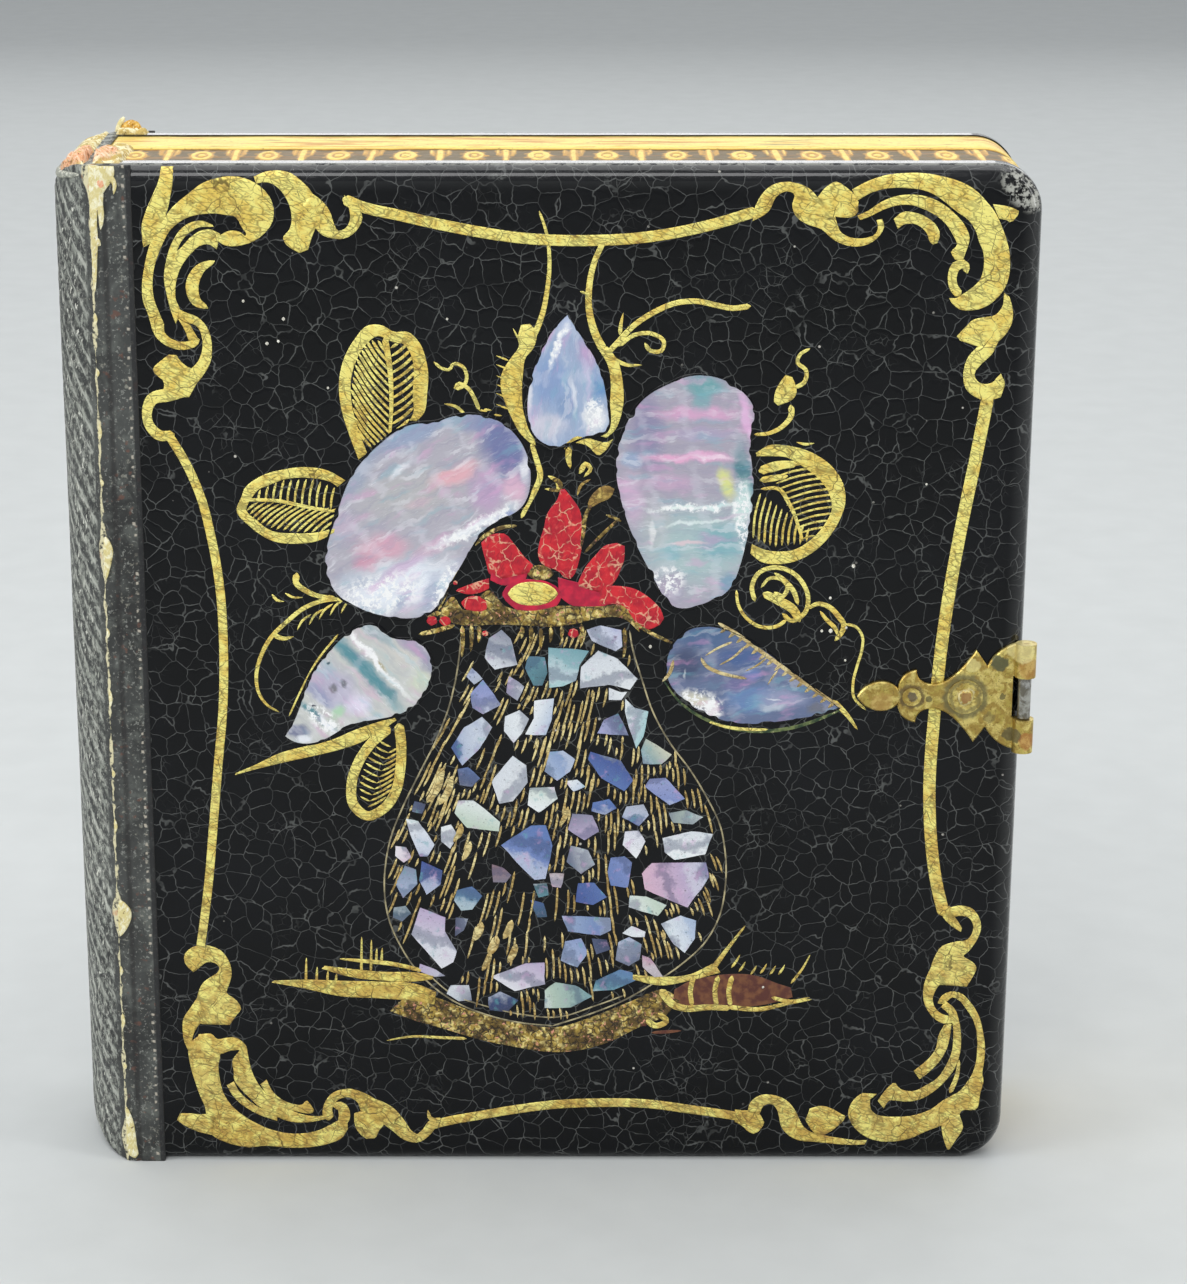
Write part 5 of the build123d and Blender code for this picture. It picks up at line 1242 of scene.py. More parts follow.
def dark_leather():
    finish = Finish("dark_leather", Specular_IOR_Level=0.4)
    sheet = finish.node("ShaderNodeUVMap", {"uv_map": "across_up"}, {})
    u, v, _ = finish.parts(sheet)
    drawing = finish.drawing()
    grain = finish.cells(drawing, 2.6, "F1") / 1.0
    patina = finish.noise(drawing, 0.5, 5, 0.62, 0.6)
    cloud = finish.noise(drawing, 0.12, 3)
    scuff = finish.noise(finish.mapped(drawing, scale=(0.35, 0.35, 1.3)), 0.9, 4, 0.65).step(0.53, 0.68)
    on_spine = u.step(4.3, 4.8)
    # Diagonal ribs: a painted highlight along their tops and painted shade in the grooves between
    stripe = ((v - u * 0.9) * 2.99 + cloud * 2.0 + patina * 2.5).sine()
    rib = stripe.step(0.3, 0.95) * on_spine * patina.step(0.42, 0.58)
    rib_groove_shade = stripe.step(-0.3, -0.9) * on_spine * patina.step(0.36, 0.54)
    # A row of tooled dots beside the strip's outer edge
    wobble = finish.noise(drawing, 0.9, 2)
    near = (u - 0.8 + (wobble - 0.5) * 0.5).size().step(0.17, 0.06)
    dots = (v * 7.0 + wobble * 5.0).sine().step(0.35, 0.85) * near * finish.noise(drawing, 0.45,
        2).step(0.4, 0.5)
    # The worn ridge: cream fibre with orange-pink where the pulp shows
    wander = (finish.noise(drawing, 0.55, 4, 0.6) - 0.5) * 1.1
    heavy = 0.0
    for at, wide, tall in ((94.3, 3.2, 0.85), (60.3, 3.0, 0.5), (25.2, 2.6, 0.6), (2.4, 2.6, 0.6)):
        heavy = (v - at).size().step(wide, 0.0) * tall + heavy
    width = heavy + finish.noise(drawing, 0.33, 3).step(0.4, 0.66) * 0.28 + 0.04
    frayed = finish.noise(drawing, 1.7, 4, 0.65)
    torn = ((u - 3.75 + wander * 0.5).size() / width).step(1.0, 0.7) * frayed.step(0.38, 0.5)
    pulp = heavy.step(0.35, 0.6) * finish.noise(drawing, 0.62, 2).step(0.5, 0.6)
    speck = finish.noise(drawing, 2.4, 3).step(0.63, 0.72)
    red_speck = finish.noise(drawing, 1.3, 3).step(0.62, 0.7) * u.step(3.6, 3.2)
    base = finish.mix(cloud.step(0.35, 0.65), srgb(44, 45, 44), srgb(70, 72, 70))
    base = finish.mix(patina.step(0.46, 0.68) * 0.5, base, srgb(112, 116, 110))
    worn_off = finish.noise(drawing, 1.5, 5, 0.7)
    base = finish.mix(worn_off.step(0.47, 0.58) * on_spine * 0.75, base, srgb(156, 160, 150))
    base = finish.mix(worn_off.step(0.4, 0.3) * on_spine * 0.8, base, srgb(34, 36, 36))
    base = finish.mix(scuff * on_spine * 0.7, base, srgb(196, 198, 186))
    base = finish.mix(finish.noise(drawing, 3.4, 3, 0.6).step(0.58, 0.66) * 0.4, base, srgb(176, 178, 170))
    base = finish.mix(red_speck * 0.6, base, srgb(112, 74, 60))
    base = finish.mix(speck * 0.45, base, srgb(168, 166, 152))
    # Painted shade in the rib grooves, then a painted highlight on the rib tops
    base = finish.mix(rib_groove_shade * 0.7, base, srgb(40, 42, 42))
    base = finish.mix(rib * 0.75, base, srgb(188, 190, 180))
    fleck = finish.noise(finish.mapped(drawing, scale=(0.6, 0.6, 1.4)), 1.9, 4, 0.7).step(0.58, 0.64)
    base = finish.mix(fleck * on_spine * u.step(4.6, 6.4) * 0.8, base, srgb(232, 232, 220))
    base = finish.mix(dots * 0.8, base, srgb(196, 188, 172))
    base = finish.mix(torn, base, finish.mix(pulp, srgb(222, 214, 176), srgb(204, 142, 96)))
    # Darker along the pressed groove, 2.5 mm across the strip
    dark_along_groove = (u - 2.5).size().step(0.35, 0.1) * 0.6
    base = finish.mix(dark_along_groove, base, srgb(36, 34, 34))
    strip = u.step(0.62, 0.5) * 0.85
    base = finish.mix(strip, base, srgb(32, 32, 34))
    height = patina * 0.7 + worn_off * 0.8 - grain * 0.35 + torn * (frayed * 1.5) + dots * 0.5
    finish.surface(Base_Color=base, Roughness=patina * 0.3 + torn * 0.2 + 0.42,
                   Normal=finish.bump(height, 0.09 * mm, 0.9))
    return finish.material


leather = dark_leather()
front_leather = leather_skin("front_leather", True)
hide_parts("front_joint_leather", "spine_leather")
tuple(place(-0.35, 0.85, 47.5))
tuple(place(0.35, 0.15, 47.5))
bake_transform(front_leather)
back_leather = leather_skin("back_leather", False)
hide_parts("back_joint_leather")
tuple(place(0.35, 19.85, 47.5))
tuple(place(-0.35, 19.15, 47.5))
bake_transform(back_leather)
print("leather skins made,", len(front_leather.data.polygons), "faces each")

# %% [markdown]
# At the head the leather is torn off: the pulp under it shows in orange-pink lumps, its fibres fray
# to cream, and cream strips run down the worn ridge. The torn places are ragged sheets laid over the
# head: a height of soft ovals and sums of waves, falling away at a ragged rim. Small lumps are ovals
# carried along a soft line. Each rides with the half it is torn from, so none crosses a hinge.

# %% Torn head
def head_line(x):
    """The height of the head at a place: level over the block, a quarter circle down over the spine."""
    back = np.clip(-x, 0, spine_bulge - 0.02)
    return case_height - (spine_bulge - np.sqrt(spine_bulge**2 - back**2))


def torn_sheet(name, body, x_low, x_high, depth_low, depth_high, bumps, seed):
    """Bumps are (x, depth, half width, half depth, height)."""
    x, share = np.meshgrid(np.linspace(x_low, x_high, int((x_high - x_low) / 0.1)), np.linspace(0, 1, 130),
                           indexing="ij")
    back = np.clip(-x, 0, spine_bulge)
    half = np.sqrt(spine_radius**2 - (spine_radius - spine_bulge + back) ** 2) - 0.2
    low, high = np.maximum(depth_low, half_thickness - half), np.minimum(depth_high, half_thickness + half)
    depth = low + (high - low) * share
    inward = np.minimum.reduce([x - x_low, x_high - x, depth - low, high - depth])
    rim = np.clip((inward + 0.2 * waves(x, depth, seed, 24, 1.5, 5)) / 0.35, 0, 1)
    height = 0.14 + 0.12 * waves(x, depth, seed + 1, 30, 2,
                                 6) + 0.1 * np.abs(waves(x, depth, seed + 2, 30, 5, 12))
    for at_x, at_depth, wide, deep_by, tall in bumps:
        away = np.hypot((x - at_x) / wide, (depth - at_depth) / deep_by)
        away = away * (1 + 0.16 * waves(x, depth, seed + 3, 24, 1, 4))
        height = np.maximum(height, height + tall * np.sqrt(np.clip(1 - away**2, 0, 1)))
    top = head_line(x) + rim * height - 0.3 * (1 - rim)
    outer = place(x + 0.06 * waves(depth, x, seed + 4, 20, 2, 6) * rim, depth, top)
    points, faces = shell(outer, place(x, depth, head_line(x) - 0.35))
    made = make_piece(name, points, faces, sheet_torn, body)
    return made


def lump(path, width, height, seed, corners=30):
    """An oval carried along a line of (x, depth, z): its reach is a half circle of the way along, times
    one and a sum of waves."""
    centre = soft_line(path, 0.12)
    share = np.linspace(-1, 1, len(centre))[:, None]
    heading = np.gradient(centre[:, :2], axis=0)
    heading /= np.maximum(np.hypot(*heading.T), 1e-9)[:, None]
    turn = np.linspace(0, math.tau, corners, endpoint=False)[None, :]
    swell = np.sqrt(np.clip(1 - share**2, 0.0009, 1))
    across, up = width * swell * np.cos(turn), height * swell * np.sin(turn)
    a = centre[:, :1] - heading[:, 1:] * across
    b = centre[:, 1:2] + heading[:, :1] * across
    rough = 1 + 0.3 * waves(a + up, b + 2 * up, seed, 18, 0.8, 3.2) + 0.2 * waves(a - up, b + up, seed + 1,
        24, 4, 10)
    x = centre[:, :1] - heading[:, 1:] * across * rough
    depth = centre[:, 1:2] + heading[:, :1] * across * rough
    return place(x, depth, centre[:, 2:] + up * rough), ring_faces(len(centre), corners)


def torn_finish(name, light, middle_tone, dark, stain):
    """Fibre: three tones by a rough noise, with stains and dark pits."""
    finish = Finish(name, Roughness=0.85, Specular_IOR_Level=0.25)
    drawing = finish.drawing()
    fibre = finish.noise(drawing, 1.6, 5, 0.65, 0.5)
    thread_wire = finish.noise(finish.mapped(drawing, turn=(0, 0.3, 0), scale=(0.5, 0.5, 1.6)), 2.6, 4, 0.6)
    tone = finish.mix(fibre.step(0.38, 0.52), light, middle_tone)
    tone = finish.mix(thread_wire.step(0.54, 0.66) * 0.8, tone, stain)
    tone = finish.mix(fibre.step(0.6, 0.7), tone, dark)
    finish.surface(Base_Color=tone, Normal=finish.bump(fibre + thread_wire * 0.7, 0.16 * mm, 0.9))
    return finish.material


def torn_sheet_finish():
    """Cream and ochre fibre with dark pits; over the front of the head the orange-pink pulp."""
    finish = Finish("sheet_torn", Roughness=0.85, Specular_IOR_Level=0.25)
    drawing = finish.drawing()
    fibre = finish.noise(drawing, 1.3, 5, 0.68, 0.6)
    strand = finish.noise(finish.mapped(drawing, turn=(0, 0.2, 0.4), scale=(0.4, 1.4, 0.8)), 2.2, 4, 0.65)
    bent = finish.vector("MULTIPLY_ADD", finish.noise(drawing, 0.7, 4, 0.6, output=1), (2.0, 2.4, 0),
                         drawing)
    near = finish.vector("LENGTH", finish.mapped(bent, (0.5, 5.8, 95), (0, 0, 0.2), (3.0, 3.6, 40)),
                         output=1)
    pulp = near.step(1.05, 0.7)
    tone = finish.mix(fibre.step(0.42, 0.55), srgb(250, 242, 200), srgb(204, 178, 106))
    tone = finish.mix(finish.parts(drawing)[0].step(-1.8, -3.0) * 0.8, tone,
                      finish.mix(strand, srgb(226, 226, 214), srgb(120, 122, 116)))
    orange = finish.mix(strand.step(0.4, 0.6), srgb(246, 204, 168), srgb(228, 158, 112))
    tone = finish.mix(pulp * fibre.step(0.66, 0.56), tone,
                      finish.mix(fibre.step(0.36, 0.46), srgb(252, 226, 200), orange))
    tone = finish.mix(strand.step(0.58, 0.66) * 0.75, tone, srgb(74, 58, 40))
    finish.surface(Base_Color=tone, Normal=finish.bump(fibre + strand * 0.8, 0.2 * mm, 0.9))
    return finish.material


sheet_torn = torn_sheet_finish()
pulp_torn = torn_finish("pulp_torn", srgb(244, 186, 148), srgb(226, 138, 98), srgb(160, 84, 52),
                        srgb(250, 226, 196))
fibre_torn = torn_finish("fibre_torn", srgb(250, 244, 206), srgb(226, 212, 150), srgb(120, 96, 52),
                         srgb(255, 252, 232))
grey_torn = torn_finish("grey_torn", srgb(214, 214, 200), srgb(150, 152, 142), srgb(52, 52, 48),
                        srgb(240, 238, 220))
ochre_torn = torn_finish("ochre_torn", srgb(246, 214, 128), srgb(208, 156, 62), srgb(108, 70, 30),
                         srgb(252, 240, 196))
torn_sheet("torn_lid_head", "front_half", 0.03, 2.9, 0.95, 10.6,
           [(0.7, 3.3, 1.1, 1.7, 0.75), (1.0, 6.4, 1.0, 2.0, 0.55), (2.1, 4.6, 0.7, 2.0, 0.35),
            (1.8, 9.0, 0.8, 1.2, 0.3)], 71)
torn_sheet("torn_spine_head", "spine", -3.9, -0.3, 0.7, 19.2,
           [(-1.0, 3.6, 1.4, 1.9, 0.8), (-1.4, 6.8, 1.3, 1.8, 0.6), (-2.6, 5.0, 0.8, 1.8, 0.45),
            (-1.8, 11.0, 1.4, 1.7, 0.35), (-2.2, 15.2, 1.3, 1.6, 0.3)], 81)
torn_sheet("torn_back_head", "back_half", 0.1, 3.4, 17.6, 19.6,
           [(1.2, 18.6, 1.1, 0.8, 0.4), (2.6, 18.6, 0.6, 0.6, 0.3)], 91)
for name, body, finish_used, size, path in (
    ("frayed_rim", "spine", grey_torn, (0.4, 0.45),
     [(-0.9, 0.9, 94.0), (-2.4, 3.0, 93.7), (-3.3, 6.4, 93.3), (-3.5, 10.0, 93.2),
                                                     (-3.3, 13.6, 93.3), (-2.3, 17.2, 93.8)]),
    ("torn_nub", "back_half", ochre_torn, (0.5, 0.62),
     [(0.7, 18.4, 95.1), (1.3, 18.9, 95.5), (2.0, 19.0, 95.5), (2.7, 18.8, 95.1)]),
    ("torn_nub_tip", "back_half", fibre_torn, (0.3, 0.4),
     [(0.2, 18.6, 95.2), (0.7, 18.9, 95.9), (1.1, 19.0, 96.3)]),
):
    lump_points, lump_faces = lump(path, *size, len(name))
    make_piece(name, lump_points, lump_faces, finish_used, body)


def leather_face(x, z):
    """The depth of the joint leather: proud of the lacquer, falling away over the ridge."""
    return np.interp(x, [-0.7, 0.05, 0.4, 0.9], [0.5, 0.0, -0.12, -0.2])


tears = Relief(0.14, leather_face)
tears.ladder((0.02, 94.95, 2.3, 94.95), (0.02, 94.4, 2.35, 94.3), (0.02, 93.6, 2.0, 93.5),
             (0.02, 92.8, 1.6, 93.0), (0.03, 92.0, 1.2, 92.4), (0.04, 91.2, 0.8, 91.6),
             (0.05, 90.6, 0.5, 90.8))
tears.scroll((0.9, 92.8, 0.9), (0.95, 91.6, 0.6), (1.05, 90.6, 0.5), (0.95, 89.4, 0.2))
tears.scroll((0.45, 91.6, 0.8), (0.35, 90.0, 0.6), (0.36, 88.4, 0.65), (0.3, 86.9, 0.5), (0.26, 85.4, 0.4),
             (0.2, 83.8, 0.15))
tears.scroll((0.2, 88.7, 0.3), (0.5, 88.3, 0.8), (0.9, 88.0, 0.3))
tears.scroll((1.9, 94.2, 0.5), (2.3, 93.4, 0.4), (2.2, 92.5, 0.2))
tears.scroll((0.3, 61.6, 0.3), (0.5, 60.4, 0.9), (0.4, 59.2, 0.7), (0.2, 57.6, 0.2))
tears.scroll((0.35, 26.6, 0.4), (0.7, 25.4, 1.3), (0.56, 24.2, 1.0), (0.2, 23.0, 0.2))
tears.scroll((0.15, 5.6, 0.2), (0.4, 4.2, 0.7), (0.5, 2.8, 0.9), (0.56, 1.4, 1.0), (0.8, 0.35, 0.9))
for z, tall in ((80.8, 1.2), (76.2, 0.8), (70.4, 1.6), (66.2, 0.7), (52.0, 1.0), (45.4, 1.8), (38.6, 0.8),
                (33.2, 1.4), (19.0, 1.0), (13.6, 1.6), (9.4, 0.8)):
    tears.scroll((0.1, z, 0.15), (0.2, z + tall / 2, 0.34), (0.12, z + tall, 0.15))
tears.finish("torn_strips", fibre_torn)
pits = Relief(0.2, leather_face)
pits.scroll((1.0, 94.0, 0.5), (1.1, 93.4, 0.7), (1.0, 92.7, 0.3))
pits.scroll((0.45, 25.7, 0.4), (0.5, 25.2, 0.5), (0.5, 24.8, 0.3))
pits.scroll((0.35, 60.5, 0.3), (0.3, 60.0, 0.35), (0.3, 59.6, 0.2))
pits.finish("torn_pits", pulp_torn)

# %% [markdown]
# ## Gilt edges
# The tray of each half is edged with gilt paper. The lid's paper is embossed with a row of ovals
# and tulips between beads and a burnished rim; the other half's is plain. Both are closed skins
# along a path round the head, the fore-edge and the tail, and the pattern is a height worked out
# from the way along and the way across.

# %% Gilt paper
block_end = 83.1
block_inset = 0.1
block_start = 0.3
paper = 0.25
block_corner = corner_radius - block_inset


def round_the_block(step):
    """Places and outward directions along head, fore-edge and tail, at even steps, and the length."""
    straight = block_end - block_corner - block_start
    upright = case_height - 2 * (block_inset + block_corner)
    bend = block_corner * math.pi / 2
    total = 2 * straight + 2 * bend + upright
    s = np.linspace(0, total, int(total / step) + 1)
    turn = np.interp(s, [straight, straight + bend, straight + bend + upright, total - straight],
                     [90, 0, 0, -90])
    turn = np.radians(turn)
    normal = np.stack([np.cos(turn), np.sin(turn)], -1)
    middle_x = np.interp(s, [0, straight, total - straight, total], [block_start, block_end - block_corner,
                                                                     block_end - block_corner, block_start])
    low, high = block_inset + block_corner, case_height - block_inset - block_corner
    middle_z = np.interp(s, [0, straight + bend, straight + bend + upright, total], [high, high, low, low])
    return s, np.stack([middle_x, middle_z], -1) + block_corner * normal, normal


def gilt_paper(name, depth_low, depth_high, step, pattern, material, node):
    s, base, normal = round_the_block(step)
    t = np.linspace(depth_low, depth_high, int((depth_high - depth_low) / step) + 1)
    along, across = np.meshgrid(s, t, indexing="ij")
    height = pattern(along, across)
    grids = []
    for drop in (0.16 * (1 - height), np.full_like(height, paper)):
        place_x = base[:, None, 0] - normal[:, None, 0] * drop
        place_z = base[:, None, 1] - normal[:, None, 1] * drop
        grids.append(place(place_x, across, place_z))
    points, faces = shell(*grids)
    made = make_piece(name, points, faces, material, "front_half" if "lid" in node else "back_half")
    shade = made.data.attributes.new("pressed", "FLOAT", "POINT")
    shade.data.foreach_set("value", np.concatenate([height.ravel(), height.ravel()]))
    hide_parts(node)
    print(name, len(faces), "faces")
    return made


def palmettes(along, across):
    """The embossed pattern, 0 low to 1 high: ovals with a ringed heart and tulips in turn, long across the
    edge, with a burnished rim at the back and a row of beads at the front."""
    pitch, middle, reach = 6.0, 6.6, 3.3
    a = (along + 0.2 * waves(along, across, 2, 8, 0.2, 0.9)) % pitch - pitch / 2
    b = (across - middle + 0.2 * waves(across, along, 6, 8, 0.2, 0.9)) / reach
    r, turn = np.hypot(a / 1.3, b), np.arctan2(b, a / 1.3)
    oval = np.clip((1.0 + 0.09 * np.cos(9 * turn) - r) / 0.14, 0, 1) * (0.62 + 0.38 * np.cos(r * 11))
    heart = np.sqrt(np.clip(1 - (r / 0.3) ** 2, 0, 1))
    other = (a + pitch) % pitch - pitch / 2
    wide = 0.3 + 0.75 / (1 + np.exp(-5 * (b + 0.15)))
    tulip = np.clip((1 - np.abs(other) / wide) / 0.3, 0, 1) * np.clip((1.02 - np.abs(b)) / 0.1, 0, 1)
    tulip = tulip * (0.6 + 0.4 * np.cos(other * 7))
    total = np.maximum.reduce([oval * 0.9, heart, tulip * 0.9])
    bead = np.sqrt(np.clip(1 - ((along % 0.8 - 0.4) / 0.32) ** 2 - ((across - 3.1) / 0.26) ** 2, 0, 1))
    total = np.maximum(total, bead * 0.5)
    total = np.maximum(total, np.clip((across - 10.0 - 0.25 * waves(along, across, 9, 10, 0.2, 1.2)) / 0.25,
                                      0, 0.95))
    return np.clip(total * 0.92 + 0.06 * waves(along, across, 12, 20, 2, 7), 0, 1)


def nearly_smooth(along, across):
    """Plain paper: long shallow waves."""
    return np.clip(0.75 + 0.2 * waves(along, across, 31, 16, 0.2, 1.6), 0, 1)


def gilt_finish(name, low, middle_tone, high, spots, streaks):
    finish = Finish(name, Metallic=0.35, Specular_IOR_Level=0.4)
    drawing = finish.drawing()
    pressed = finish.node("ShaderNodeAttribute", {"attribute_name": "pressed"}, {}, 2)
    dirt = finish.noise(drawing, 1.1, 5, 0.6)
    worn = finish.noise(drawing, 0.25, 3)
    # The tone follows the pressed height: darker in the hollows and brighter on the raised tops. This is
    # partly dirt in the hollows and partly painted shade and painted highlight on the relief.
    tone = finish.mix((pressed + (dirt - 0.5) * 0.7).step(0.06, 0.36), low, middle_tone)
    tone = finish.mix((pressed + (worn - 0.5) * 0.8).step(0.38, 0.66), tone, high)
    tone = finish.mix(finish.noise(drawing, 3.2, 3).step(0.6, 0.72) * spots, tone, srgb(110, 82, 40))
    streak = finish.noise(finish.mapped(drawing, scale=(9, 0.8, 9)), 1.0, 4, 0.6)
    tone = finish.mix(streak.step(0.54, 0.62) * streaks, tone, srgb(206, 142, 54))
    tone = finish.mix(streak.step(0.42, 0.34) * streaks * 0.8, tone, srgb(122, 96, 52))
    finish.surface(Base_Color=tone, Roughness=dirt * 0.25 + 0.3,
                   Normal=finish.bump(dirt + finish.noise(drawing, 5, 2) * 0.4, 0.05 * mm, 0.8))
    return finish.material


gilt_embossed = gilt_finish("gilt_embossed", srgb(104, 86, 44), srgb(208, 158, 62), srgb(250, 222, 116),
                            0.6, 0.3)
gilt_plain = gilt_finish("gilt_plain", srgb(196, 136, 52), srgb(232, 184, 78), srgb(252, 226, 128), 0.45,
                         0.9)
cover_inside, lid_rim, base_rim, back_cover_inside = 2.6, 10.9, 11.1, 17.4
gilt_paper("lid_gilt_relief", cover_inside, lid_rim, 0.22, palmettes, gilt_embossed, "lid_gilt_band")
gilt_paper("base_gilt_smooth", base_rim, back_cover_inside, 0.5, nearly_smooth, gilt_plain,
           "base_gilt_band")

# %% [markdown]
# ## Velvet inside
# The lid is filled by a velvet pad: card at the back, wadding and cotton velvet over it, with a
# pattern pressed in by a hot die. Its shape comes from a cloth simulation: a slightly small closed
# form is blown up by pressure while its foot is held on the card, and no point may move far. The
# simulation is run at ten times the size, where its default stiffness suits the cloth.

# %% Velvet pad
tray_left, tray_right, tray_low, tray_high = 3.5, 79.65, 3.55, 91.45
tray_x, tray_z = (tray_left + tray_right) / 2, (tray_low + tray_high) / 2
pad_half = np.array([tray_right - tray_left, tray_high - tray_low]) / 2 - 0.2
pad_foot, pad_shoulder = 3.6, 8.0
sim_scale = 10.0


def pad_start():
    """A closed low form: plan a rounded square of two parameters, top a shallow crown, foot flat."""
    t = np.linspace(-1, 1, 61)
    a, b = np.meshgrid(t, t, indexing="ij")
    round_a, round_b = a * (1 - 0.016 * b**8), b * (1 - 0.014 * a**8)
    edge = (1 - np.abs(a) ** 14) ** 0.5 * (1 - np.abs(b) ** 14) ** 0.5
    rise = (pad_shoulder - pad_foot - 0.8) * edge + 1.1 * (1 - a**2) * (1 - b**2)
    x, z = tray_x + (pad_half[0] - 0.5) * round_a, tray_z + (pad_half[1] - 0.5) * round_b
    top = place(x, pad_foot + 0.25 + rise, z)
    foot = place(x, pad_foot + 0.02 + 0 * x, z)
    return shell(foot, top)


def evaluated(made):
    """Places and faces of an object with its modifiers worked out."""
    graph = bpy.context.evaluated_depsgraph_get()
    mesh = bpy.data.meshes.new_from_object(made.evaluated_get(graph))
    places = np.zeros(len(mesh.vertices) * 3)
    mesh.vertices.foreach_get("co", places)
    faces = [tuple(p.vertices) for p in mesh.polygons]
    bpy.data.meshes.remove(mesh)
    return places.reshape(-1, 3), faces


def blown_up(points, faces, voxel, pressure, cap):
    """The form after twenty steps of cloth under pressure, with its foot held; cap in millimetres."""
    work = make_piece("cloth_work", points * sim_scale, faces, velvet, None)
    remesh = work.modifiers.new("even", "REMESH")
    remesh.mode, remesh.voxel_size = "VOXEL", voxel * mm * sim_scale
    rest, faces = evaluated(work)
    bpy.data.objects.remove(work)
    work = make_piece("cloth_work", rest, faces, velvet, None)
    held = work.vertex_groups.new(name="held")
    foot = rest[:, 1] < (front_y + (pad_foot + 0.3) * mm) * sim_scale
    held.add(np.flatnonzero(foot).tolist(), 1.0, "REPLACE")
    cloth = work.modifiers.new("cloth", "CLOTH")
    cloth.settings.quality = 5
    cloth.settings.use_pressure = True
    cloth.settings.uniform_pressure_force = pressure
    cloth.settings.vertex_group_mass = "held"
    cloth.settings.effector_weights.gravity = 0
    for step in range(1, 21):
        bpy.context.scene.frame_set(step)
    swollen, _ = evaluated(work)
    bpy.data.objects.remove(work)
    bpy.context.scene.frame_set(1)
    move = swollen - rest
    reach = np.linalg.norm(move, axis=1, keepdims=True)
    rest = rest + move * np.minimum(1, cap * mm * sim_scale / np.maximum(reach, 1e-9))
    work = make_piece("cloth_work", rest, faces, velvet, None)
    work.modifiers.new("finer", "SUBSURF").levels = 1
    fine, faces = evaluated(work)
    bpy.data.objects.remove(work)
    return fine / sim_scale, faces


def groove(distance, width):
    return np.exp(-((distance / width) ** 2))


def pressed(x, z):
    """How deep the hot die pressed the velvet, in millimetres: a double frame line with scallops,
    a medallion of eight leaves, rings round it and a fan in each corner."""
    dx, dz = np.abs(x - tray_x), np.abs(z - tray_z)
    half_x, half_z = 31.5, 37.5
    over = np.maximum(dx - half_x + 6, 0), np.maximum(dz - half_z + 6, 0)
    frame_way = np.hypot(*over) - 6 + np.minimum(np.maximum(dx - half_x + 6, dz - half_z + 6), 0)
    deep = 0.45 * groove(frame_way, 0.55) + 0.3 * groove(frame_way + 2.2, 0.4)
    along = np.arctan2(dz * half_x, dx * half_z)
    scallop = np.abs(np.sin(along * 14))
    deep = deep + 0.25 * groove(frame_way + 3.3 + 1.1 * scallop, 0.45)
    r, turn = np.hypot(x - tray_x, (z - tray_z) * 0.86), np.arctan2((z - tray_z) * 0.86, x - tray_x)
    outer = 15.5 + 1.6 * np.cos(8 * turn)
    deep = deep + 0.4 * groove(r - outer, 0.55) + 0.3 * groove(r - outer + 2.0, 0.4)
    leaf = 9.5 * np.abs(np.cos(4 * turn)) ** 0.6
    deep = deep + 0.4 * groove(r - leaf, 0.6) * (r > 2.2) + 0.3 * groove(r - 3.1, 0.5)
    deep = deep + 0.28 * groove(np.abs(np.sin(4 * turn)) * r, 0.35) * (r > 3.6) * (r < 8.5)
    fan_r, fan_turn = np.hypot(dx - half_x + 5, dz - half_z + 5), np.arctan2(dz - half_z + 5,
        dx - half_x + 5)
    fan = groove(fan_r - 8.5 - 0.8 * np.cos(8 * fan_turn),
                 0.5) + groove(np.abs(np.sin(4 * fan_turn)) * fan_r, 0.35) * (fan_r > 2)
    inside_fan = (fan_r < 9.4) & (dx < half_x - 2.5) & (dz < half_z - 2.5)
    return deep + 0.3 * fan * inside_fan


def velvet_finish():
    finish = Finish("red_velvet", Specular_IOR_Level=0.2, Sheen_Weight=0.75, Sheen_Roughness=0.4,
                    Sheen_Tint=(0.95, 0.35, 0.35, 1))
    drawing = finish.drawing()
    crush = finish.noise(drawing, 0.16, 4, 0.6, 0.5)
    pile = finish.noise(drawing, 7.0, 3, 0.7)
    nap = finish.noise(finish.mapped(drawing, scale=(1, 1, 2.4)), 1.6, 3)
    _, depth, _ = finish.parts(drawing)
    tone = finish.mix(crush.step(0.32, 0.68), srgb(108, 12, 26), srgb(156, 26, 40))
    tone = finish.mix(pile.step(0.45, 0.75) * 0.45, tone, srgb(190, 62, 66))
    tone = finish.mix(nap.step(0.6, 0.8) * 0.3, tone, srgb(84, 8, 20))
    finish.surface(Base_Color=tone, Roughness=crush * 0.2 + 0.72,
                   Normal=finish.bump(pile * 0.7 + nap * 0.6, 0.1 * mm))
    return finish.material


velvet = velvet_finish()
pad_points, pad_faces = blown_up(*pad_start(), voxel=1.0, pressure=4.0, cap=1.1)
drawn = (pad_points - place(0, 0, 0)) / mm
face_up = np.clip((drawn[:, 1] - pad_foot - 1.5) / 2.0, 0, 1)
drawn[:, 1] -= pressed(drawn[:, 0], drawn[:, 2]) * face_up
drawn[:, 1] = np.minimum(drawn[:, 1], 10.3)
for axis, low, high in ((0, tray_left, tray_right), (2, tray_low, tray_high)):
    drawn[:, axis] = np.clip(drawn[:, axis], low + 0.05, high - 0.05)
drawn[:, 1] = np.maximum(drawn[:, 1], pad_foot + 0.005)
velvet_cushion = make_piece("velvet_cushion", place(*drawn.T), pad_faces, velvet, "front_half")
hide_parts("velvet_pad")
print("pad top at depth", round(float(drawn[:, 1].max()), 2), "mm,", len(pad_faces), "faces")

# %% [markdown]
# The retainer is a strip of card wrapped in the same velvet and pushed in round the image packet.
# Its surface runs round the tray, and across from the wall over a rounded top to the packet.

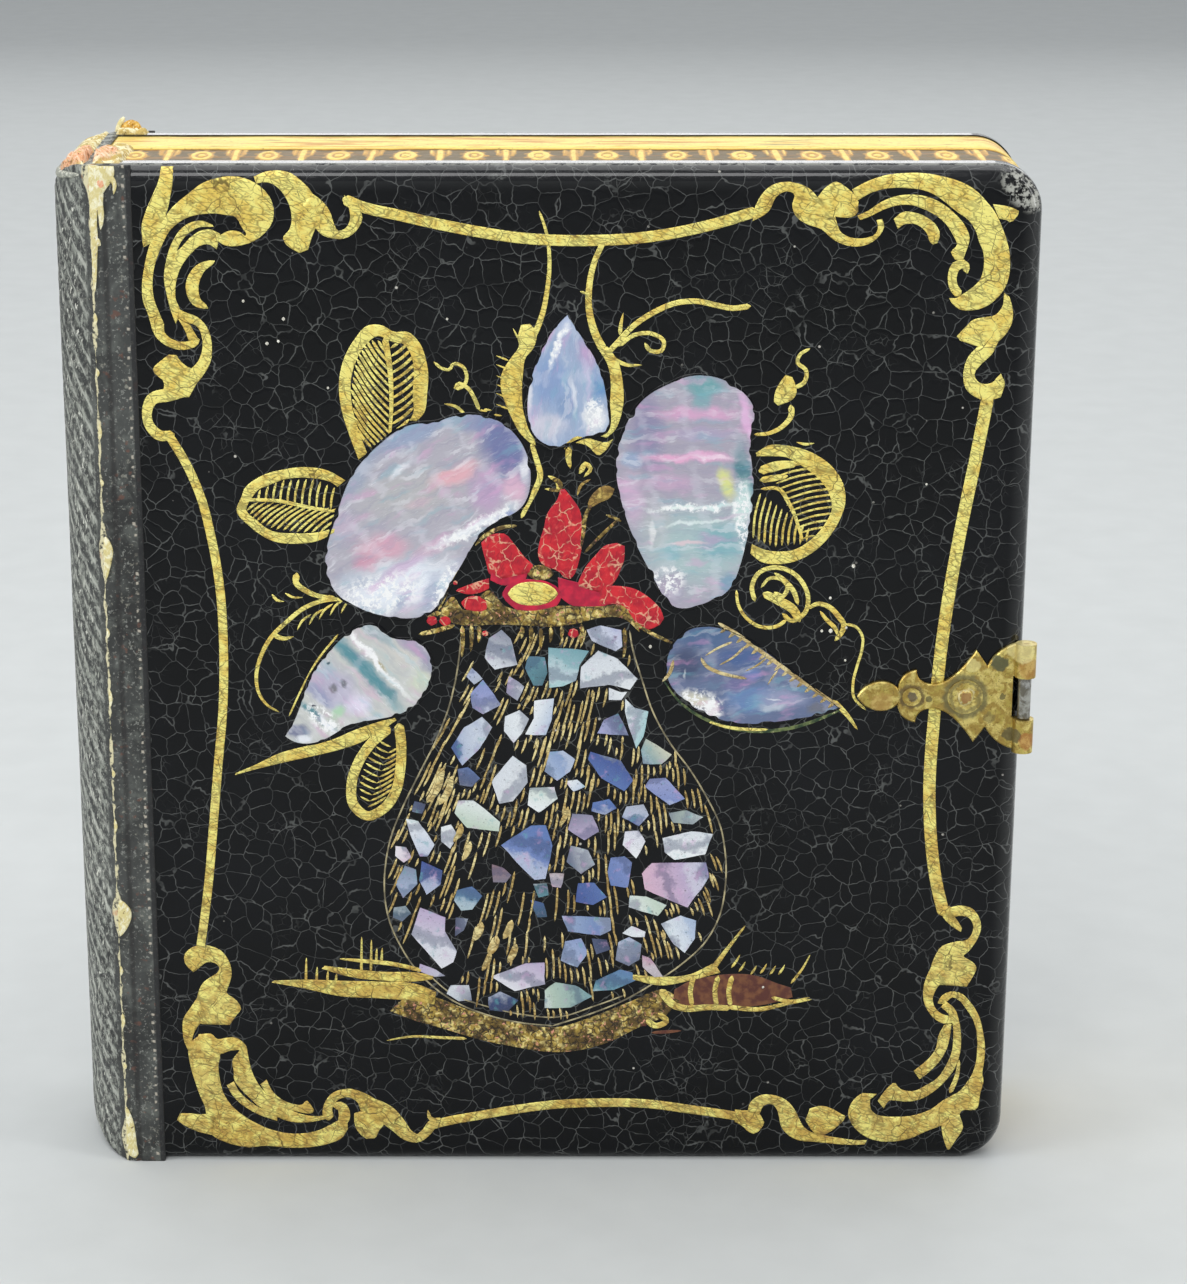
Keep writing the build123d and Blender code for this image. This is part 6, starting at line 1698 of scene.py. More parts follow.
# %% Velvet retainer
def round_rectangle(x_low, x_high, z_low, z_high, radius, count=40):
    """Places round a rectangle with rounded corners, with the same number on each side and corner."""
    turn = np.linspace(0, math.pi / 2, 7)
    places = []
    for quarter, (cx, cz) in enumerate(((x_high - radius, z_high - radius),
                                        (x_low + radius, z_high - radius), (x_low + radius, z_low + radius),
                                        (x_high - radius, z_low + radius))):
        arc = np.stack([cx + radius * np.cos(turn + quarter * math.pi / 2),
                        cz + radius * np.sin(turn + quarter * math.pi / 2)], -1)
        places.append(arc)
    joined = []
    for quarter in range(4):
        start, end = places[quarter][-1], places[(quarter + 1) % 4][0]
        share = np.linspace(0, 1, count + 2)[1:-1, None]
        joined += [places[quarter], start + (end - start) * share]
    return np.concatenate(joined)


packet_left, packet_right, packet_low, packet_high = 6.1, 77.05, 5.68, 89.32


def velvet_strip():
    outer = round_rectangle(tray_left, tray_right, tray_low, tray_high, 0.5)
    inner = round_rectangle(packet_left, packet_right, packet_low, packet_high, 0.4)
    section = [(0.03, 15.75), (0.0, 14.4), (0.0, 12.9), (0.04, 12.3), (0.14, 11.85), (0.3, 11.62),
               (0.5, 11.56), (0.7, 11.62), (0.86, 11.85), (0.96, 12.3), (1.0, 12.9), (1.0, 14.4),
               (0.97, 15.75)]
    share, depth = np.array(section).T
    flat = outer[:, None] * (1 - share[:, None]) + inner[:, None] * share[:, None]
    s = np.arange(len(outer))[:, None]
    lift = 0.05 * waves(s * 0.6, share * 6, 40, 14, 0.2, 1.4) * (depth < 12.5)
    points = place(flat[..., 0], depth + lift, flat[..., 1])
    rows, columns = points.shape[:2]
    r, c = np.meshgrid(np.arange(rows), np.arange(columns), indexing="ij")
    r2, c2 = (r + 1) % rows, (c + 1) % columns
    faces = np.stack([r * columns + c, r * columns + c2, r2 * columns + c2, r2 * columns + c], -1)
    return points, faces.reshape(-1, 4).tolist()


velvet_border = make_piece("velvet_border", *velvet_strip(), velvet, "back_half")
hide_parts("velvet_retainer")
print("retainer made,", len(velvet_border.data.polygons), "faces")

# %% [markdown]
# ## Mother-of-pearl
# Each piece of shell was ground thin, sawn to shape and let into the lacquer. Its colours lie in
# soft clouds across a few growth bands. They are built up as the eye reads them: a ground colour,
# then soft oval patches, each with a place, a size, a turn and a colour. A slow noise bends all
# patch outlines together, and a fine grain runs along the growth lines.

# %% Shell finish
def shell_finish(name, ground, patches, grain_turn, grain=0.3, sparkle=()):
    """Patches are (x, z, half width, half height, turn in degrees, colour, strength); sparkle is patches
    of broken white glint, without a colour."""
    finish = Finish(name, Coat_Weight=0.5, Coat_Roughness=0.08, Specular_IOR_Level=0.5)
    drawing = finish.drawing()
    drift = finish.vector("SUBTRACT", finish.noise(drawing, 0.42, 4, 0.6, output=1), (0.5, 0.5, 0.5))
    bent = finish.vector("MULTIPLY_ADD", drift, (1.7, 0, 1.7), drawing)
    fibre = finish.noise(finish.mapped(bent, turn=(0, -math.radians(grain_turn), 0), scale=(3.2, 1, 0.45)),
                         1.0, 4, 0.6)
    fine = finish.noise(finish.mapped(drawing, turn=(0, -math.radians(grain_turn), 0),
                                      scale=(1.4, 1, 0.16)), 1.0, 3, 0.6)
    tone = ground
    for x, z, half_x, half_z, turn, colour, strength in patches:
        seen = finish.mapped(bent, (x, 0, z), (0, -math.radians(turn), 0), (half_x, 1000, half_z))
        cover = finish.vector("LENGTH", seen, output=1).step(1.15, 0.35) * strength
        tone = finish.mix(cover, tone, srgb(*colour))
    light = fibre.step(0.55, 0.8) * grain * 0.7 + fine.step(0.58, 0.8) * grain * 0.5
    tone = finish.mix(light, tone, srgb(246, 246, 250))
    tone = finish.mix(fibre.step(0.45, 0.2) * grain * 0.7, tone, srgb(112, 118, 158))
    along, _, across = finish.parts(finish.mapped(bent, turn=(0, -math.radians(grain_turn), 0)))
    place_noise = finish.noise(drawing, 0.35, 2)
    growth = (across * 3.1 + fibre * 6.5 + place_noise * 9.0).sine()
    rib = (along * 1.5 + fibre * 4.0 + across * 0.3).sine()
    tone = finish.mix(growth.step(0.6, 1.0) * place_noise.step(0.42, 0.6) * grain, tone,
                      srgb(246, 246, 252))
    tone = finish.mix(growth.step(-0.6, -1.0) * grain * 0.4, tone, srgb(128, 130, 168))
    tone = finish.mix(rib.step(0.5, 1.0) * place_noise.step(0.56, 0.44) * grain * 0.6, tone,
                      srgb(240, 238, 250))
    hue = finish.noise(finish.mapped(bent, turn=(0, -math.radians(grain_turn), 0), scale=(3.0, 1, 0.9)),
                       0.8, 3)
    tone = finish.mix(hue.step(0.54, 0.72) * 0.34, tone, srgb(232, 164, 214))
    tone = finish.mix(hue.step(0.46, 0.3) * 0.3, tone, srgb(120, 190, 206))
    for x, z, half_x, half_z, turn in sparkle:
        seen = finish.mapped(bent, (x, 0, z), (0, -math.radians(turn), 0), (half_x, 1000, half_z))
        glint = finish.noise(drawing, 1.7, 4, 0.7).step(0.47, 0.56)
        tone = finish.mix(finish.vector("LENGTH", seen, output=1).step(1.1, 0.5) * glint, tone,
                          srgb(255, 255, 255))
    ripple = finish.noise(finish.mapped(bent, turn=(0, -math.radians(grain_turn), 0), scale=(6.0, 1, 1.1)),
                          1.0, 3)
    finish.surface(Base_Color=tone, Roughness=fine * 0.16 + 0.17, Metallic=fibre * 0.15 + 0.1,
                   Normal=finish.bump(ripple * 1.2 + fibre * 0.8 + fine * 0.4, 0.1 * mm, 0.7))
    return finish.material


dress("pearl_rose_left", shell_finish("shell_left_rose", srgb(184, 180, 192), [
    (28.0, 71.2, 5.5, 1.5, 28, (150, 168, 200), 0.8), (22.8, 67.4, 1.6, 3.6, -25, (160, 176, 198), 0.7),
    (21.6, 62.6, 1.6, 1.8, 0, (206, 184, 208), 0.6), (27.5, 65.5, 5.5, 3.0, 10, (192, 192, 190), 0.6),
    (36.2, 69.8, 2.6, 4.4, 25, (112, 120, 170), 0.95), (33.8, 72.2, 2.4, 1.2, 0, (138, 150, 190), 0.7),
    (31.6, 67.3, 2.8, 1.2, 24, (238, 180, 190), 0.9), (28.4, 64.8, 1.6, 0.6, 20, (226, 192, 204), 0.5),
    (25.0, 60.6, 2.9, 1.5, 5, (228, 172, 192), 0.8), (23.8, 59.1, 1.6, 0.8, 0, (222, 150, 176), 0.7),
    (34.6, 65.8, 2.0, 2.5, 0, (198, 164, 202), 0.8), (37.0, 66.2, 1.2, 2.0, 0, (238, 190, 214), 0.8),
    (27.0, 56.9, 7.2, 3.0, 12, (236, 241, 250), 1.0), (22.4, 57.4, 1.5, 1.0, 0, (188, 198, 214), 0.7),
    (26.8, 58.6, 3.6, 0.8, 30, (214, 186, 218), 0.8), (29.6, 60.6, 2.4, 0.8, 22, (222, 190, 208), 0.7),
    (29.4, 56.2, 1.0, 2.4, -22, (168, 178, 204), 0.8), (27.0, 55.6, 0.7, 1.6, -30, (170, 184, 208), 0.7),
    (31.6, 58.2, 0.7, 2.0, -25, (196, 196, 214), 0.6), (33.2, 62.5, 5.0, 0.55, 28, (250, 252, 255), 1.0),
    (36.6, 63.6, 1.4, 0.5, 0, (150, 166, 214), 0.7), (26.8, 67.8, 1.5, 0.4, 42, (244, 244, 250), 0.8),
    (32.4, 68.4, 1.3, 0.3, 28, (244, 238, 244), 0.6), (38.0, 68.0, 0.5, 1.6, 0, (240, 240, 246), 0.8),
], 28, 0.4, [(25.0, 56.2, 4.5, 2.2, 12), (33.4, 62.5, 5.0, 0.8, 28), (30.6, 56.6, 1.0, 3.0, -22)]))
dress("pearl_rose_right", shell_finish("shell_right_rose", srgb(176, 170, 186), [
    (48.8, 71.2, 2.0, 4.6, 5, (142, 136, 172), 0.8), (53.4, 60.6, 6.5, 5.0, 0, (176, 200, 202), 0.95),
    (53.2, 72.9, 4.8, 0.8, 0, (224, 172, 208), 0.9), (53.6, 71.0, 3.6, 0.8, 0, (178, 166, 198), 0.7),
    (53.8, 75.4, 2.3, 1.2, 0, (110, 168, 174), 0.95), (53.6, 74.2, 1.0, 1.5, 0, (128, 176, 184), 0.8),
    (52.6, 68.9, 5.2, 0.5, 0, (238, 178, 214), 0.95), (54.8, 68.9, 2.2, 0.2, 0, (250, 226, 240), 0.9),
    (50.8, 66.6, 3.0, 0.9, 0, (206, 172, 202), 0.8), (47.6, 65.2, 1.3, 2.8, 10, (216, 188, 214), 0.8),
    (47.4, 68.7, 1.1, 1.0, 0, (150, 178, 212), 0.7), (57.7, 72.4, 0.6, 3.2, 10, (234, 190, 228), 0.9),
    (57.5, 67.4, 0.8, 3.6, 12, (66, 128, 140), 0.95), (56.0, 66.5, 0.9, 1.9, 12, (228, 232, 148), 0.95),
    (57.4, 64.6, 0.9, 2.8, 0, (212, 238, 232), 0.9), (55.4, 61.0, 2.4, 2.2, 0, (130, 180, 190), 0.9),
    (51.2, 60.2, 1.2, 1.0, 0, (150, 188, 196), 0.6), (53.2, 64.4, 5.0, 0.28, 4, (238, 250, 246), 1.0),
    (53.4, 63.0, 4.6, 0.2, 8, (228, 242, 240), 0.8), (52.6, 60.9, 2.2, 0.25, 5, (234, 206, 214), 0.8),
    (49.8, 62.6, 1.5, 3.0, 0, (192, 196, 198), 0.6), (51.0, 56.9, 1.6, 1.7, 20, (182, 168, 190), 0.9),
    (56.4, 57.2, 1.1, 1.3, 0, (118, 160, 188), 0.8), (49.3, 62.0, 0.3, 1.4, 0, (240, 240, 240), 0.7),
], 0, 0.32, [(53.4, 64.4, 5.0, 0.5, 4), (57.4, 63.4, 0.7, 4.0, 4), (50.6, 57.4, 2.0, 1.6, 0)]))
dress("pearl_bud", shell_finish("shell_bud", srgb(164, 182, 212), [
    (40.2, 76.0, 1.8, 3.0, 0, (138, 164, 208), 0.9), (39.6, 79.8, 0.8, 1.8, -25, (226, 170, 214), 0.95),
    (41.4, 81.2, 0.8, 1.2, 0, (192, 204, 232), 0.8), (40.9, 79.0, 0.35, 2.6, -22, (240, 244, 252), 0.9),
    (43.4, 78.0, 0.9, 1.8, 15, (190, 168, 206), 0.85), (43.5, 75.6, 0.4, 2.6, 15, (206, 196, 228), 0.8),
    (44.5, 75.6, 0.9, 1.4, 10, (106, 148, 200), 0.95), (42.2, 74.4, 0.35, 2.2, 5, (238, 242, 250), 0.7),
    (41.4, 73.4, 0.9, 1.6, 0, (132, 158, 198), 0.8), (39.8, 71.6, 2.0, 1.4, 0, (214, 212, 226), 0.9),
    (44.2, 72.4, 1.3, 1.6, 0, (238, 240, 242), 0.95), (38.4, 74.4, 0.4, 2.0, 0, (236, 236, 244), 0.8),
], 82, 0.3, [(44.2, 72.8, 1.0, 2.0, 0), (40.9, 79.0, 0.5, 2.4, -22)]))
dress("pearl_leaf_left", shell_finish("shell_left_leaf", srgb(206, 208, 204), [
    (26.2, 51.0, 5.5, 0.9, -38, (216, 212, 206), 0.9), (28.0, 51.2, 2.6, 0.8, -38, (172, 164, 188), 0.95),
    (29.2, 49.6, 1.2, 1.0, -38, (150, 150, 178), 0.7), (24.4, 52.6, 2.8, 0.7, -38, (160, 178, 186), 0.9),
    (28.4, 48.2, 1.4, 1.4, 0, (214, 222, 200), 0.8), (24.8, 49.4, 1.0, 0.45, -38, (170, 158, 104), 0.95),
    (23.2, 49.2, 6.4, 0.9, -48, (88, 146, 158), 1.0), (24.2, 50.0, 6.2, 0.32, -50, (250, 250, 250), 1.0),
    (20.4, 47.4, 3.6, 2.2, -45, (188, 182, 206), 0.95), (19.4, 46.6, 2.2, 0.7, -45, (150, 156, 190), 0.8),
    (22.8, 45.8, 1.6, 1.4, 0, (234, 226, 246), 0.95), (20.9, 44.9, 0.7, 1.2, -20, (180, 220, 184), 0.9),
    (18.6, 44.9, 2.6, 0.45, -42, (86, 140, 150), 0.95), (20.0, 43.8, 1.6, 0.3, -52, (250, 250, 255), 0.95),
    (17.2, 43.0, 1.2, 0.7, 0, (110, 116, 150), 0.9), (17.6, 42.4, 0.9, 0.4, 0, (240, 244, 250), 0.9),
    (20.2, 49.7, 0.22, 0.18, 0, (60, 60, 70), 1.0), (21.4, 47.6, 0.3, 0.5, 20, (70, 70, 84), 1.0),
    (20.5, 47.3, 0.45, 0.4, 0, (128, 126, 134), 1.0), (18.6, 45.6, 0.3, 0.14, 0, (56, 56, 66), 1.0),
    (25.8, 46.6, 0.8, 0.6, -50, (80, 140, 150), 0.6), (23.8, 44.4, 1.3, 0.4, 20, (190, 200, 210), 0.8),
], -45, 0.3, [(19.4, 44.4, 2.4, 1.2, -40), (24.2, 50.0, 5.0, 0.5, -50)]))
dress("pearl_leaf_right", shell_finish("shell_right_leaf", srgb(98, 112, 148), [
    (54.4, 52.2, 3.0, 1.4, 0, (72, 102, 144), 0.95), (52.4, 49.6, 2.0, 2.0, 0, (60, 72, 108), 0.9),
    (57.6, 50.2, 2.6, 1.0, 0, (66, 96, 150), 0.9), (58.6, 48.6, 1.0, 0.8, 0, (112, 134, 196), 0.7),
    (58.6, 46.2, 3.2, 1.6, 0, (104, 136, 184), 0.95), (57.2, 47.6, 1.6, 0.8, 0, (116, 112, 160), 0.8),
    (61.4, 46.2, 2.8, 1.2, 0, (150, 158, 190), 0.95), (60.4, 45.4, 1.6, 0.5, 0, (176, 190, 206), 0.7),
    (61.2, 49.2, 2.0, 1.0, -40, (122, 126, 160), 0.7), (64.6, 45.2, 1.2, 0.6, 0, (110, 112, 122), 0.8),
    (53.6, 46.2, 1.9, 1.0, -14, (226, 222, 200), 0.9), (55.0, 45.4, 0.7, 1.5, 8, (250, 250, 246), 0.95),
    (52.4, 48.6, 0.14, 0.7, 0, (200, 206, 214), 0.7), (60.6, 46.2, 0.9, 0.1, -12, (226, 230, 240), 0.7),
], 10, 0.22, [(53.8, 46.1, 2.2, 1.3, -14), (55.0, 45.3, 1.0, 1.8, 8)]))
print("dressed five shell pieces")

# %% [markdown]
# The shell was sawn by hand and bedded in lacquer, which laps over the sawn edge in small teeth. The
# lap is a closed ring round each piece: a low black section carried along the outline, whose inner
# side comes and goes with a sum of waves.

# %% Lacquer lapping over the shell
def outline_of(name, spacing=0.1):
    """The outline of a shell piece's face in drawing millimetres, at even steps, and its outward
    directions."""
    corners = np.array([corner.co for corner in nodes[name].data.vertices])
    face = corners[corners[:, 1] < corners[:, 1].min() + 0.01 * mm]
    flat = np.unique(np.round((face[:, [0, 2]] - (hinge_x, tail_z)) / mm, 3), axis=0)
    inward = flat - flat.mean(axis=0)
    ring = flat[np.argsort(np.arctan2(inward[:, 1], inward[:, 0]))]
    ring = np.concatenate([ring, ring[:1]])
    s = np.concatenate([[0], np.cumsum(np.hypot(*np.diff(ring, axis=0).T))])
    at = np.linspace(0, s[-1], int(s[-1] / spacing), endpoint=False)
    line = np.stack([np.interp(at, s, ring[:, 0]), np.interp(at, s, ring[:, 1])], -1)
    along = np.roll(line, -2, 0) - np.roll(line, 2, 0)
    along /= np.hypot(*along.T)[:, None]
    return line, np.stack([along[:, 1], -along[:, 0]], -1)


def closed_ring(sections, start=0):
    """Faces of a ring: each section joined to the next, the last to the first."""
    grid = np.arange(sections.shape[0] * sections.shape[1]).reshape(sections.shape[:2]) + start
    after = np.roll(grid, -1, 0)
    return np.stack([grid, after, np.roll(after, -1, 1), np.roll(grid, -1, 1)], -1).reshape(-1, 4).tolist()


def lap_section(line, outward, seed):
    """Out and up from the outline: from the lacquer, over the edge, and down on the shell at a
    tooth's reach."""
    x, z = line.T
    teeth = np.clip(waves(x, z, seed, 26, 2.0, 6.5) * 1.5, 0, 1)[:, None]
    outer = 0.2 + 0.06 * waves(x, z, seed + 1, 20, 1, 4)[:, None]
    inner = 0.07 + 0.3 * teeth
    out = np.concatenate([outer, outer * 0.7, 0 * outer, -inner * 0.6, -inner, -inner * 0.5, 0.5 * outer],
                         1)
    up = np.array([-0.02, 0.045, 0.085, 0.088, 0.052, -0.02, -0.04])
    flat_x = x[:, None] + outward[:, :1] * out
    flat_z = z[:, None] + outward[:, 1:] * out
    return place(flat_x, -up + 0 * flat_x, flat_z)


lap_points, lap_faces = [], []
for seed, name in enumerate(("pearl_rose_left", "pearl_rose_right", "pearl_bud", "pearl_leaf_left",
                             "pearl_leaf_right")):
    sections = lap_section(*outline_of(name), 60 + 2 * seed)
    lap_faces += closed_ring(sections, sum(len(points) for points in lap_points))
    lap_points.append(sections.reshape(-1, 3))
make_piece("shell_laps", np.concatenate(lap_points), lap_faces, lacquer, "front_half")
print("lacquer laps over", len(lap_points), "shell pieces")

# %% [markdown]
# The vase is set with sixty-two broken bits of shell. They stay where the CAD has them; here each
# gets its own pair of colours, and lies at its own slight tilt, so the bits glint one by one.

# %% Shards of the vase
tones = {
    "white": (236, 240, 242), "silver": (204, 208, 216), "lilac": (188, 172, 204),
    "lavender": (160, 164, 206),
    "periwinkle": (126, 142, 196), "blue": (88, 118, 178), "deep": (58, 82, 150), "navy": (42, 50, 84),
    "slate": (104, 112, 136), "teal": (96, 146, 160), "pale_teal": (168, 204, 208),
    "pale_green": (190, 208, 190),
    "dark_teal": (50, 90, 104), "pink": (216, 178, 200), "brown": (150, 118, 122),
    "pale_blue": (168, 186, 214),
    "cream": (226, 220, 192),
}
shards = [
    (35.8, 51, "silver", "slate"), (33.3, 48.5, "periwinkle", "slate"),
    (34.4, 46.4, "lavender", "periwinkle"), (37, 47.3, "lilac", "silver"), (39, 49, "teal", "dark_teal"),
    (41.8, 49.5, "pale_teal", "teal"), (33.2, 42.3, "blue", "white"), (32.8, 38.8, "slate", "blue"),
    (37.2, 43.8, "white", "silver"), (39.6, 44.6, "white", "pale_blue"), (36.8, 38.6, "silver", "white"),
    (41, 40, "pale_blue", "blue"), (39.4, 36.6, "white", "pale_green"), (28.2, 35.7, "slate", "navy"),
    (33.6, 35, "pale_green", "white"), (28.3, 32.9, "white", "periwinkle"), (31, 32.9, "white", "silver"),
    (26.7, 31.3, "pink", "white"), (27.1, 28.6, "pale_blue", "slate"), (29.2, 29, "deep", "periwinkle"),
    (32.6, 26.7, "teal", "blue"), (26.5, 25.3, "dark_teal", "slate"), (29.9, 22.8, "lilac", "white"),
    (32, 24, "slate", "navy"), (35.7, 29.2, "brown", "slate"), (38.9, 31.6, "blue", "periwinkle"),
    (29.2, 19.3, "lilac", "silver"), (31.8, 17.2, "silver", "slate"), (35.7, 16.4, "navy", "deep"),
    (38.2, 19, "lilac", "white"), (39.5, 27.6, "dark_teal", "teal"), (39.3, 25.7, "dark_teal", "deep"),
    (40.9, 28.6, "brown", "pink"), (45.4, 52.1, "lavender", "silver"), (45.6, 48.8, "silver", "white"),
    (46.3, 46.6, "white", "silver"), (46, 43.8, "lavender", "slate"), (48, 43.7, "pale_teal", "white"),
    (49.7, 41, "teal", "cream"), (45.7, 39.2, "deep", "blue"), (50.6, 37.4, "periwinkle", "lavender"),
    (42.6, 38, "white", "pale_blue"), (45.2, 35.8, "blue", "deep"), (48.2, 35, "periwinkle", "slate"),
    (43.3, 34, "lilac", "slate"), (52.6, 34.8, "pale_green", "slate"), (53, 32, "white", "silver"),
    (48.1, 32.2, "white", "lilac"), (52, 28.6, "pink", "lavender"), (46.7, 29.4, "periwinkle", "blue"),
    (43, 30.6, "slate", "white"), (44, 27.2, "deep", "blue"), (49.2, 26.1, "pale_green", "white"),
    (44, 24, "blue", "pale_blue"), (48.2, 23.3, "white", "silver"), (42.5, 21.5, "pale_blue", "periwinkle"),
    (45, 22.1, "navy", "slate"), (47.6, 21.4, "slate", "periwinkle"), (52.6, 23.2, "pale_blue", "white"),
    (49.8, 19.8, "brown", "pink"), (46.3, 18.5, "teal", "blue"), (41.6, 17, "pale_green", "teal"),
]


def shard_piece():
    """A joined-up copy of the CAD shards, split into islands that are coloured and tilted one by one."""
    bits = bmesh.new()
    bits.from_mesh(nodes["vase_mosaic"].data)
    bmesh.ops.remove_doubles(bits, verts=bits.verts, dist=0.002 * mm)
    bmesh.ops.dissolve_limit(bits, angle_limit=0.02, verts=bits.verts, edges=bits.edges)
    level = [edge for edge in bits.edges if abs(edge.verts[0].co.y - edge.verts[1].co.y) < 0.01 * mm]
    bmesh.ops.subdivide_edges(bits, edges=level, cuts=4)
    bits.verts.index_update()
    bits.verts.ensure_lookup_table()
    points = np.array([v.co[:] for v in bits.verts])
    drawn = (points - place(0, 0, 0)) / mm
    colour, flow = np.ones((len(points), 4)), np.zeros(len(points))
    chance = np.random.default_rng(12)
    seen = set()
    centres = np.array([(x, z) for x, z, _, _ in shards])
    for first in bits.verts:
        if first.index in seen:
            continue
        island, edge = {first.index}, [first]
        while edge:
            for link in edge.pop().link_edges:
                for other in link.verts:
                    if other.index not in island:
                        island.add(other.index)
                        edge.append(other)
        seen |= island
        chosen = sorted(island)
        at = drawn[chosen][:, [0, 2]]
        middle = at.mean(axis=0)
        _, _, main, second = shards[int(np.argmin(np.hypot(*(centres - middle).T)))]
        turn, tilt = chance.uniform(0, math.tau, 2)
        way = (at - middle) @ np.array([math.cos(turn), math.sin(turn)])
        flow[chosen] = way + 40 * len(seen)
        grow = chance.uniform(0.03, 0.1) + 0.1 * waves(at[:, 0], at[:, 1], 33, 30, 1.5, 5.5)[:, None]
        reach = np.maximum(np.hypot(*(at - middle).T), 0.1)[:, None]
        at = middle + (at - middle) * (1 + grow / reach)
        drawn[np.ix_(chosen, [0, 2])] = at
        share = np.clip(0.35 + 0.5 * way / max(np.abs(way).max(), 0.1), 0, 1)[:, None]
        main_tone, second_tone = np.array(srgb(*tones[main])), np.array(srgb(*tones[second]))
        colour[chosen, :3] = main_tone * (1 - share) + second_tone * share
        slope = (at - middle) @ np.array([math.cos(tilt), math.sin(tilt)])
        top = drawn[chosen, 1] < 0
        drawn[chosen, 1] += np.where(top, np.clip(0.045 * slope, -0.07, 0.035), 0)
    faces = [tuple(v.index for v in f.verts) for f in bits.faces]
    bits.free()
    made = make_piece("vase_shards", place(*drawn.T), faces, shard_shell, "front_half", smooth=False)
    tint = made.data.attributes.new("tint", "FLOAT_COLOR", "POINT")
    tint.data.foreach_set("color", colour.ravel())
    made.data.attributes.new("flow", "FLOAT", "POINT").data.foreach_set("value", flow)
    return made


def shard_finish():
    finish = Finish("shell_shards", Coat_Weight=0.6, Coat_Roughness=0.07)
    drawing = finish.drawing()
    tint = finish.node("ShaderNodeAttribute", {"attribute_name": "tint"}, {}, 0)
    flow = finish.node("ShaderNodeAttribute", {"attribute_name": "flow"}, {}, 2)
    cloud = finish.noise(drawing, 0.7, 4, 0.6)
    # A soft pale band across each shard is a painted sheen
    sheen_band = ((flow * 1.0 + cloud * 4.0).sine()).step(0.2, 1.0)
    second = ((flow * 1.7 + cloud * 6.0 + 2.0).sine()).step(0.2, 1.0)
    grain = finish.noise(drawing, 3.4, 3, 0.6)
    tone = finish.mix(sheen_band * 0.42, tint, srgb(236, 242, 248))
    tone = finish.mix(second * 0.5, tone, srgb(36, 58, 104))
    tone = finish.mix(cloud.step(0.56, 0.7) * 0.45, tone, srgb(206, 160, 204))
    tone = finish.mix(cloud.step(0.42, 0.3) * 0.45, tone, srgb(92, 168, 172))
    tone = finish.mix(grain.step(0.6, 0.7) * 0.5, tone, srgb(30, 34, 46))
    finish.surface(Base_Color=tone, Roughness=grain * 0.2 + 0.16, Metallic=sheen_band * 0.15 + 0.05,
                   Normal=finish.bump(sheen_band * 0.6 + grain * 0.6 - second * 0.4, 0.08 * mm, 0.7))
    return finish.material


shard_shell = shard_finish()
vase_shards = shard_piece()
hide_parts("vase_mosaic")
print("shards coloured:", len(shards))

# %% [markdown]
# ## Brass
# The clasp is thin sheet brass, lacquered once and now rubbed: warm yellow, with olive and brown left in
# the hollows and round the rivets. Orange spots on the knuckles are painted reflection, and pale spots
# near the upper edges are painted highlight.

# %% Clasp, hasp and catch
def rubbed_brass(name, stains_and_highlights, steel_to=None):
    """Stains and painted light are (x, z, inner radius, outer radius, colour, strength): rings, or spots
    from 0; most are tarnish, a few are painted highlight or painted reflection. Brass nearer to the front
    than the depth steel_to has turned grey."""
    finish = Finish(name, Specular_IOR_Level=0.5)
    drawing = finish.drawing()
    mottle = finish.noise(drawing, 0.9, 5, 0.62, 0.5)
    fine = finish.noise(drawing, 4.5, 3, 0.6)
    scratch = finish.noise(finish.mapped(drawing, turn=(0, 0.5, 0), scale=(3.0, 1, 0.12)), 1.0, 3)
    bent = finish.vector("MULTIPLY_ADD", finish.noise(drawing, 1.1, 4, 0.65, output=1), (1.1, 0.5, 1.1),
                         drawing)
    tone = finish.mix(mottle.step(0.4, 0.56), srgb(226, 206, 124), srgb(172, 144, 74))
    tone = finish.mix(finish.noise(drawing, 1.7, 4, 0.6).step(0.52, 0.62) * 0.6, tone, srgb(196, 178, 92))
    tone = finish.mix(fine.step(0.55, 0.68) * 0.7, tone, srgb(112, 90, 44))
    dull = mottle.step(0.58, 0.7) * 0.4
    for x, z, inner, outer, colour, strength in stains_and_highlights:
        seen = finish.vector("SUBTRACT", bent, (x + 0.55, 0, z + 0.55))
        flat = finish.vector("MULTIPLY", seen, (1, 0, 1))
        away = finish.vector("LENGTH", flat, output=1)
        ring = away.step(outer, outer * 0.8)
        if inner:
            ring = ring * away.step(inner * 0.85, inner)
        ring = ring * strength
        tone = finish.mix(ring, tone, srgb(*colour))
        dull = dull.most(ring * 0.7)
    if steel_to is not None:
        grey = finish.parts(drawing)[1].step(steel_to + 0.3, steel_to)
        tone = finish.mix(grey * 0.9, tone,
                          finish.mix(mottle.step(0.4, 0.6), srgb(168, 170, 170), srgb(104, 104, 100)))
    finish.surface(Base_Color=tone, Metallic=0.85 - dull, Roughness=mottle * 0.22 + dull * 0.3 + 0.2,
                   Normal=finish.bump(fine * 0.5 + mottle * 0.4 - scratch.step(0.6, 0.7) * 0.4, 0.05 * mm,
                                      0.7))
    return finish.material


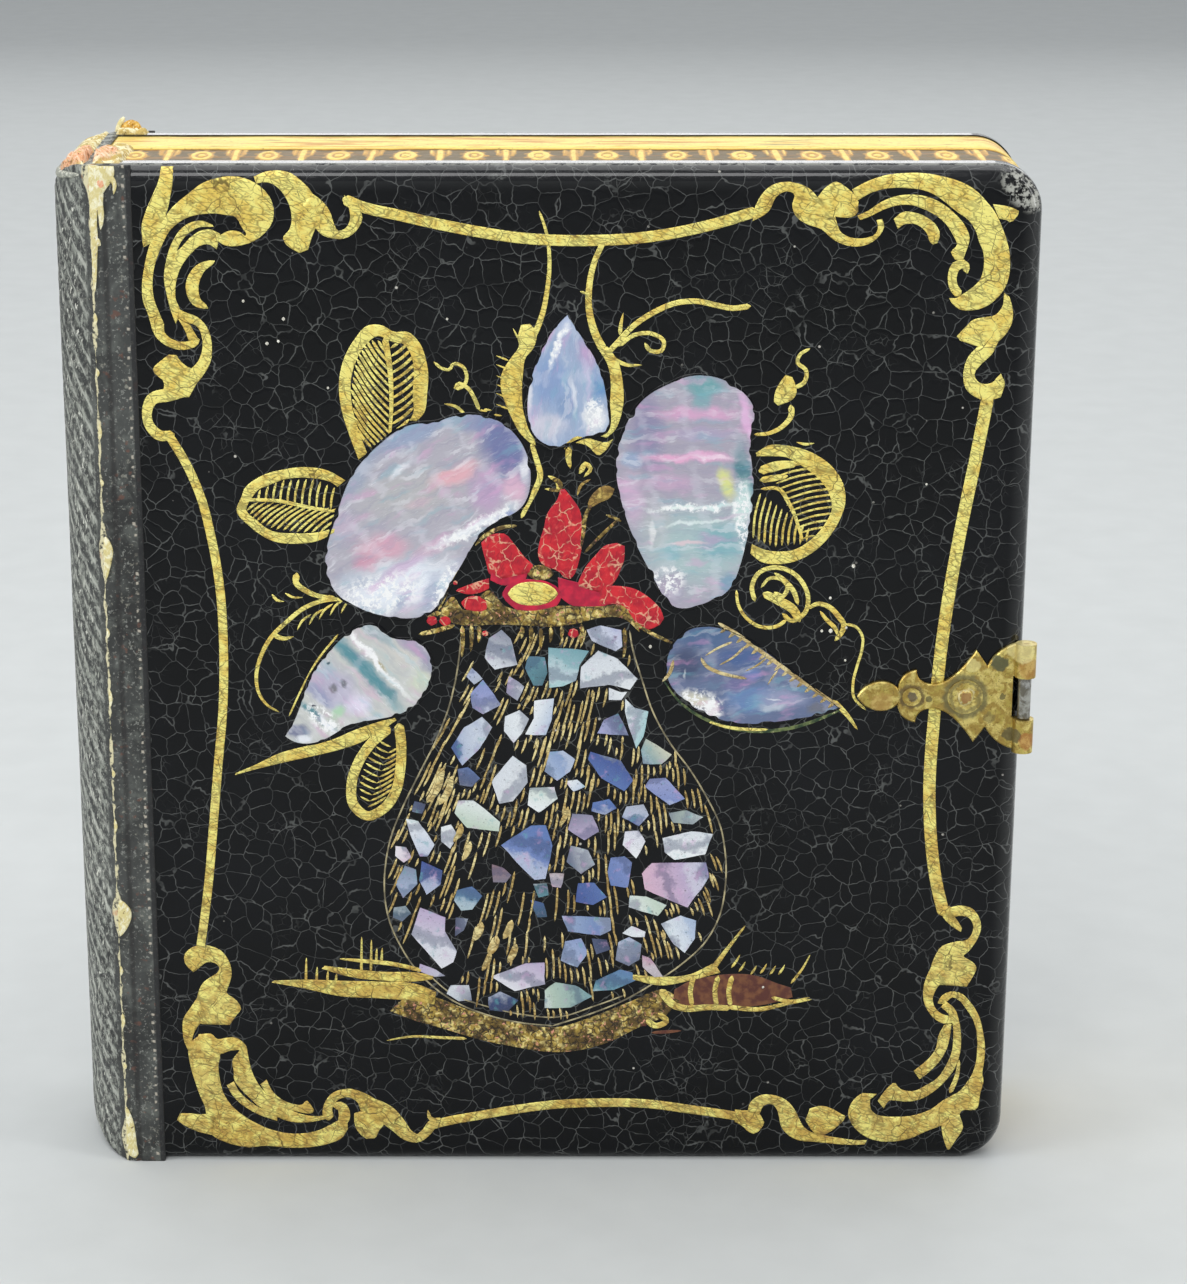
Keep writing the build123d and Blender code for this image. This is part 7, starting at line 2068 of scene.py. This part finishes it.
rivet_left, rivet_right, clasp_z = 73.1, 77.95, 46.6
# Orange spots at x 83.6 on the knuckles are a painted reflection; the pale spots at (82.8, 51.2) and (78.6,
# 49.6) are a painted highlight along the upper edges
clasp_finish = rubbed_brass("clasp_brass", [
    (rivet_right, clasp_z, 1.6, 2.3, (96, 92, 58), 0.8), (rivet_left, clasp_z, 0.8, 1.3, (86, 70, 40), 0.8),
    (81.0, 49.8, 0, 0.9, (82, 86, 58), 0.9), (82.3, 43.1, 0, 0.8, (92, 84, 50), 0.85),
    (83.6, 49.6, 0, 1.1, (176, 112, 52), 0.45), (83.6, 42.6, 0, 0.9, (176, 96, 46), 0.5),
    (82.8, 51.2, 0, 1.3, (246, 236, 170), 0.5), (78.6, 49.6, 0, 0.8, (240, 230, 156), 0.5),
    (74.7, 46.4, 0, 0.35, (84, 80, 44), 0.8), (81.4, 46.6, 0, 0.3, (84, 76, 40), 0.8),
    (80.2, 44.6, 0, 0.6, (110, 100, 56), 0.6), (70.4, 46.0, 0, 1.1, (178, 140, 76), 0.5),
])
rivet_finish = rubbed_brass("rivet_brass", [
    (rivet_right, clasp_z, 0, 0.62, (150, 104, 62), 0.8),
    (rivet_right, clasp_z, 0.7, 0.92, (214, 204, 160), 0.7),
    (rivet_left, clasp_z, 0, 0.5, (104, 96, 82), 0.8),
    (rivet_right, clasp_z, 1.3, 1.7, (112, 104, 62), 0.7),
])
pin_finish = rubbed_brass("pin_brass", [(83.3, clasp_z, 0, 2.4, (96, 90, 80), 0.6)])
dress("clasp_plate", clasp_finish)
dress("clasp_rivets", rivet_finish)
dress("hasp_strap", rubbed_brass("hasp_brass", [(83.6, 48.4, 0, 0.9, (120, 100, 60), 0.6)], 0.4))
dress("hinge_pin", pin_finish)
for name in ("catch_plate", "catch_stud", "catch_pins"):
    dress(name, rivet_finish)
print("brass dressed")

# %% [markdown]
# ## Inside
# In the back half lies the image packet: card, silvered plate, brass mat, glass, a binding of paper
# tape and the thin brass preserver. The plate is bare here, with only the coloured ring of tarnish
# that creeps in from the mat's oval. Rails are pine, and the spine is stiffened with coarse board.

# %% Plate, mat and glass
def oval_way(finish, drawing):
    """1 on the edge of the mat's oval window, less inside it and more outside."""
    return finish.vector("LENGTH", finish.mapped(drawing, (tray_x, 15, tray_z), scale=(25, 1000, 32)),
                         output=1)


def stamped_mat():
    finish = Finish("stamped_brass_mat", Metallic=0.9)
    drawing = finish.drawing()
    way = oval_way(finish, drawing)
    pebble = finish.cells(drawing, 2.3).step(0.05, 0.4)
    burnished = way.step(1.075, 1.06)
    line = (way - 1.1).size().step(0.012, 0.004)
    tone = finish.mix(finish.noise(drawing, 0.5, 4).step(0.35, 0.65), srgb(214, 176, 104),
                      srgb(186, 146, 80))
    tone = finish.mix(burnished, tone, srgb(236, 206, 138))
    tone = finish.mix(finish.noise(drawing, 1.7, 4).step(0.62, 0.75) * 0.5, tone, srgb(110, 84, 50))
    finish.surface(Base_Color=tone, Roughness=0.46 - burnished * 0.26,
                   Normal=finish.bump(pebble * (1 - burnished) - line * 1.5, 0.12 * mm))
    return finish.material


def silvered():
    finish = Finish("silvered_plate", Metallic=1.0)
    drawing = finish.drawing()
    wobble = (finish.noise(drawing, 0.11, 4, 0.6) - 0.5) * 0.16
    way = oval_way(finish, drawing) + wobble
    tone = finish.mix(finish.noise(drawing, 0.15, 4).step(0.3, 0.7), srgb(188, 190, 194),
                      srgb(206, 206, 204))
    for start, end, colour in ((0.72, 0.82, (206, 186, 138)), (0.82, 0.88, (164, 112, 108)),
                               (0.87, 0.92, (98, 96, 150)), (0.92, 0.97, (86, 132, 164)),
                               (0.98, 1.04, (92, 92, 96))):
        tone = finish.mix(way.step(start, end) * 0.85, tone, srgb(*colour))
    speck = finish.cells(drawing, 0.5).step(0.07, 0.04) * finish.noise(drawing, 0.4, 1).step(0.5, 0.56)
    tone = finish.mix(speck * 0.8, tone, srgb(66, 60, 62))
    finish.surface(Base_Color=tone, Roughness=way.step(0.75, 1.0) * 0.2 + finish.noise(drawing, 0.8,
        4) * 0.1 + 0.08)
    return finish.material


def old_glass():
    finish = Finish("clear_glass", Transmission_Weight=1.0, IOR=1.48)
    drawing = finish.drawing()
    smear = finish.noise(drawing, 0.1, 4, 0.6)
    finish.surface(Base_Color=finish.mix(smear.step(0.4, 0.7), srgb(250, 253, 252), srgb(240, 247, 244)),
                   Roughness=smear.step(0.5, 0.8) * 0.06 + 0.01)
    return finish.material


def paper(name, light, dark, fibre_scale, roughness=0.8):
    finish = Finish(name, Specular_IOR_Level=0.25)
    drawing = finish.drawing()
    cloud = finish.noise(drawing, 0.2, 5, 0.6)
    fibre = finish.noise(drawing, fibre_scale, 4, 0.7, 1.2)
    fleck = finish.cells(drawing, 1.0).step(0.1, 0.05)
    tone = finish.mix(cloud.step(0.35, 0.65), srgb(*light), srgb(*dark))
    tone = finish.mix(fibre.step(0.5, 0.7) * 0.35, tone, srgb(*[0.7 * c for c in dark]))
    tone = finish.mix(fleck * 0.5, tone, srgb(70, 52, 36))
    finish.surface(Base_Color=tone, Roughness=fibre * 0.2 + roughness - 0.1,
                   Normal=finish.bump(fibre + cloud * 0.3, 0.08 * mm, 0.7))
    return finish.material


def rail_wood():
    finish = Finish("rail_wood", Specular_IOR_Level=0.3)
    drawing = finish.drawing()
    x_way, _, _ = finish.parts(drawing)
    upright = (x_way - 41.5).size().step(36.0, 36.2)
    lengthways = finish.mix(upright, finish.mapped(drawing, scale=(16, 0.8, 0.8)),
                            finish.mapped(drawing, scale=(0.8, 0.8, 16)))
    grain = finish.noise(lengthways, 1.0, 4, 0.6, 0.4)
    ring = ((grain * 26.0).sine()).step(-0.1, 0.9)
    pore = finish.noise(lengthways, 6.0, 3, 0.7)
    tone = finish.mix(ring, srgb(204, 166, 112), srgb(150, 104, 60))
    tone = finish.mix(pore.step(0.54, 0.66) * 0.6, tone, srgb(98, 66, 38))
    finish.surface(Base_Color=tone, Roughness=pore * 0.2 + 0.55,
                   Normal=finish.bump(ring * 0.6 + pore, 0.06 * mm, 0.7))
    return finish.material


dress("brass_mat", stamped_mat())
dress("daguerreotype_plate", silvered())
dress("packet_tape", paper("tape_paper", (150, 116, 78), (118, 88, 58), 2.2))
for name in ("backing_card", "pad_board"):
    dress(name, paper(name + "_card", (196, 176, 138), (166, 144, 106), 1.6))
wood = rail_wood()
for half in ("lid", "base"):
    for side in ("head", "fore", "tail", "spine"):
        dress(half + "_" + side + "_rail", wood)
dress("spine_core", paper("pulp_core", (186, 120, 78), (150, 92, 58), 1.1, 0.9))
dress("spine_lining", paper("lining_paper", (74, 50, 44), (52, 36, 34), 2.0, 0.75))


def window_pane():
    """A hand-made pane: a closed skin with faint ripples and ground edges, a hair clear of the mat."""
    glass_x, glass_z = plate_width / 2 - 0.04, plate_height / 2 - 0.04
    t = np.concatenate([[-1, -0.997], np.linspace(-0.99, 0.99, 90), [0.997, 1]])
    a, b = np.meshgrid(t, t, indexing="ij")
    ground_edge = 0.25 * np.clip((np.maximum(np.abs(a), np.abs(b)) - 0.99) / 0.01, 0, 1)
    x, z = tray_x + glass_x * a, tray_z + glass_z * b
    front = place(x, 13.22 + 0.015 * waves(x, z, 50, 12, 0.05, 0.25) + ground_edge, z)
    back = place(x, 14.77 - ground_edge, z)
    return shell(back, front)


plate_width, plate_height = 69.85, 82.55
glass_pane = make_piece("glass_pane", *window_pane(), old_glass(), "back_half")
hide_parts("cover_glass")
print("inside dressed")

# %% [markdown]
# The preserver is foil-thin brass, folded over the edges of the packet. Its front is embossed with a
# running leaf between a rope line and a beaded one. The surface runs round the opening, and across
# from the opening's edge out over the fold and down the side of the packet.

# %% Preserver
def preserver_height(along, across):
    """Pressed pattern: 0 low to 1 high, along in millimetres and across from 0 at the opening to 3.4."""
    rope = np.clip(1 - ((across - 0.35) / 0.26) ** 2, 0,
                   1) * (0.6 + 0.4 * np.sin(along * 8.0 + across * 9.0))
    bead = np.sqrt(np.clip(1 - ((along % 0.8 - 0.4) / 0.33) ** 2 - ((across - 3.0) / 0.28) ** 2, 0, 1))
    wave = 1.65 + 0.45 * np.sin(along * math.tau / 4.4)
    stem = np.clip(1 - np.abs(across - wave) / 0.16, 0, 1) * 0.8
    a = (along + 1.1) % 2.2 - 1.1
    flip = np.where((along + 1.1) % 4.4 < 2.2, 1, -1)
    leaf_a, leaf_b = a, across - 1.65 + flip * 0.15
    leaf = np.clip(1 - (leaf_a / 0.78) ** 2 - ((leaf_b - flip * 0.35 * leaf_a) / 0.34) ** 2, 0, 1) ** 0.5
    vein = 1 - 0.4 * np.exp(-(((leaf_b - flip * 0.35 * leaf_a)) / 0.07) ** 2)
    return np.maximum.reduce([rope, bead * 0.8, stem, leaf * vein * 0.9])


def preserver():
    opening = round_rectangle(41.575 - 31.725, 41.575 + 31.725, 47.5 - 38.075, 47.5 + 38.075, 3.2, 330)
    outer = round_rectangle(41.575 - 35.275, 41.575 + 35.275, 47.5 - 41.625, 47.5 + 41.625, 0.35, 330)
    s = np.concatenate([[0], np.cumsum(np.hypot(*np.diff((opening + outer) / 2, axis=0).T))])[:, None]
    share = np.linspace(0, 1, 30)
    flat = opening[:, None] * (1 - share[:, None]) + outer[:, None] * share[:, None]
    height = preserver_height(s, 3.4 * share[None, :])
    fade = np.clip(share / 0.03, 0, 1) * np.clip((1 - share) / 0.06, 0, 1)
    front = place(flat[..., 0], 13.12 - 0.14 * height * fade, flat[..., 1])
    back = place(flat[..., 0], 13.19 + 0 * height, flat[..., 1])
    front, back = front[:, ::-1], back[:, ::-1]
    side = [(13.12, 1.0), (13.6, 1.0), (14.6, 1.0), (15.7, 1.0)]
    fold = np.stack([place(outer[:, 0], depth, outer[:, 1]) for depth, _ in side[1:]][::-1], 1)
    inside_ring = round_rectangle(41.575 - 35.15, 41.575 + 35.15, 47.5 - 41.5, 47.5 + 41.5, 0.3, 330)
    fold_in = np.stack([place(inside_ring[:, 0], max(depth, 13.2), inside_ring[:, 1]) for depth,
                        _ in side[1:]][::-1], 1)
    outside = np.concatenate([fold, front], 1)
    inside_skin = np.concatenate([fold_in, back], 1)
    columns = outside.shape[1]
    ring = np.concatenate([outside, inside_skin[:, ::-1]], 1)
    rows, columns = ring.shape[:2]
    r, c = np.meshgrid(np.arange(rows), np.arange(columns), indexing="ij")
    r2, c2 = (r + 1) % rows, (c + 1) % columns
    faces = np.stack([r * columns + c, r * columns + c2, r2 * columns + c2, r2 * columns + c], -1)
    return ring, faces.reshape(-1, 4).tolist()


def thin_brass():
    finish = Finish("preserver_brass", Metallic=0.95)
    drawing = finish.drawing()
    mottle = finish.noise(drawing, 0.5, 4, 0.6)
    fine = finish.noise(drawing, 5.0, 3)
    tone = finish.mix(mottle.step(0.35, 0.65), srgb(230, 196, 120), srgb(202, 160, 88))
    tone = finish.mix(finish.noise(drawing, 1.6, 4).step(0.6, 0.74) * 0.5, tone, srgb(120, 88, 48))
    finish.surface(Base_Color=tone, Roughness=mottle * 0.2 + 0.2, Normal=finish.bump(fine, 0.03 * mm, 0.5))
    return finish.material


preserver_relief = make_piece("preserver_relief", *preserver(), thin_brass(), "back_half")
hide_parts("brass_preserver")
print("preserver made,", len(preserver_relief.data.polygons), "faces")

# %% Sizes and the end
low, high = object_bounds()
print("visual size in mm", [round(1000 * s, 2) for s in high - low])
